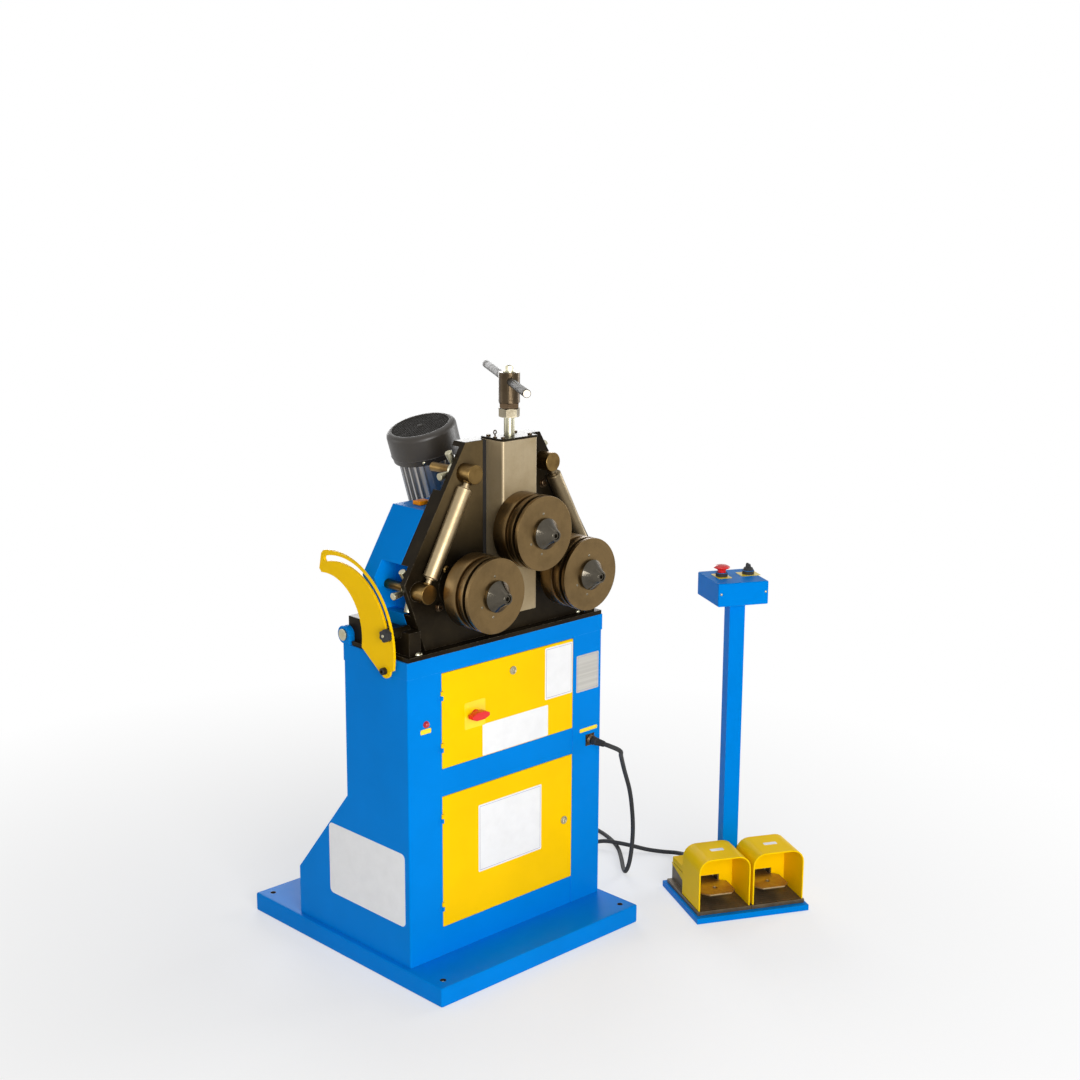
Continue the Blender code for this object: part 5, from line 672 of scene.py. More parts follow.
def grain_group():
    """Brushed or ground grain: noise stretched by the frequency along each axis."""
    tree, entry, end = new_group("Brushed grain", {"Frequency": (1200.0, 1200.0, 14.0)},
                                 ["Height", "Shade"])
    place = tree.nodes.new("ShaderNodeTexCoord").outputs["Object"]
    stretch = tree.nodes.new("ShaderNodeVectorMath")
    stretch.operation = "MULTIPLY"
    tree.links.new(place, stretch.inputs[0])
    tree.links.new(entry.outputs["Frequency"], stretch.inputs[1])
    tree.links.new(add_noise(tree, 1.0, 2.0, vector=stretch.outputs[0]), end.inputs["Height"])
    tree.links.new(add_range(tree, add_noise(tree, 0.2, 3.0, vector=stretch.outputs[0]),
                             0.3, 0.7), end.inputs["Shade"])
    return tree


def stain_group():
    """Blotches of oil and handling marks."""
    tree, entry, end = new_group("Oil stain", {"Scale": 22.0}, ["Mask", "Specks"])
    blotches = add_noise(tree, entry.outputs["Scale"], 6.0, 0.62)
    tree.links.new(add_range(tree, blotches, 0.42, 0.66), end.inputs["Mask"])
    specks = add_noise(tree, 420.0, 3.0, 0.6)
    tree.links.new(add_range(tree, specks, 0.60, 0.72), end.inputs["Specks"])
    return tree


def cast_group():
    """The pebbled skin of cast or moulded parts."""
    tree, entry, end = new_group("Cast skin", {"Scale": 520.0}, ["Height", "Shade"])
    tree.links.new(add_noise(tree, entry.outputs["Scale"], 3.0, 0.6), end.inputs["Height"])
    tree.links.new(add_range(tree, add_noise(tree, 26.0, 5.0, 0.65), 0.35, 0.7),
                   end.inputs["Shade"])
    return tree


def dust_group():
    """Dust that settles on faces looking up."""
    tree, entry, end = new_group("Settled dust", {"Amount": 0.3}, ["Mask"])
    coordinates = tree.nodes.new("ShaderNodeTexCoord")
    split = tree.nodes.new("ShaderNodeSeparateXYZ")
    tree.links.new(coordinates.outputs["Normal"], split.inputs[0])
    upward = add_range(tree, split.outputs["Z"], 0.55, 1.0)
    patch = add_range(tree, add_noise(tree, 9.0, 6.0, 0.7), 0.35, 0.75)
    settled = add_math(tree, "MULTIPLY", upward, patch)
    tree.links.new(add_math(tree, "MULTIPLY", settled, entry.outputs["Amount"]),
                   end.inputs["Mask"])
    return tree


GROUP_MAKERS = {
    "Edge wear": edge_wear_and_highlight_group, "Paint film": paint_film_group,
    "Turning marks": turning_group, "Brushed grain": grain_group,
    "Oil stain": stain_group, "Cast skin": cast_group, "Settled dust": dust_group,
}


class Finish:
    """A material under construction round its Principled shader."""

    def __init__(self, name, colour, roughness, metallic=0.0, coat=0.0, specular=0.5):
        self.material = bpy.data.materials.new(name)
        self.material.use_nodes = True
        self.tree = self.material.node_tree
        self.shader = self.tree.nodes["Principled BSDF"]
        self.colour = tuple(colour)
        self.height = None
        self.set("Base Color", (*self.colour, 1.0))
        self.set("Roughness", roughness)
        self.set("Metallic", metallic)
        self.set("Coat Weight", coat)
        self.set("Coat Roughness", 0.12)
        self.set("Specular IOR Level", specular)

    def set(self, label, value):
        self.shader.inputs[label].default_value = value

    def group(self, name, **values):
        if name not in bpy.data.node_groups:
            GROUP_MAKERS[name]()
        made = self.tree.nodes.new("ShaderNodeGroup")
        made.node_tree = bpy.data.node_groups[name]
        for label, value in values.items():
            if isinstance(value, bpy.types.NodeSocket):
                self.tree.links.new(value, made.inputs[label])
            else:
                made.inputs[label].default_value = value
        return made

    def tint(self, mask, colour, strength=1.0):
        """Mix the base colour towards another one where the mask is high."""
        made = self.tree.nodes.new("ShaderNodeMix")
        made.data_type = "RGBA"
        base = self.shader.inputs["Base Color"]
        if base.is_linked:
            self.tree.links.new(base.links[0].from_socket, made.inputs["A"])
        else:
            made.inputs["A"].default_value = base.default_value
        made.inputs["B"].default_value = (*colour, 1.0)
        self.tree.links.new(add_math(self.tree, "MULTIPLY", mask, strength, clamp=True),
                            made.inputs["Factor"])
        self.tree.links.new(made.outputs["Result"], base)

    def vary(self, label, mask, low, high):
        """Drive a number of the shader between two values by a mask."""
        self.tree.links.new(add_range(self.tree, mask, 0.0, 1.0, low, high),
                            self.shader.inputs[label])

    def bump(self, height, depth, strength=1.0):
        made = self.tree.nodes.new("ShaderNodeBump")
        made.inputs["Distance"].default_value = depth
        made.inputs["Strength"].default_value = strength
        self.tree.links.new(height, made.inputs["Height"])
        if self.shader.inputs["Normal"].is_linked:
            self.tree.links.new(self.shader.inputs["Normal"].links[0].from_socket,
                                made.inputs["Normal"])
        self.tree.links.new(made.outputs["Normal"], self.shader.inputs["Normal"])

    def centred(self, matrix):
        """Object coordinates in a piece's own frame, its axis along Z."""
        mapping = self.tree.nodes.new("ShaderNodeMapping")
        inverse = matrix.inverted()
        mapping.inputs["Location"].default_value = inverse.to_translation()
        mapping.inputs["Rotation"].default_value = inverse.to_euler()
        place = self.tree.nodes.new("ShaderNodeTexCoord").outputs["Object"]
        self.tree.links.new(place, mapping.inputs["Vector"])
        return mapping.outputs["Vector"]


def darker(colour, share):
    return tuple(channel * share for channel in colour)


def enamel(name, colour, roughness, worn_and_highlight_colour, wear, glint, specular=0.4):
    """Sprayed enamel on steel: orange peel, drift in shade, and edges lightened as wear and
    painted highlight.
    """
    finish = Finish(name, colour, roughness, specular=specular)
    finish.set("Specular Tint", (*glint, 1.0))
    film = finish.group("Paint film")
    finish.tint(film.outputs["Shade"], darker(colour, 0.86), 0.6)
    # Edges lightened towards the worn colour: paint wear and a painted highlight
    edge = finish.group("Edge wear", Amount=wear * sizes().wear)
    finish.tint(edge.outputs["Mask"], worn_and_highlight_colour)
    finish.vary("Roughness", film.outputs["Gloss"], roughness * 0.8, roughness * 1.25)
    finish.bump(film.outputs["Height"], 0.00008, 0.35)
    return finish


def blue_enamel():
    colour = colours().blue
    finish = enamel("blue_enamel", colour, 0.34, (0.10, 0.46, 0.95), 0.6, (0.05, 0.45, 1.0),
                    specular=0.04)
    dust = finish.group("Settled dust", Amount=0.12)
    finish.tint(dust.outputs["Mask"], (0.02, 0.26, 0.60))
    return finish.material


def yellow_enamel():
    return enamel("yellow_enamel", colours().yellow, 0.36, (1.0, 0.74, 0.12), 0.9,
                  (1.0, 0.75, 0.08), 0.10).material


def guard_enamel():
    finish = enamel("guard_enamel", colours().guard, 0.30, (1.0, 0.72, 0.05), 1.3,
                    (1.0, 0.72, 0.10), 0.03)
    dust = finish.group("Settled dust", Amount=0.05)
    finish.tint(dust.outputs["Mask"], (0.75, 0.40, 0.04))
    return finish.material


def head_black(name, wear=1.1):
    """Black enamel of the head's castings, stained with oil, its edges lightened as wear and
    painted highlight.
    """
    finish = enamel(name, colours().black, 0.30, (0.30, 0.25, 0.18), wear,
                    (0.55, 0.45, 0.30), 0.10)
    stain = finish.group("Oil stain", Scale=9.0)
    finish.tint(stain.outputs["Mask"], (0.022, 0.016, 0.008), 0.7)
    return finish


def black_enamel():
    return head_black("black_enamel").material


def frame_enamel():
    """The front frame's enamel, with a painted grey-brown sheen on the upper left of its front
    face, broken up by oil stain.
    """
    finish = head_black("frame_enamel", 1.6)
    tree = finish.tree
    source = tree.nodes.new("ShaderNodeTexCoord")
    place = tree.nodes.new("ShaderNodeSeparateXYZ")
    tree.links.new(source.outputs["Object"], place.inputs[0])
    facing = tree.nodes.new("ShaderNodeSeparateXYZ")
    tree.links.new(source.outputs["Normal"], facing.inputs[0])
    stain = finish.group("Oil stain", Scale=5.0)
    mask = add_range(tree, stain.outputs["Mask"], 0.0, 1.0, 0.5, 1.0)
    # Painted sheen: the mask is high towards the top, the left and the front-facing side
    for value, low, high in ((place.outputs["Z"], 0.96, 1.12),
                             (place.outputs["X"], -0.045, -0.060),
                             (facing.outputs["Y"], -0.60, -0.95)):
        mask = add_math(tree, "MULTIPLY", mask,
                        add_range(tree, value, low, high, 0.0, 1.0))
    finish.tint(mask, (0.155, 0.108, 0.050), 0.9)
    return finish.material


def oiled_metal(name, colour, roughness, stain_colour, stain_scale=22.0):
    """Bare steel with oil blotches and specks, its edges brightened as wear and painted
    highlight.
    """
    finish = Finish(name, colour, roughness, metallic=1.0)
    stain = finish.group("Oil stain", Scale=stain_scale)
    finish.tint(stain.outputs["Mask"], stain_colour, 0.75)
    finish.tint(stain.outputs["Specks"], darker(stain_colour, 0.6), 0.35)
    finish.vary("Roughness", stain.outputs["Mask"], roughness, roughness * 1.35)
    # Edges brightened to 1.9 times the colour: wear and a painted highlight
    edge = finish.group("Edge wear", Radius=0.0012, Amount=sizes().wear)
    finish.tint(edge.outputs["Mask"], tuple(min(1.0, 1.9 * c) for c in colour))
    return finish


def turned_steel(name, colour, matrix, roughness=0.36, stain_scale=22.0, pitch=0.0006):
    """Oiled steel with the lathe's rings about its own axis."""
    finish = oiled_metal(name, colour, roughness, darker(colour, 0.62), stain_scale)
    rings = finish.group("Turning marks", Vector=finish.centred(matrix), Pitch=pitch)
    finish.tint(rings.outputs["Shade"], darker(colour, 0.8), 0.35)
    finish.bump(rings.outputs["Height"], 0.00005, 0.5)
    return finish.material


def ground_steel():
    """The slide housing's upright ground faces."""
    colour = colours().housing
    finish = oiled_metal("ground_steel", colour, 0.38, (0.24, 0.17, 0.07), 7.0)
    finish.set("Metallic", 0.50)
    grain = finish.group("Brushed grain")
    finish.tint(grain.outputs["Shade"], darker(colour, 0.82), 0.4)
    finish.bump(grain.outputs["Height"], 0.00004, 0.4)
    return finish.material


def cut_steel():
    """Sawn and faced steel, bright and matt."""
    finish = Finish("cut_steel", (0.60, 0.54, 0.44), 0.36, metallic=0.20)
    grain = finish.group("Brushed grain")
    finish.tint(grain.outputs["Shade"], (0.46, 0.41, 0.33), 0.5)
    finish.bump(grain.outputs["Height"], 0.00003, 0.4)
    return finish.material


def pedal_steel():
    colour = (0.46, 0.37, 0.21)
    finish = oiled_metal("pedal_steel", colour, 0.42, (0.26, 0.14, 0.045), 16.0)
    grain = finish.group("Brushed grain", Frequency=(30.0, 900.0, 900.0))
    finish.bump(grain.outputs["Height"], 0.00006, 0.5)
    return finish.material


def motor_silver():
    """Die-cast aluminium, dulled in patches by oil, its edges brightened as wear and painted
    highlight.
    """
    colour = colours().motor
    finish = Finish("motor_silver", colour, 0.42, metallic=0.12)
    skin = finish.group("Cast skin")
    finish.tint(skin.outputs["Shade"], darker(colour, 0.6), 0.6)
    finish.bump(skin.outputs["Height"], 0.00015, 0.5)
    edge = finish.group("Edge wear", Radius=0.001, Amount=0.8)
    finish.tint(edge.outputs["Mask"], (0.72, 0.68, 0.60))
    return finish.material


def plastic(name, colour, roughness, skin_depth=0.00008):
    """Moulded plastic with a fine skin."""
    finish = Finish(name, colour, roughness)
    skin = finish.group("Cast skin", Scale=900.0)
    finish.tint(skin.outputs["Shade"], darker(colour, 0.75), 0.4)
    finish.vary("Roughness", skin.outputs["Shade"], roughness, roughness * 1.3)
    finish.bump(skin.outputs["Height"], skin_depth, 0.5)
    return finish


def cowl_black():
    """Painted sheet of the fan cowl, satin with a brown cast."""
    finish = plastic("cowl_black", (0.030, 0.024, 0.018), 0.36, 0.0001)
    dust = finish.group("Settled dust", Amount=0.25)
    finish.tint(dust.outputs["Mask"], (0.070, 0.056, 0.040))
    # Lighter edges: wear and a painted highlight
    edge = finish.group("Edge wear", Amount=0.6)
    finish.tint(edge.outputs["Mask"], (0.16, 0.14, 0.12))
    return finish.material


def cast_tray():
    """Brown-black cast iron of the pedal trays, lighter in broad patches and rubbed bright on its
    edges, the bright edges also a painted highlight.
    """
    finish = Finish("cast_tray", (0.065, 0.047, 0.027), 0.46, metallic=0.35)
    skin = finish.group("Cast skin", Scale=380.0)
    finish.tint(skin.outputs["Shade"], (0.15, 0.11, 0.062), 0.8)
    finish.bump(skin.outputs["Height"], 0.0004, 0.6)
    edge = finish.group("Edge wear", Radius=0.0015, Breakup=60.0, Amount=0.7)
    finish.tint(edge.outputs["Mask"], (0.26, 0.20, 0.12))
    return finish.material


def cable_rubber():
    """Smooth black rubber with a fine skin."""
    finish = Finish("cable_rubber", (0.018, 0.015, 0.012), 0.30)
    skin = finish.group("Cast skin", Scale=700.0)
    finish.tint(skin.outputs["Shade"], (0.060, 0.048, 0.038), 0.7)
    finish.bump(skin.outputs["Height"], 0.0001, 0.6)
    return finish.material


def paper(name, colour, roughness=0.32):
    """A laminated label: smooth film, slightly uneven print."""
    finish = Finish(name, colour, roughness, coat=0.3)
    film = finish.group("Paint film", Peel=160.0, Drift=30.0)
    finish.tint(film.outputs["Shade"], darker(colour, 0.93), 0.8)
    finish.bump(film.outputs["Height"], 0.00005, 0.3)
    return finish


def spec_metal():
    """Blank type plate: pale foil with a fine grain."""
    finish = Finish("spec_metal", (0.62, 0.60, 0.55), 0.40, metallic=0.6)
    grain = finish.group("Brushed grain", Frequency=(12.0, 900.0, 900.0))
    finish.tint(grain.outputs["Shade"], (0.46, 0.44, 0.40), 0.6)
    finish.bump(grain.outputs["Height"], 0.00003, 0.4)
    return finish.material


# Yellow paint coloured orange: painted shade on a yellow-painted part
def orange_paint():
    return enamel("orange_paint", (1.0, 0.30, 0.0), 0.35, (1.0, 0.55, 0.1), 0.8,
                  (1.0, 0.5, 0.1)).material


# Finishes that differ only in their values; a colour is a setting's name or its channels
SHARED_FINISHES = {
    "zinc_plate": (oiled_metal, "zinc", 0.27, (0.36, 0.32, 0.19), 30.0),
    "bronze_oiled": (oiled_metal, "bronze", 0.30, (0.075, 0.040, 0.010), 26.0),
    "blackened_steel": (oiled_metal, "dark_steel", 0.42, (0.030, 0.022, 0.012), 30.0),
    "browned_steel": (oiled_metal, (0.075, 0.054, 0.033), 0.30, (0.040, 0.027, 0.014), 24.0),
    "gear_steel": (oiled_metal, (0.20, 0.19, 0.17), 0.34, (0.09, 0.075, 0.05), 18.0),
    "copper_zinc": (oiled_metal, (0.135, 0.092, 0.055), 0.34, (0.070, 0.042, 0.022), 30.0),
    "nut_steel": (oiled_metal, (0.20, 0.175, 0.125), 0.36, (0.11, 0.085, 0.050), 30.0),
    "black_plastic": (plastic, (0.012, 0.012, 0.013), 0.34),
    "grille_wire": (plastic, (0.016, 0.013, 0.009), 0.62),
    "red_plastic": (plastic, "red", 0.24),
    "red_lens": (plastic, (0.55, 0.0, 0.0), 0.12),
    "dark_hole": (plastic, (0.006, 0.005, 0.004), 0.7),
    "label_white": (paper, "label"),
    "label_line": (paper, (0.40, 0.38, 0.52)),
    "label_yellow": (paper, (1.0, 0.72, 0.0)),
}
SHARED_FINISH_INPUTS = {
    "blackened_steel": {"Metallic": 0.2, "Specular IOR Level": 0.25},
    "red_lens": {"Coat Weight": 0.8},
}
OWN_FINISHES = {maker.__name__: maker for maker in (
    blue_enamel, yellow_enamel, guard_enamel, black_enamel, frame_enamel, ground_steel,
    cut_steel, pedal_steel, motor_silver, cowl_black, cast_tray, cable_rubber, spec_metal,
    orange_paint)}


def finish_named(name):
    """The material of that name, made when it is first asked for."""
    made = bpy.data.materials.get(name)
    if made:
        return made
    if name in OWN_FINISHES:
        return OWN_FINISHES[name]()
    maker, colour, *values = SHARED_FINISHES[name]
    if isinstance(colour, str):
        colour = getattr(colours(), colour)
    finish = maker(name, colour, *values)
    for label_of_input, value in SHARED_FINISH_INPUTS.get(name, {}).items():
        finish.set(label_of_input, value)
    return finish.material


# Camera, lamps and floor

def camera_matrix():
    ahead = Vector((sin(CAMERA_YAW) * cos(CAMERA_PITCH), cos(CAMERA_YAW) * cos(CAMERA_PITCH),
                    -sin(CAMERA_PITCH)))
    level = Vector((cos(CAMERA_YAW), -sin(CAMERA_YAW), 0.0))
    upright = level.cross(ahead)
    right = cos(CAMERA_ROLL) * level + sin(CAMERA_ROLL) * upright
    up = cos(CAMERA_ROLL) * upright - sin(CAMERA_ROLL) * level
    columns = Matrix((right, up, -ahead)).transposed()
    return at(*CAMERA_PLACE) @ columns.to_4x4()


def make_camera():
    data = bpy.data.cameras.new("photo_camera")
    data.lens = CAMERA_LENS
    data.sensor_width = CAMERA_SENSOR
    camera = bpy.data.objects.new("photo_camera", data)
    camera.matrix_world = camera_matrix()
    bpy.context.scene.collection.objects.link(camera)
    bpy.context.scene.camera = camera


LAMPS = (
    ("key_softbox", (-1.7, -3.4, 1.45), (0.1, -0.2, 0.72), (2.0, 1.8), 118.0),
    ("rear_left_softbox", (-2.6, 2.6, 1.50), (0.0, 0.0, 0.70), (1.8, 1.6), 14.0),
    ("rear_right_softbox", (2.2, 3.2, 1.60), (0.0, 0.0, 0.70), (2.2, 1.8), 60.0),
    ("right_softbox", (3.5, -0.9, 1.50), (0.2, -0.1, 0.70), (1.6, 1.6), 40.0),
    ("top_softbox", (0.2, 0.3, 3.6), (0.1, 0.0, 0.60), (2.4, 2.4), 8.0),
)


def make_lamps():
    for name, place, target, size, power in LAMPS:
        data = bpy.data.lights.new(name, "AREA")
        data.shape = "RECTANGLE"
        data.size, data.size_y = size
        data.energy = power * sizes().light_level
        lamp = bpy.data.objects.new(name, data)
        aim = (Vector(target) - Vector(place)).to_track_quat("-Z", "Y")
        lamp.matrix_world = at(*place) @ aim.to_matrix().to_4x4()
        bpy.context.scene.collection.objects.link(lamp)


def seen_directly(tree):
    """1 for camera, mirror and glass rays, which see the white background."""
    path = tree.nodes.new("ShaderNodeLightPath")
    seen = add_math(tree, "MAXIMUM", path.outputs["Is Camera Ray"],
                    path.outputs["Is Glossy Ray"])
    return add_math(tree, "MAXIMUM", seen, path.outputs["Is Transmission Ray"])


def make_world():
    world = bpy.data.worlds.new("white_studio")
    world.use_nodes = True
    bpy.context.scene.world = world
    tree = world.node_tree
    background = tree.nodes["Background"]
    background.inputs["Color"].default_value = (1.0, 1.0, 1.0, 1.0)
    level = add_range(tree, seen_directly(tree), 0.0, 1.0, 0.20, 1.0)
    tree.links.new(level, background.inputs["Strength"])


def make_floor():
    """A pale floor that fades into the white background away from the object."""
    bm = bmesh.new()
    bmesh.ops.create_grid(bm, x_segments=1, y_segments=1, size=14.0)
    bmesh.ops.translate(bm, vec=(0, 0, -0.0004), verts=bm.verts)
    mesh = bpy.data.meshes.new("floor")
    bm.to_mesh(mesh)
    bm.free()
    floor = bpy.data.objects.new("floor", mesh)
    bpy.context.scene.collection.objects.link(floor)
    material = bpy.data.materials.new("pale_floor")
    material.use_nodes = True
    tree = material.node_tree
    shader = tree.nodes["Principled BSDF"]
    shader.inputs["Base Color"].default_value = (0.93, 0.93, 0.93, 1.0)
    shader.inputs["Roughness"].default_value = 0.9
    shader.inputs["Specular IOR Level"].default_value = 0.1
    glow = tree.nodes.new("ShaderNodeEmission")
    glow.inputs["Strength"].default_value = 1.0
    place = tree.nodes.new("ShaderNodeTexCoord").outputs["Object"]
    reach = tree.nodes.new("ShaderNodeVectorMath")
    reach.operation = "LENGTH"
    tree.links.new(place, reach.inputs[0])
    fade = add_range(tree, reach.outputs["Value"], 0.6, 2.0, 0.50, 1.0)
    share = add_math(tree, "MULTIPLY", fade, seen_directly(tree))
    mix = tree.nodes.new("ShaderNodeMixShader")
    tree.links.new(share, mix.inputs["Fac"])
    tree.links.new(shader.outputs[0], mix.inputs[1])
    tree.links.new(glow.outputs[0], mix.inputs[2])
    tree.links.new(mix.outputs[0], tree.nodes["Material Output"].inputs["Surface"])
    floor.data.materials.append(material)


# Cable

def smooth_through(points, count):
    """Evenly spaced points on a smooth curve, straight from the first and to the last."""
    fine = []
    for a, b, c, d in zip(points, points[1:], points[2:], points[3:]):
        for i in range(24):
            t = i / 24
            fine.append(0.5 * (2 * b + (c - a) * t + (2 * a - 5 * b + 4 * c - d) * t * t
                               + (3 * b - a - 3 * c + d) * t ** 3))
    fine.append(points[-2])
    lengths = [0.0]
    for first, second in zip(fine, fine[1:]):
        lengths.append(lengths[-1] + (second - first).length)
    result = [points[0]]
    index = 0
    for step in range(count):
        target = lengths[-1] * step / (count - 1)
        while index < len(lengths) - 2 and lengths[index + 1] < target:
            index += 1
        share = (target - lengths[index]) / (lengths[index + 1] - lengths[index])
        result.append(fine[index].lerp(fine[index + 1], min(max(share, 0.0), 1.0)))
    return [*result, points[-1]]


def cable_route():
    """Down from the plug, over the floor in one loop, then up to the left pedal unit."""
    floor = CABLE_FLOOR
    near = console() @ Vector((-UNIT_SPREAD, GLAND_END + CABLE_STRAIGHT, GLAND_Z))
    inlet = console() @ Vector((-UNIT_SPREAD, GLAND_END + 0.0006, GLAND_Z))
    points = [(SOCKET[0], CABLE_START, SOCKET[1]),
              (SOCKET[0], CABLE_START - CABLE_STRAIGHT, SOCKET[1]),
              (0.286, -0.303, 0.432), (0.331, -0.266, 0.397), (0.398, -0.215, 0.333),
              (0.466, -0.172, 0.250), (0.494, -0.156, 0.187), (0.502, -0.153, 0.132),
              (0.498, -0.154, 0.082), (0.489, -0.154, 0.040), (0.492, -0.140, 0.013),
              (0.515, -0.110, floor), (0.555, -0.066, floor), (0.598, -0.014, floor),
              (0.628, 0.040, floor), (0.648, 0.104, floor), (0.652, 0.172, floor),
              (0.632, 0.238, floor), (0.582, 0.276, floor), (0.524, 0.268, floor),
              (0.492, 0.222, floor), (0.500, 0.162, floor), (0.536, 0.104, floor),
              (0.566, 0.062, 0.009), (0.588, 0.026, 0.0175), (0.604, -0.006, CABLE_OVER),
              (0.622, -0.038, 0.0145), (0.645, -0.075, 0.008), (0.668, -0.110, floor),
              (0.682, -0.144, 0.009), (0.674, -0.182, 0.018), (0.644, -0.208, 0.032),
              (0.613, -0.233, 0.045)]
    return [Vector(point) for point in points] + [near, inlet]


def make_cable():
    curve = bpy.data.curves.new("control_cable_rubber", "CURVE")
    curve.dimensions = "3D"
    curve.bevel_depth = CABLE_RADIUS
    curve.bevel_resolution = 4
    curve.use_fill_caps = True
    points = smooth_through(cable_route(), CABLE_POINTS)
    spline = curve.splines.new("POLY")
    spline.points.add(len(points) - 1)
    for point, place in zip(spline.points, points):
        point.co = (*place, 1)
    cable = bpy.data.objects.new("control_cable_rubber", curve)
    bpy.context.scene.collection.objects.link(cable)
    curve.materials.append(finish_named("cable_rubber"))
    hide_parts("control_cable")
    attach(cable, "root")
    plug = make_plug()


def make_plug():
    """Round plug with grip rings and a tapered strain relief."""
    tail = PLUG_LENGTH
    profile = [(0.0, tail), (CABLE_RADIUS * 1.30, tail)]
    rings = 5
    for index in range(rings):
        high = tail * (0.96 - 0.11 * index)
        radius = CABLE_RADIUS * (1.34 + 0.05 * index)
        groove = radius - 0.0006
        profile += [(radius, high), (radius, high - tail * 0.06),
                    (groove, high - tail * 0.065), (groove, high - tail * 0.105)]
    profile += [(0.0095, tail * 0.36), (0.0095, 0.0), (0.0, 0.0)]
    shape = turned(profile, 0.0002, SMALL_STEPS)
    return piece("plug_with_relief", [moved(shape, front(*SOCKET, PLUG_START))],
                 "black_plastic", "root", ("cable_plug",))


def make_socket():
    """Square flange with four screws and the threaded barrel."""
    half = 0.014
    flange = plate([(-half, -half), (half, -half), (half, half), (-half, half)], 0.003, 0.0006)
    shapes = [moved(flange, front(*SOCKET, SOCKET_FACE))]
    profile = [(0.0075, SOCKET_LENGTH), (0.0109, SOCKET_LENGTH), (0.0109, 0.0110)]
    for index in range(4):
        high = 0.0105 - 0.0018 * index
        profile += [(0.0102, high), (0.0109, high - 0.0009)]
    profile += [(0.0109, 0.0025), (0.0, 0.0025), (0.0, 0.0080), (0.0075, 0.0080)]
    barrel = turned(profile, steps=SMALL_STEPS)
    shapes.append(moved(barrel, front(*SOCKET, SOCKET_FACE)))
    inset = half - 0.0035
    for x in (-inset, inset):
        for z in (-inset, inset):
            screw = socket_screw(0.0021, 0.0014, 0.0010, 0.0009)
            shapes.append(moved(screw, front(SOCKET[0] + x, SOCKET[1] + z, SOCKET_FACE - 0.003)))
    piece("socket_with_flange", shapes, "copper_zinc", "root", ("cable_socket",))


# Cabinet and stand

def label(name, low, high, y, body, finish="label_white", slot="yellow_paint",
          border=False):
    """A label on a front face, from its (x, z) corners."""
    width = high[0] - low[0]
    height = high[1] - low[1]
    centre = ((low[0] + high[0]) / 2, (low[1] + high[1]) / 2)
    shape = block((-width / 2, -height / 2, 0), (width / 2, height / 2, LABEL_SHEET),
                  min(LABEL_CORNER, height / 4), 4, along=2)
    piece(name, [moved(shape, front(*centre, y))], finish, body)
    if border:
        line_frame(f"{name}_border", width, height, front(*centre, y - LABEL_SHEET), body)


def line_frame(name, width, height, matrix, body, inset=0.0035, line=0.0011):
    """A thin printed frame just inside a label's rim."""
    outer = rectangle(width / 2 - inset, height / 2 - inset)
    inner = rectangle(width / 2 - inset - line, height / 2 - inset - line)
    piece(name, [moved(plate(outer, 0.00012, 0.0, (inner,)), matrix)], "label_line", body)


def rectangle(half_width, half_height, corner=0.0, steps=4):
    if not corner:
        return [(-half_width, -half_height), (half_width, -half_height),
                (half_width, half_height), (-half_width, half_height)]
    points = []
    for side, turn in (((1, -1), -pi / 2), ((1, 1), 0), ((-1, 1), pi / 2), ((-1, -1), pi)):
        centre = (side[0] * (half_width - corner), side[1] * (half_height - corner))
        for index in range(steps + 1):
            t = turn + pi / 2 * index / steps
            points.append((centre[0] + corner * cos(t), centre[1] + corner * sin(t)))
    return points


def side_sheet(side):
    """The folded sheet that makes a side and its front column."""
    x = side * (CABINET_HALF + SIDE_SHEET)
    y = CABINET_FRONT - SIDE_SHEET
    rear = CABINET_REAR - 0.0004
    bm = bmesh.new()
    corners = [(y, CABINET_FLOOR), (CABINET_FOOT_REAR, CABINET_FLOOR),
               (CABINET_FOOT_REAR, CABINET_SLOPE_FOOT), (rear, CABINET_SLOPE_TOP),
               (rear, BAND_LOW), (y, BAND_LOW)]
    verts = [bm.verts.new((x, *corner)) for corner in corners]
    bm.faces.new(verts)
    fold = bm.edges.get((verts[-1], verts[0]))
    made = bmesh.ops.extrude_edge_only(bm, edges=[fold])["geom"]
    column = [g for g in made if isinstance(g, bmesh.types.BMVert)]
    bmesh.ops.translate(bm, vec=(side * COLUMN_INNER - x, 0, 0), verts=column)
    round_edges(bm, [fold], SIDE_FOLD, 5)
    bmesh.ops.recalc_face_normals(bm, faces=bm.faces[:])
    outward = sum((f.normal.x * f.calc_area() for f in bm.faces), 0.0) * side
    if outward < 0:
        bmesh.ops.reverse_faces(bm, faces=bm.faces[:])
    bmesh.ops.solidify(bm, geom=bm.faces[:], thickness=SIDE_SHEET)
    bmesh.ops.recalc_face_normals(bm, faces=bm.faces[:])
    return bm


def make_base():
    piece("base_tray", [cad_copy("base_plate", 0.0008)], "blue_enamel", "root",
          ("base_plate",))
    low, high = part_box("base_plate")
    rings = []
    for x in (low.x + ANCHOR_INSET, high.x - ANCHOR_INSET):
        for y in (low.y + ANCHOR_INSET, high.y - ANCHOR_INSET):
            ring = turned([(0.0064, 0.0002), (0.0071, 0.0002), (0.0071, -0.0055),
                           (0.0064, -0.0055)], steps=TINY_STEPS)
            rings.append(moved(ring, at(x, y, high.z)))
    piece("anchor_hole_rims", rings, "blackened_steel", "root")


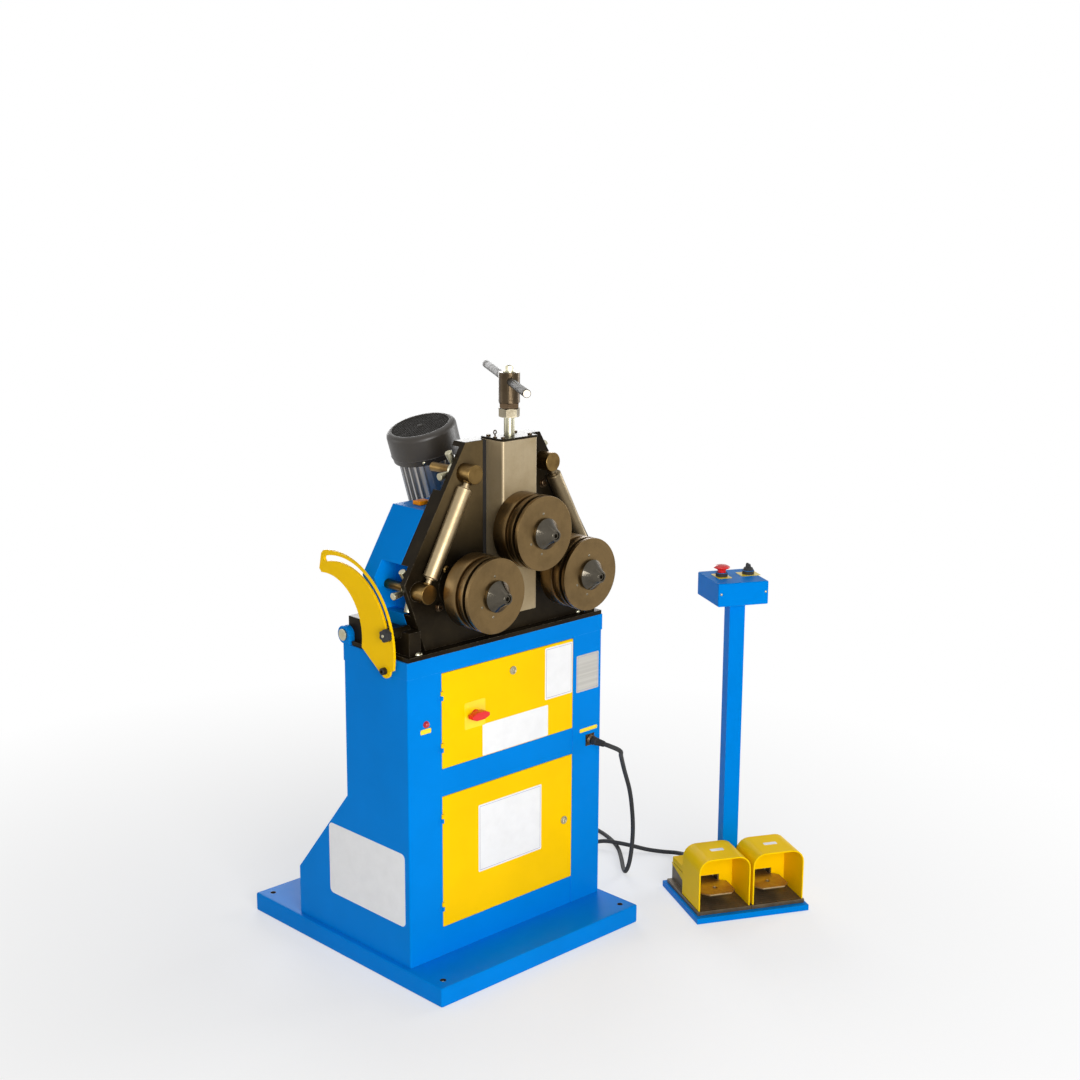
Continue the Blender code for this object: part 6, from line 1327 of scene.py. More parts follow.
def make_cabinet():
    piece("cabinet_shell", [cad_copy("cabinet", SOFT_EDGE, 3)], "blue_enamel", "root",
          ("cabinet",))
    for name, side in (("left", -1), ("right", 1)):
        piece(f"{name}_side_sheet", [side_sheet(side)], "blue_enamel", "root")
    column = CABINET_FRONT - SIDE_SHEET
    label("type_plate", (0.215, 0.572), (0.289, 0.662), column, "root", "spec_metal",
          "blue_paint", border=True)
    rivets = []
    for x in (0.2195, 0.2845):
        for z in (0.5765, 0.6575):
            rivets.append(moved(dome(0.0016, 0.0008), front(x, z, column - LABEL_SHEET)))
    piece("type_plate_rivets", rivets, "zinc_plate", "root")
    label("socket_label", (0.228, 0.470), (0.287, 0.479), column, "root", "label_yellow",
          "blue_paint")
    label("lamp_label", (-0.265, 0.582), (-0.235, 0.593), column, "root", "label_yellow",
          "blue_paint")
    half_y, half_z = SIDE_LABEL_HALF
    shape = block((-half_y, -half_z, 0), (half_y, half_z, LABEL_SHEET), 0.012, 5, along=2)
    place = left_side(*SIDE_LABEL, -CABINET_HALF - SIDE_SHEET)
    piece("side_label", [moved(shape, place)], "label_white", "root")
    lamp = turned([(0.0, 0.0090), (0.0030, 0.0086), (0.0052, 0.0072), (0.0064, 0.0048),
                   (0.0066, 0.0030), (0.0078, 0.0028), (0.0080, 0.0022), (0.0080, 0.0),
                   (0.0050, 0.0), (0.0050, -0.0090), (0.0, -0.0090)], steps=SMALL_STEPS)
    piece("lamp_lens", [moved(lamp, front(*LAMP_PLACE, LAMP_FACE))], "red_lens", "root",
          ("power_lamp",))
    carry("control_panel", "zinc_plate")


def make_hinge_and_quadrant():
    y, z = HINGE_PIN
    pin = rod(HINGE_RADIUS, 2 * HINGE_HALF, 0.0012, SMALL_STEPS)
    piece("hinge_rod", [moved(pin, towards((-HINGE_HALF, y, z), (1, 0, 0)))], "zinc_plate",
          "root", ("hinge_pin",))
    outer = arc((y + 0.013, z - 0.010), QUADRANT_OUTER, radians(-9), radians(102), 48)
    inner = arc((y + 0.045, z + 0.011), QUADRANT_INNER, radians(98), radians(-10), 36)
    tip = [(outer[-1][0] + QUADRANT_TIP, outer[-1][1] - QUADRANT_TIP),
           (inner[0][0] + QUADRANT_TIP, inner[0][1] + QUADRANT_TIP)]
    outline = outer + tip + inner + arc(QUADRANT_FOOT, 0.0165, radians(-130), radians(0), 16)
    low = radians(9)
    high = radians(105)
    slot = []
    for start, end, radius, first in (
            (low, high, QUADRANT_SLOT + QUADRANT_SLOT_HALF, 30),
            (high, low, QUADRANT_SLOT - QUADRANT_SLOT_HALF, 210)):
        slot += arc((y, z), radius, start, end, 40)
        slot += arc((y - QUADRANT_SLOT * cos(end), z + QUADRANT_SLOT * sin(end)),
                    QUADRANT_SLOT_HALF, end + radians(first), end + radians(first + 120), 4)
    hole = circle(0.0053, TINY_STEPS, QUADRANT_FOOT)
    shape = plate(outline, QUADRANT_SHEET, 0.0007, (slot, hole))
    piece("quadrant_plate", [moved(shape, left_side(0, 0, QUADRANT_X))], "yellow_enamel", "root",
          ("tilt_quadrant",))
    bolt = socket_screw(0.008, 0.010, 0.0042, 0.005)
    spacer = turned([(0.0, 0.0), (0.005, 0.0), (0.005, -0.0066), (0.008, -0.0066),
                     (0.008, -0.0095), (0.005, -0.0095), (0.005, -0.0215), (0.0, -0.0215)],
                    steps=TINY_STEPS)
    place = towards((QUADRANT_OUTSIDE, *QUADRANT_FOOT), (-1, 0, 0))
    piece("quadrant_screw", [moved(bolt, place), moved(spacer, place)], "blackened_steel", "root",
          ("quadrant_bolt",))


# Doors

def door_panel(node):
    """A folded steel door: flat face, rounded rim and its hinge knuckles."""
    low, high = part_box(node)
    face = CABINET_FRONT - DOOR_PROUD
    shell = block((-DOOR_HALF, face, low.z), (DOOR_HALF, CABINET_FRONT + DOOR_DEPTH, high.z),
                  DOOR_EDGE, 4)
    shapes = [shell]
    for start in (low.z + LOWER_HINGE, high.z - UPPER_HINGE):
        barrel = rod(0.0032, 0.0097, 0.0005)
        shapes.append(moved(barrel, at(*HINGE_BARREL, start + 0.0103)))
        shapes.append(block((-0.2044, -0.2278, start + 0.0103),
                            (-0.1946, face + 0.0002, start + 0.020), 0.0004, 2))
    return shapes


def cam_lock(x, z, cam_turn):
    """Quarter-turn lock: rim, recessed barrel with its key slot, and the cam behind."""
    face = CABINET_FRONT - 0.0003
    rim = turned([(0.0066, 0.0034), (0.0072, LOCK_PROUD), (0.0094, LOCK_PROUD), (0.0100, 0.0030),
                  (0.0100, 0.0), (0.0060, 0.0), (0.0060, -0.0213), (0.0, -0.0213),
                  (0.0, 0.0026), (0.0066, 0.0026)], 0.0002, SMALL_STEPS)
    bar = block((-0.0007, -0.0042, 0.0026), (0.0007, 0.0042, 0.0031), 0.0001, 1)
    cam = block((-0.006, 0.0, -0.0213), (0.006, 0.046, -0.0183), 0.0008, 2)
    place = front(x, z, face)
    return [moved(rim, place), moved(bar, front(x, z, face, radians(-30))),
            moved(cam, front(x, z, face, cam_turn))]


def main_switch_shapes():
    """Red rotary handle: round boss under a grip with two pointed ends."""
    x, z = SWITCH_PLACE
    face = CABINET_FRONT - 0.0028
    boss = turned([(0.0, 0.0095), (0.0100, 0.0080), (0.0115, 0.0), (0.0, 0.0)], 0.0008,
                  SMALL_STEPS)
    half = 0.026
    outline = [(-half, -0.0035), (-0.012, -0.0095), (0.012, -0.0095), (half, -0.0035),
               (half, 0.0035), (0.012, 0.0095), (-0.012, 0.0095), (-half, 0.0035)]
    grip = plate(outline, 0.016, 0.0022)
    shaft = rod(0.005, 0.0205, start=-0.0205)
    place = front(x, z, face)
    return [moved(boss, place), moved(grip, place @ at(0, 0, 0.0055)), moved(shaft, place)]


def make_doors():
    face = CABINET_FRONT - DOOR_PROUD
    for node, lock, place in (("upper_door", "upper_lock", (0.009, 0.672, pi / 2)),
                              ("lower_door", "lower_lock", (0.176, 0.266, pi))):
        piece(f"{node}_panel", door_panel(node), "yellow_enamel", node, (node,))
        piece(f"{lock}_cam", cam_lock(*place), "zinc_plate", lock, (lock,))
    label("upper_corner_label", (0.111, 0.578), (0.200, 0.702), face, "upper_door", border=True)
    label("upper_long_label", (-0.084, 0.491), (0.121, 0.565), face, "upper_door")
    label("lower_label", (-0.097, 0.215), (0.101, 0.376), face, "lower_door", border=True)
    x, z = SWITCH_PLACE
    half = SWITCH_PLATE_HALF
    backing = block((-half, -half, 0), (half, half, 0.0008), 0.003, 3, along=2)
    piece("switch_plate", [moved(backing, front(x, z, face))], "label_yellow", "upper_door")
    piece("switch_grip", main_switch_shapes(), "red_plastic", "main_switch",
          ("switch_handle",))


# Head

def make_head():
    piece("head_base_casting", [cad_copy("head_base", SOFT_EDGE, 3)], "black_enamel", "head",
          ("head_base",))
    piece("front_frame_casting", [cad_copy("front_frame", SOFT_EDGE, 3)], "frame_enamel", "head",
          ("front_frame",))
    piece("rear_bearing_plate", [cad_copy("rear_plate", FINE_EDGE)], "black_enamel", "head",
          ("rear_plate",))
    piece("gear_cover", [cad_copy("rear_cover", SOFT_EDGE, 3)], "blue_enamel", "head",
          ("rear_cover",))
    domes = [moved(dome(0.0105, 0.0070), at(x, y, HEAD_FLANGE_TOP)) for x, y in FLANGE_BOLTS]
    piece("flange_bolts", domes, "zinc_plate", "head")
    screws = []
    for x, z in FRAME_SCREWS:
        screws.append(moved(socket_screw(0.0080, 0.0075, 0.0040, 0.004),
                            front(x, z, FRAME_FRONT)))
        screws.append(moved(rod(0.0105, 0.0016), front(x, z, FRAME_FRONT)))
    piece("frame_screws", screws, "copper_zinc", "head")
    stop = turned([(0.0, 0.016), (0.0055, 0.0155), (0.0085, 0.0125), (0.0085, 0.0),
                   (0.0, 0.0)], 0.0006, TINY_STEPS)
    piece("frame_stop_bolt", [moved(stop, front(*STOP_BOLT, FRAME_FRONT))], "bronze_oiled",
          "head")
    cover_screws = [moved(dome(0.0062, 0.0036), towards((side * x, COVER_REAR, z), (0, 1, 0)))
                    for x, z in COVER_SCREWS for side in (-1, 1)]
    piece("cover_screws", cover_screws, "zinc_plate", "head")


def housing_shell():
    """Square tube with round corners, open at the top, slotted for the roll's shaft."""
    bm = block((-HOUSING_HALF, HOUSING_FRONT, HOUSING_LOW),
               (HOUSING_HALF, HOUSING_REAR, HOUSING_HIGH), HOUSING_CORNER, 6, along=2)
    for place, normal in (((-HOUSING_SLOT_HALF, 0, 0), (1, 0, 0)),
                          ((HOUSING_SLOT_HALF, 0, 0), (1, 0, 0)),
                          ((0, 0, HOUSING_SLOT_LOW), (0, 0, 1)),
                          ((0, 0, HOUSING_SLOT_HIGH), (0, 0, 1))):
        bmesh.ops.bisect_plane(bm, geom=bm.verts[:] + bm.edges[:] + bm.faces[:],
                               plane_co=place, plane_no=normal)
    doomed = []
    for face in bm.faces:
        middle = face.calc_center_median()
        in_slot = (face.normal.y < -0.9 and abs(middle.x) < HOUSING_SLOT_HALF
                   and HOUSING_SLOT_LOW < middle.z < HOUSING_SLOT_HIGH)
        if in_slot or face.normal.z > 0.9:
            doomed.append(face)
    bmesh.ops.delete(bm, geom=doomed, context="FACES")
    bmesh.ops.solidify(bm, geom=bm.faces[:], thickness=HOUSING_WALL)
    bmesh.ops.recalc_face_normals(bm, faces=bm.faces[:])
    return bm


def make_slide():
    piece("slide_housing_tube", [housing_shell()], "ground_steel", "head",
          ("slide_housing",))
    low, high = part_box("housing_cap")
    lid = plate(rectangle((high.x - low.x) / 2, (high.y - low.y) / 2, 0.004),
                high.z - low.z, 0.001, (circle(0.0123),))
    shapes = [moved(lid, at(0, (low.y + high.y) / 2, low.z))]
    piece("housing_lid", shapes, "black_enamel", "head", ("housing_cap",))
    screws = []
    for x in (-0.040, 0.040):
        for y in (low.y + 0.013, high.y - 0.013):
            screws.append(moved(socket_screw(0.0050, 0.0035, 0.0024, 0.002), at(x, y, high.z)))
    piece("lid_screws", screws, "browned_steel", "head")
    # Dark strips on the frame's face beside the housing: its painted shadow
    shadow_strips = []
    for side in (-1, 1):
        low_x, high_x = sorted(side * x for x in HOUSING_SHADOW_STRIP)
        shadow_strips.append(block((low_x, FRAME_FRONT - 0.0006, HOUSING_LOW),
                           (high_x, FRAME_FRONT + 0.0002, HOUSING_HIGH - 0.001)))
    piece("housing_seat_gaskets", shadow_strips, "dark_hole", "head")
    make_lifting_eye(high.z)
    carry("slide_block", "gear_steel")


def make_lifting_eye(floor_z):
    """Small eye bolt at the left edge of the housing's lid."""
    bm = bmesh.new()
    ring = bmesh.ops.create_circle(bm, segments=10, radius=0.0014)["verts"]
    edges = list({e for v in ring for e in v.link_edges})
    bmesh.ops.rotate(bm, cent=(0, 0, 0), matrix=Matrix.Rotation(pi / 2, 3, "X"), verts=ring)
    bmesh.ops.translate(bm, vec=(0.0040, 0, 0), verts=ring)
    bmesh.ops.spin(bm, geom=ring + edges, cent=(0, 0, 0), axis=(0, 0, 1), dvec=(0, 0, 0),
                   angle=2 * pi, steps=28, use_merge=True)
    bmesh.ops.remove_doubles(bm, verts=bm.verts[:], dist=WELD)
    bmesh.ops.recalc_face_normals(bm, faces=bm.faces[:])
    eye = moved(bm, at(*EYE_PLACE, floor_z + 0.0118) @ Matrix.Rotation(pi / 2, 4, "X"))
    stem = turned([(0.0, 0.0076), (0.0017, 0.0076), (0.0017, 0.0026), (0.0045, 0.0022),
                   (0.0045, 0.0), (0.0, 0.0)], 0.0003, TINY_STEPS)
    piece("lifting_eye", [eye, moved(stem, at(*EYE_PLACE, floor_z))], "browned_steel", "head")


def thread_rod(radius, low, high, pitch=0.0020, depth=0.0007):
    """A screw rod's profile with V-shaped thread rings between two heights."""
    count = int((high - low) / pitch)
    points = []
    for index in range(count):
        top = high - index * pitch
        points += [(radius, top), (radius - depth, top - pitch / 2)]
    return [*points, (radius, low)]


def make_screw():
    low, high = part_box("press_screw")
    plain = [(0.0, high.z), (SCREW_RADIUS, high.z), (SCREW_RADIUS, HOUSING_HIGH)]
    profile = [*plain, *thread_rod(SCREW_RADIUS, low.z + 0.002, THREAD_TOP), (0.0, low.z)]
    place = at(0, SCREW_Y, 0)
    piece("press_screw_rod", [moved(turned(profile, steps=48), place)], "zinc_plate", "screw",
          ("press_screw",))
    lower = hexagon(0.041, 0.0197, 0.0018)
    upper = hexagon(0.0405, 0.0116, 0.0012)
    piece("stop_nut_lower", [moved(lower, at(0, SCREW_Y, NUT_STACK))], "nut_steel", "screw")
    piece("stop_nut_upper",
          [moved(upper, at(0, SCREW_Y, NUT_STACK + 0.02) @ Matrix.Rotation(radians(14), 4, "Z"))],
          "copper_zinc", "screw")
    make_hub()
    make_bar()


def make_hub():
    """Oil-browned hub with the bar's cross bore, a grub screw and the top bolt."""
    hub = cad_copy("handle_hub", 0.0008, 2, 0.001)
    screw = socket_screw(0.0042, 0.0012, 0.0020, 0.0010)
    away = Vector((cos(BAR_HEADING), sin(BAR_HEADING), 0))
    grub = towards(away * 0.0228 + Vector((0, SCREW_Y, GRUB_Z)), away)
    piece("handle_hub_body", [hub], "browned_steel", "screw", ("handle_hub",))
    piece("hub_grub_screw", [moved(screw, grub)], "browned_steel", "screw")
    washer = turned([(0.0, 0.0032), (0.0135, 0.0030), (0.0140, 0.0002), (0.0, 0.0002)], 0.0004,
                    SMALL_STEPS)
    bolt = hexagon(0.0150, 0.0110, 0.0009)
    piece("hub_top_bolt", [moved(washer, at(0, SCREW_Y, HUB_TOP)),
                           moved(bolt, at(0, SCREW_Y, HUB_TOP + 0.0028))],
          "zinc_plate", "screw")


def make_bar():
    """Tee bar with chamfered ends cut bright."""
    half = BAR_HALF
    away = Vector((cos(BAR_HEADING), sin(BAR_HEADING), 0))
    centre = Vector((0, SCREW_Y, BAR_Z)) - away * BAR_SHIFT
    shape = turned([(0.0, 2 * half), (0.0076, 2 * half), (0.0090, 2 * half - 0.0014),
                    (0.0090, 0.0014), (0.0076, 0.0), (0.0, 0.0)], steps=SMALL_STEPS)
    bar = piece("tee_bar_rod", [moved(shape, towards(centre - away * half, away))],
                "blackened_steel", "screw", ("tee_bar",))
    bar.data.materials.append(finish_named("cut_steel"))
    for polygon in bar.data.polygons:
        if abs(polygon.normal.dot(away)) > 0.9:
            polygon.material_index = 1


# Rolls

FRONT_DISC = 0.010
# Behind the front disc, each step's radius in front, width and radius at the back
ROLL_STEPS = (
    (0.058, 0.008, 0.058), (ROLL_RADIUS, 0.010, ROLL_RADIUS), (ROLL_RADIUS, 0.012, 0.076),
    (0.074, 0.0025, 0.074), (0.0805, 0.009, ROLL_RADIUS), (ROLL_RADIUS, 0.026, ROLL_RADIUS),
)


def roll_shapes(x, z):
    """The front disc and the grooved body behind it."""
    bore = SHAFT_RADIUS + 0.0003
    disc = plate(circle(ROLL_RADIUS, ROUND_STEPS), FRONT_DISC, ROLL_CHAMFER, (circle(bore),))
    disc_rear = -ROLL_FACE - FRONT_DISC
    shapes = [moved(disc, front(x, z) @ at(0, 0, disc_rear))]
    profile = [(bore, disc_rear)]
    depth = disc_rear
    for first, width, second in ROLL_STEPS:
        for point in ((first, depth), (second, depth - width)):
            if point != profile[-1]:
                profile.append(point)
        depth -= width
    profile.append((bore, depth))
    shapes.append(moved(turned(profile, 0.0006), front(x, z)))
    return shapes


def cone_nut(x, z):
    """Blackened conical nut with a flat rim and a six-sided socket in its nose."""
    rear = -ROLL_FACE + 0.0003
    nose = rear + 0.035
    shell = turned([(0.0085, nose - 0.008), (0.0085, nose), (0.0118, nose),
                    (0.0125, nose - 0.0006), (0.0210, rear + 0.0200),
                    (0.0338, rear + 0.0068), (0.0345, rear + 0.0060),
                    (0.0345, rear), (0.0125, rear), (0.0125, rear + 0.020), (0.0, rear + 0.020),
                    (0.0, nose - 0.008)], 0.0004)
    insert = socket_screw(0.0084, 0.0060, 0.0052, 0.0045)
    return [moved(shell, front(x, z)),
            moved(insert, front(x, z) @ at(0, 0, nose - 0.0082))]


def make_rolls():
    for name, x, z, body in (("left_roll", -ROLL_SPREAD, LOWER_ROLL_Z, "left_roll_set"),
                             ("right_roll", ROLL_SPREAD, LOWER_ROLL_Z, "right_roll_set"),
                             ("top_roll", 0.0, TOP_ROLL_Z, "top_roll_set")):
        steel = turned_steel(f"{name}_steel", colours().roll, front(x, z), 0.30)
        pins = [moved(dome(PIN_RADIUS, 0.0012),
                      front(x + PIN_CIRCLE * cos(radians(turn)),
                            z + PIN_CIRCLE * sin(radians(turn)), ROLL_FACE))
                for turn in PIN_TURNS]
        piece(f"{name}_pins", pins, "nut_steel", body)
        piece(f"{name}_discs", roll_shapes(x, z), steel, body, (name,))
        piece(f"{name}_cone_nut", cone_nut(x, z), polished_black(x, z, name), body,
              (f"{name}_nut",))
    for node in ("left_drive_shaft", "right_drive_shaft", "top_shaft", "drive_pinion"):
        carry(node, "gear_steel")


def polished_black(x, z, name):
    """Blackened steel turned bright, with rings about the nut's axis."""
    return turned_steel(f"{name}_nut_steel", (0.10, 0.088, 0.068), front(x, z), 0.13, 40.0,
                        0.0004)


# Guides

def guide_places(side):
    upper = Vector((side * UPPER_STUD[0], GUIDE_Y, UPPER_STUD[1]))
    lower = Vector((side * LOWER_STUD[0], GUIDE_Y, LOWER_STUD[1]))
    return upper, lower


def guide_stud(place, partner):
    """Turned stud with a collar boss where the roller's neck enters."""
    stud = turned([(0.0, -STUD_FRONT), (STUD_RADIUS - 0.001, -STUD_FRONT),
                   (STUD_RADIUS, -STUD_FRONT - 0.001), (STUD_RADIUS, -STUD_REAR),
                   (STUD_NECK_RADIUS, -STUD_REAR), (STUD_NECK_RADIUS, -STUD_NECK_REAR),
                   (0.0, -STUD_NECK_REAR)], 0.0003, 72)
    away = (partner - place).normalized()
    collar = turned([(0.0078, 0.0), (0.0100, 0.0), (0.0112, -0.0012), (0.0112, -0.0050),
                     (0.0078, -0.0050)], steps=SMALL_STEPS)
    return [moved(stud, front(place.x, place.z)),
            moved(collar, towards(place + away * (STUD_RADIUS + 0.0012), away))]


def guide_drum(upper, lower):
    """The long roller with chamfered ends and its two necks."""
    length = (upper - lower).length
    drum = STUD_RADIUS + 0.013
    neck = 0.007
    end = STUD_RADIUS - 0.0117
    profile = [(0.0, length - end), (neck, length - end), (neck, length - drum + 0.0035),
               (0.0105, length - drum + 0.0030), (0.0105, length - drum),
               (GUIDE_RADIUS - 0.0018, length - drum), (GUIDE_RADIUS, length - drum - 0.0018),
               (GUIDE_RADIUS, drum + 0.0018), (GUIDE_RADIUS - 0.0018, drum), (0.0105, drum),
               (0.0105, drum - 0.0030), (neck, drum - 0.0035), (neck, end), (0.0, end)]
    return [moved(turned(profile, 0.0003, 64), towards(lower, upper - lower))]


def capstan(x, z):
    """Spoked nut: hub, thin necks and tapered grips."""
    rear = -CAPSTAN_FRONT - CAPSTAN_LENGTH
    shapes = [moved(turned([(0.0113, -CAPSTAN_FRONT), (CAPSTAN_HUB - 0.0015, -CAPSTAN_FRONT),
                            (CAPSTAN_HUB, -CAPSTAN_FRONT - 0.0015), (CAPSTAN_HUB, rear + 0.0015),
                            (CAPSTAN_HUB - 0.0015, rear), (0.0113, rear)], 0.0003, 48),
                    front(x, z))]
    middle = CAPSTAN_FRONT + CAPSTAN_LENGTH / 2
    grip = 0.0255
    for index in range(SPOKES):
        turn = SPOKE_TURN + 2 * pi * index / SPOKES
        away = Vector((cos(turn), 0, sin(turn)))
        spoke = turned([(0.0, CAPSTAN_REACH), (0.0071, CAPSTAN_REACH),
                        (0.0085, CAPSTAN_REACH - 0.0013), (0.0070, grip + 0.0012),
                        (0.0045, grip), (0.0045, 0.015), (0.0, 0.015)],
                       0.0002, TINY_STEPS)
        shapes.append(moved(spoke, towards((x, middle, z), away)))
    return shapes


def make_guides():
    for name, side in (("left", -1), ("right", 1)):
        upper, lower = guide_places(side)
        for row, place, partner in (("upper", upper, lower), ("lower", lower, upper)):
            piece(f"{name}_{row}_stud_turned", guide_stud(place, partner), "bronze_oiled",
                  f"{name}_guide", (f"{name}_{row}_stud",))
            piece(f"{name}_{row}_capstan_nut", capstan(place.x, place.z), "zinc_plate",
                  f"{name}_{row}_nut", (f"{name}_{row}_capstan",))
        # Painted shade: the right guide roller's steel is a darker copy of the left one's
        shade = 1.0 if side < 0 else 0.55
        steel = turned_steel(f"{name}_guide_steel", darker(colours().guide, shade),
                             towards(lower, upper - lower), 0.40, 14.0, 0.0008)
        piece(f"{name}_guide_drum_turned", guide_drum(upper, lower), steel, f"{name}_guide_drum",
              (f"{name}_guide_roller",))


# Motor and gearbox

def make_gearbox():
    low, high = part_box("gearbox")
    piece("gearbox_case", [cad_copy("gearbox", 0.0012, 2)], "black_enamel", "head",
          ("gearbox",))
    ribs = []
    rear = low.y + GEARBOX_DEPTH
    for index in range(GEARBOX_RIBS):
        z = GEARBOX_RIB_LOW + index * GEARBOX_RIB_PITCH
        ribs.append(block((-GEARBOX_RIB_HALF, rear - 0.002, z - 0.002),
                          (GEARBOX_RIB_HALF, rear + 0.003, z + 0.002), 0.0012, 3))
    piece("gearbox_ribs", ribs, "black_enamel", "head")
    bolts = [moved(hexagon(0.013, 0.006, 0.0008), towards((x, rear, z), (0, 1, 0)))
             for x in (-GEARBOX_BOLT_HALF, GEARBOX_BOLT_HALF) for z in GEARBOX_BOLT_HEIGHTS]
    plug = hexagon(0.019, 0.009, 0.001)
    bolts.append(moved(plug, towards(GEARBOX_PLUG, (1, 0, 0))))
    piece("gearbox_bolts", bolts, "zinc_plate", "head")
    # The clip's orange is yellow paint with its shade painted in
    clip = block((-0.016, -0.012, -0.0045), (0.016, 0.012, 0.0045), 0.0015, 3)
    piece("cover_top_clip", [moved(clip, at(*COVER_CLIP))], "orange_paint", "head")


def terminal_box():
    """The motor's terminal box with its lid, gland and screws."""
    low = TERMINAL_LOW
    high = TERMINAL_LOW + TERMINAL_HEIGHT
    gland = turned([(0.0055, 0.016), (0.009, 0.016), (0.009, 0.0), (0.0, 0.0), (0.0, 0.012),
                    (0.0055, 0.012)], 0.0006, TINY_STEPS)
    shapes = [block((-TERMINAL_HALF, 0.055, low), (TERMINAL_HALF, 0.098, high), 0.004, 4),
              block((-TERMINAL_HALF - TERMINAL_LID, 0.096, low - TERMINAL_LID),
                    (TERMINAL_HALF + TERMINAL_LID, 0.1015, high + TERMINAL_LID), 0.0015, 3),
              moved(gland, towards((0, 0.080, low), (0, 0, -1)))]
    for x in (-0.036, 0.036):
        for z in (low + 0.007, high - 0.007):
            shapes.append(moved(dome(0.003, 0.0016), towards((x, 0.1014, z), (0, 1, 0))))
    return [moved(shape, Matrix.Rotation(TERMINAL_TURN, 4, "Z")) for shape in shapes]


def make_motor():
    base = motor_frame(COWL_HEIGHT + MOTOR_LENGTH)
    shapes = [turned([(0.0, MOTOR_LENGTH - 0.0006), (MOTOR_CORE, MOTOR_LENGTH - 0.0006),
                      (MOTOR_CORE, 0.006), (0.0655, 0.006), (0.0655, 0.0), (0.062, 0.0),
                      (0.062, -0.014), (0.0, -0.014)], 0.0006)]
    fins = sizes().fins
    for index in range(fins):
        fin = block((MOTOR_CORE - 0.001, -0.0021, 0.005),
                    (MOTOR_FIN, 0.0021, MOTOR_LENGTH - 0.001), 0.0009, 2)
        shapes.append(moved(fin, Matrix.Rotation(2 * pi * (index + 0.5) / fins, 4, "Z")))
    shapes += terminal_box()
    for shape in shapes:
        moved(shape, base)
    piece("motor_finned_body", shapes, "motor_silver", "head", ("motor_body",))
    carry("motor_fan", "black_plastic")


def cowl_shell():
    """Drawn cowl with a rolled shoulder, open at the top for the grille."""
    sheet = 0.0022
    shoulder = 0.0125
    outer = []
    for index in range(9):
        turn = pi / 2 * index / 8
        outer.append((COWL_RADIUS - shoulder + shoulder * sin(turn),
                      -shoulder + shoulder * cos(turn)))
    lip = [(GRILLE_RADIUS, -0.0030), (GRILLE_RADIUS, -0.0004)]
    inner = [(COWL_MOUTH - sheet, -COWL_HEIGHT), (COWL_RADIUS - sheet, -shoulder),
             (COWL_RADIUS - shoulder, -sheet)]
    seam = [(COWL_RADIUS - 0.0004, -0.055), (COWL_RADIUS + 0.0002, -0.0565),
            (COWL_MOUTH + 0.0012, -0.0585)]
    profile = [*lip, *outer, *seam, (COWL_MOUTH, -COWL_HEIGHT), *inner]
    return turned(profile)


def grille():
    """Crossed wires cut to the cowl's mouth, with a small hub in the middle."""
    wire = 0.0011
    pitch = sizes().grille_pitch
    shapes = []
    count = ceil(GRILLE_RADIUS / pitch)
    for layer, height in ((0, -0.0016), (1, -0.0024)):
        for index in range(-count, count + 1):
            offset = index * pitch
            if abs(offset) > GRILLE_RADIUS - 0.002:
                continue
            reach = sqrt(GRILLE_RADIUS ** 2 - offset ** 2) + 0.0006
            bar = block((-reach, offset - wire / 2, height - wire / 2),
                        (reach, offset + wire / 2, height + wire / 2))
            turn = radians(33) + layer * pi / 2
            shapes.append(moved(bar, Matrix.Rotation(turn, 4, "Z")))
    hub = turned([(0.0, 0.0006), (0.0060, 0.0004), (0.0075, -0.0012), (0.0, -0.0030)],
                 steps=TINY_STEPS)
    shapes.append(hub)
    return shapes


def make_cowl():
    place = motor_frame(0.0)
    piece("motor_cowl_shell", [moved(cowl_shell(), place)], "cowl_black", "head",
          ("motor_cowl",))
    piece("motor_cowl_grille", [moved(shape, place) for shape in grille()], "grille_wire", "head")
    screws = []
    for index in range(4):
        turn = 2 * pi * index / 4 + radians(-46)
        away = Vector((cos(turn), sin(turn), 0))
        head = dome(0.0040, 0.0022)
        local = towards(away * (COWL_MOUTH + 0.0004) + Vector((0, 0, -0.0625)), away)
        screws.append(moved(head, place @ local))
    piece("cowl_screws", screws, "zinc_plate", "head")


# Clamp knob

def make_clamp_knob():
    """Six-lobed knob with a zinc screw end."""
    low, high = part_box("tilt_clamp_knob")
    y = (low.y + high.y) / 2
    z = (low.z + high.z) / 2
    lobes = 6
    steps = 72
    outline = []
    for index in range(steps):
        turn = 2 * pi * index / steps
        radius = 0.0133 + 0.0012 * cos(lobes * turn)
        outline.append((radius * cos(turn), radius * sin(turn)))
    place = towards((QUADRANT_OUTSIDE, y, z), (-1, 0, 0))
    knob = plate(outline, KNOB_LENGTH, 0.0022)
    depth = high.x - QUADRANT_OUTSIDE
    neck = rod(0.005, depth, start=-depth)
    piece("clamp_knob_lobes", [moved(knob, place), moved(neck, place)], "black_plastic",
          "clamp_knob", ("tilt_clamp_knob",))
    stud = turned([(0.0, 0.0020), (0.0030, 0.0018), (0.0036, 0.0), (0.0, 0.0)],
                  steps=TINY_STEPS)
    piece("clamp_knob_insert", [moved(stud, place @ at(0, 0, KNOB_LENGTH))], "zinc_plate",
          "clamp_knob")


# Console and pedals

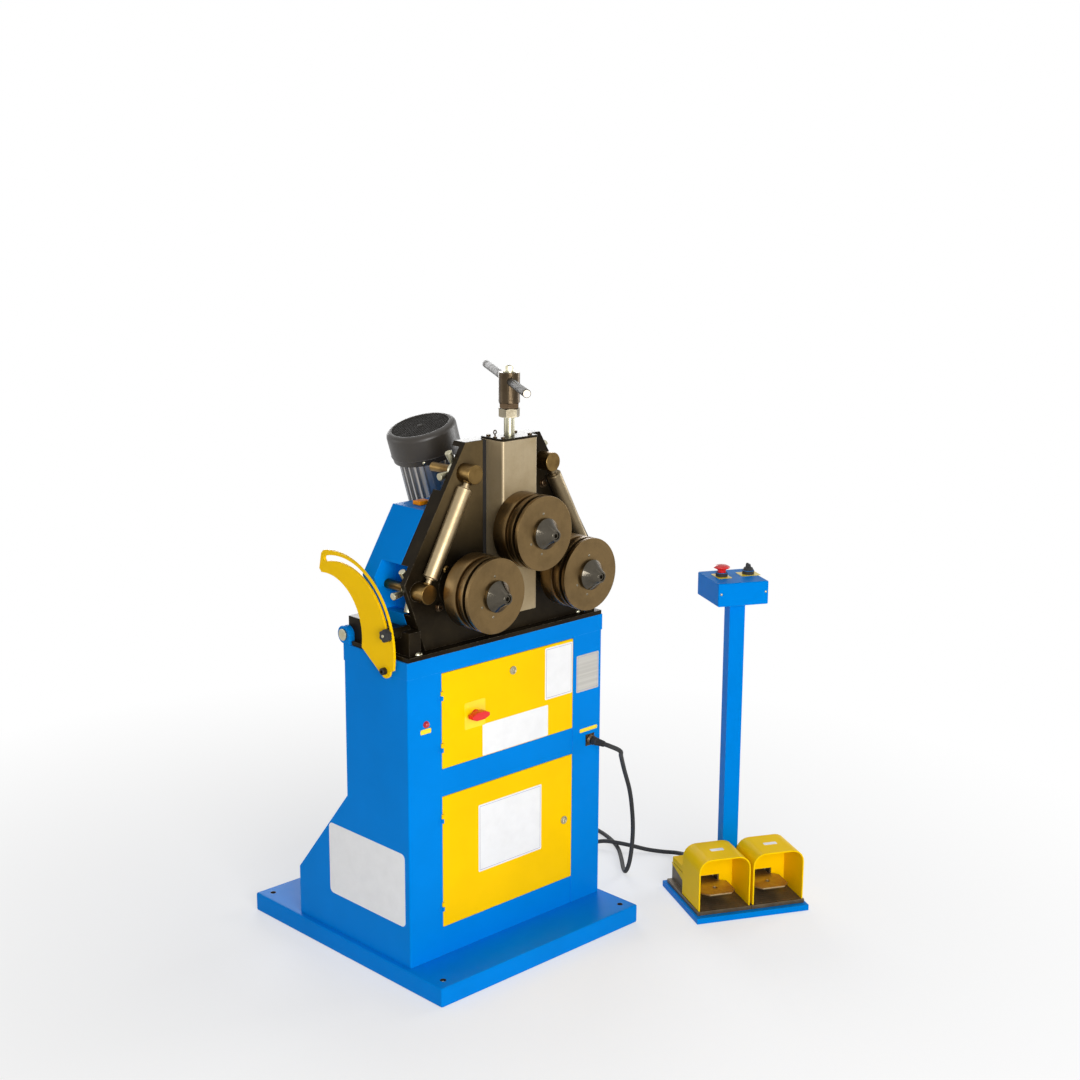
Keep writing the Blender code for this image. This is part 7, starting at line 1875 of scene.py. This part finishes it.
def make_console():
    place = console()
    piece("console_stand_post", [cad_copy("console_stand", SOFT_EDGE, 3)], "blue_enamel", "root",
          ("console_stand",))
    piece("console_case", [cad_copy("console_box", FINE_EDGE, 2)], "blue_enamel", "root",
          ("console_box",))
    front_face = BOX_B - BOX_HALF_B
    screws = []
    for a in (BOX_A - BOX_HALF_A + 0.0075, BOX_A + BOX_HALF_A - 0.0075):
        screws.append(moved(dome(0.0032, 0.0020), place @ front(a, BOX_LOW + 0.031, front_face)))
    piece("console_screws", screws, "zinc_plate", "root")
    rings = []
    for a, b in (ESTOP, SELECTOR):
        ring = turned([(0.0105, 0.0101), (0.0135, 0.0101), (0.0146, 0.0090), (0.0146, 0.0),
                       (0.0105, 0.0)], 0.0003, SMALL_STEPS)
        rings.append(moved(ring, place @ at(a, b, BOX_TOP)))
    piece("button_collars", rings, "black_plastic", "root")
    cards = []
    for (a, b), half_a, half_b in ((ESTOP, 0.0175, 0.0250), (SELECTOR, 0.0250, 0.0200)):
        cards.append(moved(block((-half_a, -half_b, 0), (half_a, half_b, 0.0007), 0.002, 3,
                                 along=2), place @ at(a, b, BOX_TOP)))
    piece("console_cards", cards, "label_yellow", "root")
    low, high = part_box("estop_button")
    button = turned([(0.0, high.z), (0.0060, high.z - 0.0002), (0.0130, high.z - 0.0016),
                     (0.0180, high.z - 0.0038), (0.0198, high.z - 0.0058),
                     (0.0200, high.z - 0.0066), (0.0192, high.z - 0.0078),
                     (0.0120, high.z - 0.0105), (0.0100, high.z - 0.0140),
                     (0.0100, low.z), (0.0, low.z)], 0.0003, 72)
    piece("stop_mushroom", [moved(button, place @ at(*ESTOP, 0))], "red_plastic", "estop",
          ("estop_button",))
    make_selector(place)


def make_selector(place):
    base_z = BOX_TOP + 0.0103
    base = turned([(0.0, 0.0062), (0.0105, 0.0060), (0.0130, 0.0), (0.0060, 0.0),
                   (0.0060, -0.0153), (0.0, -0.0153)], 0.0004, SMALL_STEPS)
    foot, crown = 0.003, 0.0158
    grip = block((-0.0036, -0.0118, foot), (0.0036, 0.0118, crown), 0.0016, 4)
    for vert in grip.verts:
        rise = (vert.co.z - foot) / (crown - foot)
        vert.co.y *= 1.0 - 0.30 * rise
        vert.co.x *= 1.0 - 0.25 * rise
    line = block((-0.0005, -0.0085, 0.0156), (0.0005, -0.0010, 0.0161))
    frame_here = place @ at(*SELECTOR, base_z)
    piece("selector_grip", [moved(base, frame_here), moved(grip, frame_here)], "black_plastic",
          "selector", ("selector_knob",))
    piece("selector_line", [moved(line, frame_here)], "label_white", "selector")


def make_pedals():
    place = console()
    for name, side in (("left", -1), ("right", 1)):
        a = side * UNIT_SPREAD
        piece(f"{name}_pedal_casting", [cad_copy(f"{name}_pedal_base", FINE_EDGE, 2)],
              "cast_tray", "root", (f"{name}_pedal_base",))
        tread = []
        top = STAND_TOP + 0.0098
        for index in range(TRAY_RIBS):
            b = TRAY_RIB_START + index * TRAY_RIB_PITCH
            tread.append(moved(block((-0.056, b - 0.0012, -0.0004), (0.056, b + 0.0012, 0.0008),
                                     0.0004, 2), place @ at(a, 0, top)))
        piece(f"{name}_tray_ribs", tread, "cast_tray", "root")
        piece(f"{name}_guard_shell", [cad_copy(f"{name}_pedal_guard", SOFT_EDGE, 3)],
              "guard_enamel", "root", (f"{name}_pedal_guard",))
        skirts = []
        for edge in (-1, 1):
            outline = [(0.0083, 0.0460), (0.0083, 0.0700), (0.1025, 0.0700), (0.1025, 0.0655)]
            sheet = plate(outline, GUARD_SHEET, 0.0004)
            start = a + edge * GUARD_HALF - (0.0 if edge > 0 else GUARD_SHEET)
            turn = Matrix(((0, 0, 1, start), (1, 0, 0, 0), (0, 1, 0, 0), (0, 0, 0, 1)))
            skirts.append(moved(sheet, place @ turn))
        piece(f"{name}_guard_skirts", skirts, "guard_enamel", "root")
        card = block((-0.017, -0.0065, 0), (0.017, 0.0065, LABEL_SHEET), 0.002, 3, along=2)
        piece(f"{name}_guard_label", [moved(card, place @ at(a, -0.045, 0.155))], "label_white",
              "root")
        make_treadle(name, a, place)
    gland = turned([(0.0057, 0.0140), (0.0078, 0.0140), (0.0088, 0.0080), (0.0090, 0.0),
                    (0.0057, 0.0)], 0.0004, SMALL_STEPS)
    turn = towards((-UNIT_SPREAD, 0.1031, GLAND_Z), (0, 1, 0))
    piece("pedal_gland", [moved(gland, place @ turn)], "black_plastic", "root")


def make_treadle(name, a, place):
    """Pressed pedal plate with cut toes, its arm, pivot pin and the boss beneath."""
    half, arm, corner = 0.044, 0.022, 0.016
    outline = [(-arm, 0.036), (-arm, 0.006), (-half, -0.010), (-half, -0.078 + corner),
               (-half + corner, -0.078), (half - corner, -0.078), (half, -0.078 + corner),
               (half, -0.010), (arm, 0.006), (arm, 0.036)]
    hole = circle(0.006, TINY_STEPS, (0.0, -0.040))
    sheet = plate(outline, 0.004, 0.0006, (hole,))
    boss = turned([(0.0065, -0.0002), (0.012, -0.0002), (0.012, -0.0040), (0.0065, -0.0040)],
                  0.0006, SMALL_STEPS)
    pin = rod(0.004, 0.072, 0.0003)
    shapes = [moved(sheet, place @ at(a, 0, PEDAL_AXIS - 0.002)),
              moved(boss, place @ at(a, -0.040, PEDAL_AXIS - 0.002)),
              moved(pin, place @ towards((a - 0.036, 0.036, PEDAL_AXIS), (1, 0, 0)))]
    piece(f"{name}_pedal_plate", shapes, "pedal_steel", f"{name}_treadle",
          (f"{name}_pedal",))


# Operators

class RINGROLLER_OT_stage(bpy.types.Operator):
    """Make the camera, the lamps, the world and the pale floor"""
    bl_idname = "ring_roller.stage"
    bl_label = "Stage"

    def execute(self, context):
        make_camera()
        make_lamps()
        make_world()
        make_floor()
        return {"FINISHED"}


class RINGROLLER_OT_cable(bpy.types.Operator):
    """Make the control cable with its plug and socket"""
    bl_idname = "ring_roller.cable"
    bl_label = "Control cable"

    def execute(self, context):
        make_cable()
        make_socket()
        return {"FINISHED"}


class RINGROLLER_OT_cabinet(bpy.types.Operator):
    """Make the base, the cabinet, its labels, the hinge rod and the tilt quadrant"""
    bl_idname = "ring_roller.cabinet"
    bl_label = "Cabinet"

    def execute(self, context):
        make_base()
        make_cabinet()
        make_hinge_and_quadrant()
        return {"FINISHED"}


class RINGROLLER_OT_doors(bpy.types.Operator):
    """Make both doors with their locks, labels and the main switch"""
    bl_idname = "ring_roller.doors"
    bl_label = "Doors"

    def execute(self, context):
        make_doors()
        return {"FINISHED"}


class RINGROLLER_OT_head(bpy.types.Operator):
    """Make the tilting head's castings, cover and clamp knob"""
    bl_idname = "ring_roller.head"
    bl_label = "Head"

    def execute(self, context):
        make_head()
        make_clamp_knob()
        return {"FINISHED"}


class RINGROLLER_OT_slide(bpy.types.Operator):
    """Make the slide housing, its lid, the press screw and the tee handle"""
    bl_idname = "ring_roller.slide"
    bl_label = "Slide and screw"

    def execute(self, context):
        make_slide()
        make_screw()
        return {"FINISHED"}


class RINGROLLER_OT_rolls(bpy.types.Operator):
    """Make the three rolls and their cone nuts"""
    bl_idname = "ring_roller.rolls"
    bl_label = "Rolls"

    def execute(self, context):
        make_rolls()
        return {"FINISHED"}


class RINGROLLER_OT_guides(bpy.types.Operator):
    """Make both guide rollers with their studs and capstan nuts"""
    bl_idname = "ring_roller.guides"
    bl_label = "Guides"

    def execute(self, context):
        make_guides()
        return {"FINISHED"}


class RINGROLLER_OT_motor(bpy.types.Operator):
    """Make the gearbox, the finned motor and its cowl"""
    bl_idname = "ring_roller.motor"
    bl_label = "Motor"

    def execute(self, context):
        make_gearbox()
        make_motor()
        make_cowl()
        return {"FINISHED"}


class RINGROLLER_OT_console(bpy.types.Operator):
    """Make the console with its buttons and both pedals"""
    bl_idname = "ring_roller.console"
    bl_label = "Console"

    def execute(self, context):
        make_console()
        make_pedals()
        return {"FINISHED"}


OPERATORS = (
    RINGROLLER_OT_stage, RINGROLLER_OT_cable, RINGROLLER_OT_cabinet, RINGROLLER_OT_doors,
    RINGROLLER_OT_head, RINGROLLER_OT_slide, RINGROLLER_OT_rolls, RINGROLLER_OT_guides,
    RINGROLLER_OT_motor, RINGROLLER_OT_console,
)


class RINGROLLER_PT_panel(bpy.types.Panel):
    """Colours, sizes and one button for each group of pieces"""
    bl_idname = "RINGROLLER_PT_panel"
    bl_label = "Ring Roller"
    bl_space_type = "VIEW_3D"
    bl_region_type = "UI"
    bl_category = "Ring Roller"

    def draw(self, context):
        for settings in (context.scene.ring_roller_colours, context.scene.ring_roller_sizes):
            for name in settings.bl_rna.properties.keys():
                if name not in ("rna_type", "name"):
                    self.layout.prop(settings, name)
        for operator in OPERATORS:
            self.layout.operator(operator.bl_idname)


CLASSES = (FinishColours, FinishSizes, *OPERATORS, RINGROLLER_PT_panel)


def register():
    for cls in CLASSES:
        bpy.utils.register_class(cls)
    bpy.types.Scene.ring_roller_colours = bpy.props.PointerProperty(type=FinishColours)
    bpy.types.Scene.ring_roller_sizes = bpy.props.PointerProperty(type=FinishSizes)


def unregister():
    del bpy.types.Scene.ring_roller_sizes
    del bpy.types.Scene.ring_roller_colours
    for cls in reversed(CLASSES):
        bpy.utils.unregister_class(cls)


def main():
    register()
    bpy.context.scene.view_settings.view_transform = "Standard"
    bpy.ops.ring_roller.stage()
    bpy.ops.ring_roller.cable()
    bpy.ops.ring_roller.cabinet()
    bpy.ops.ring_roller.doors()
    bpy.ops.ring_roller.head()
    bpy.ops.ring_roller.slide()
    bpy.ops.ring_roller.rolls()
    bpy.ops.ring_roller.guides()
    bpy.ops.ring_roller.motor()
    bpy.ops.ring_roller.console()


if __name__ == "__main__":
    main()
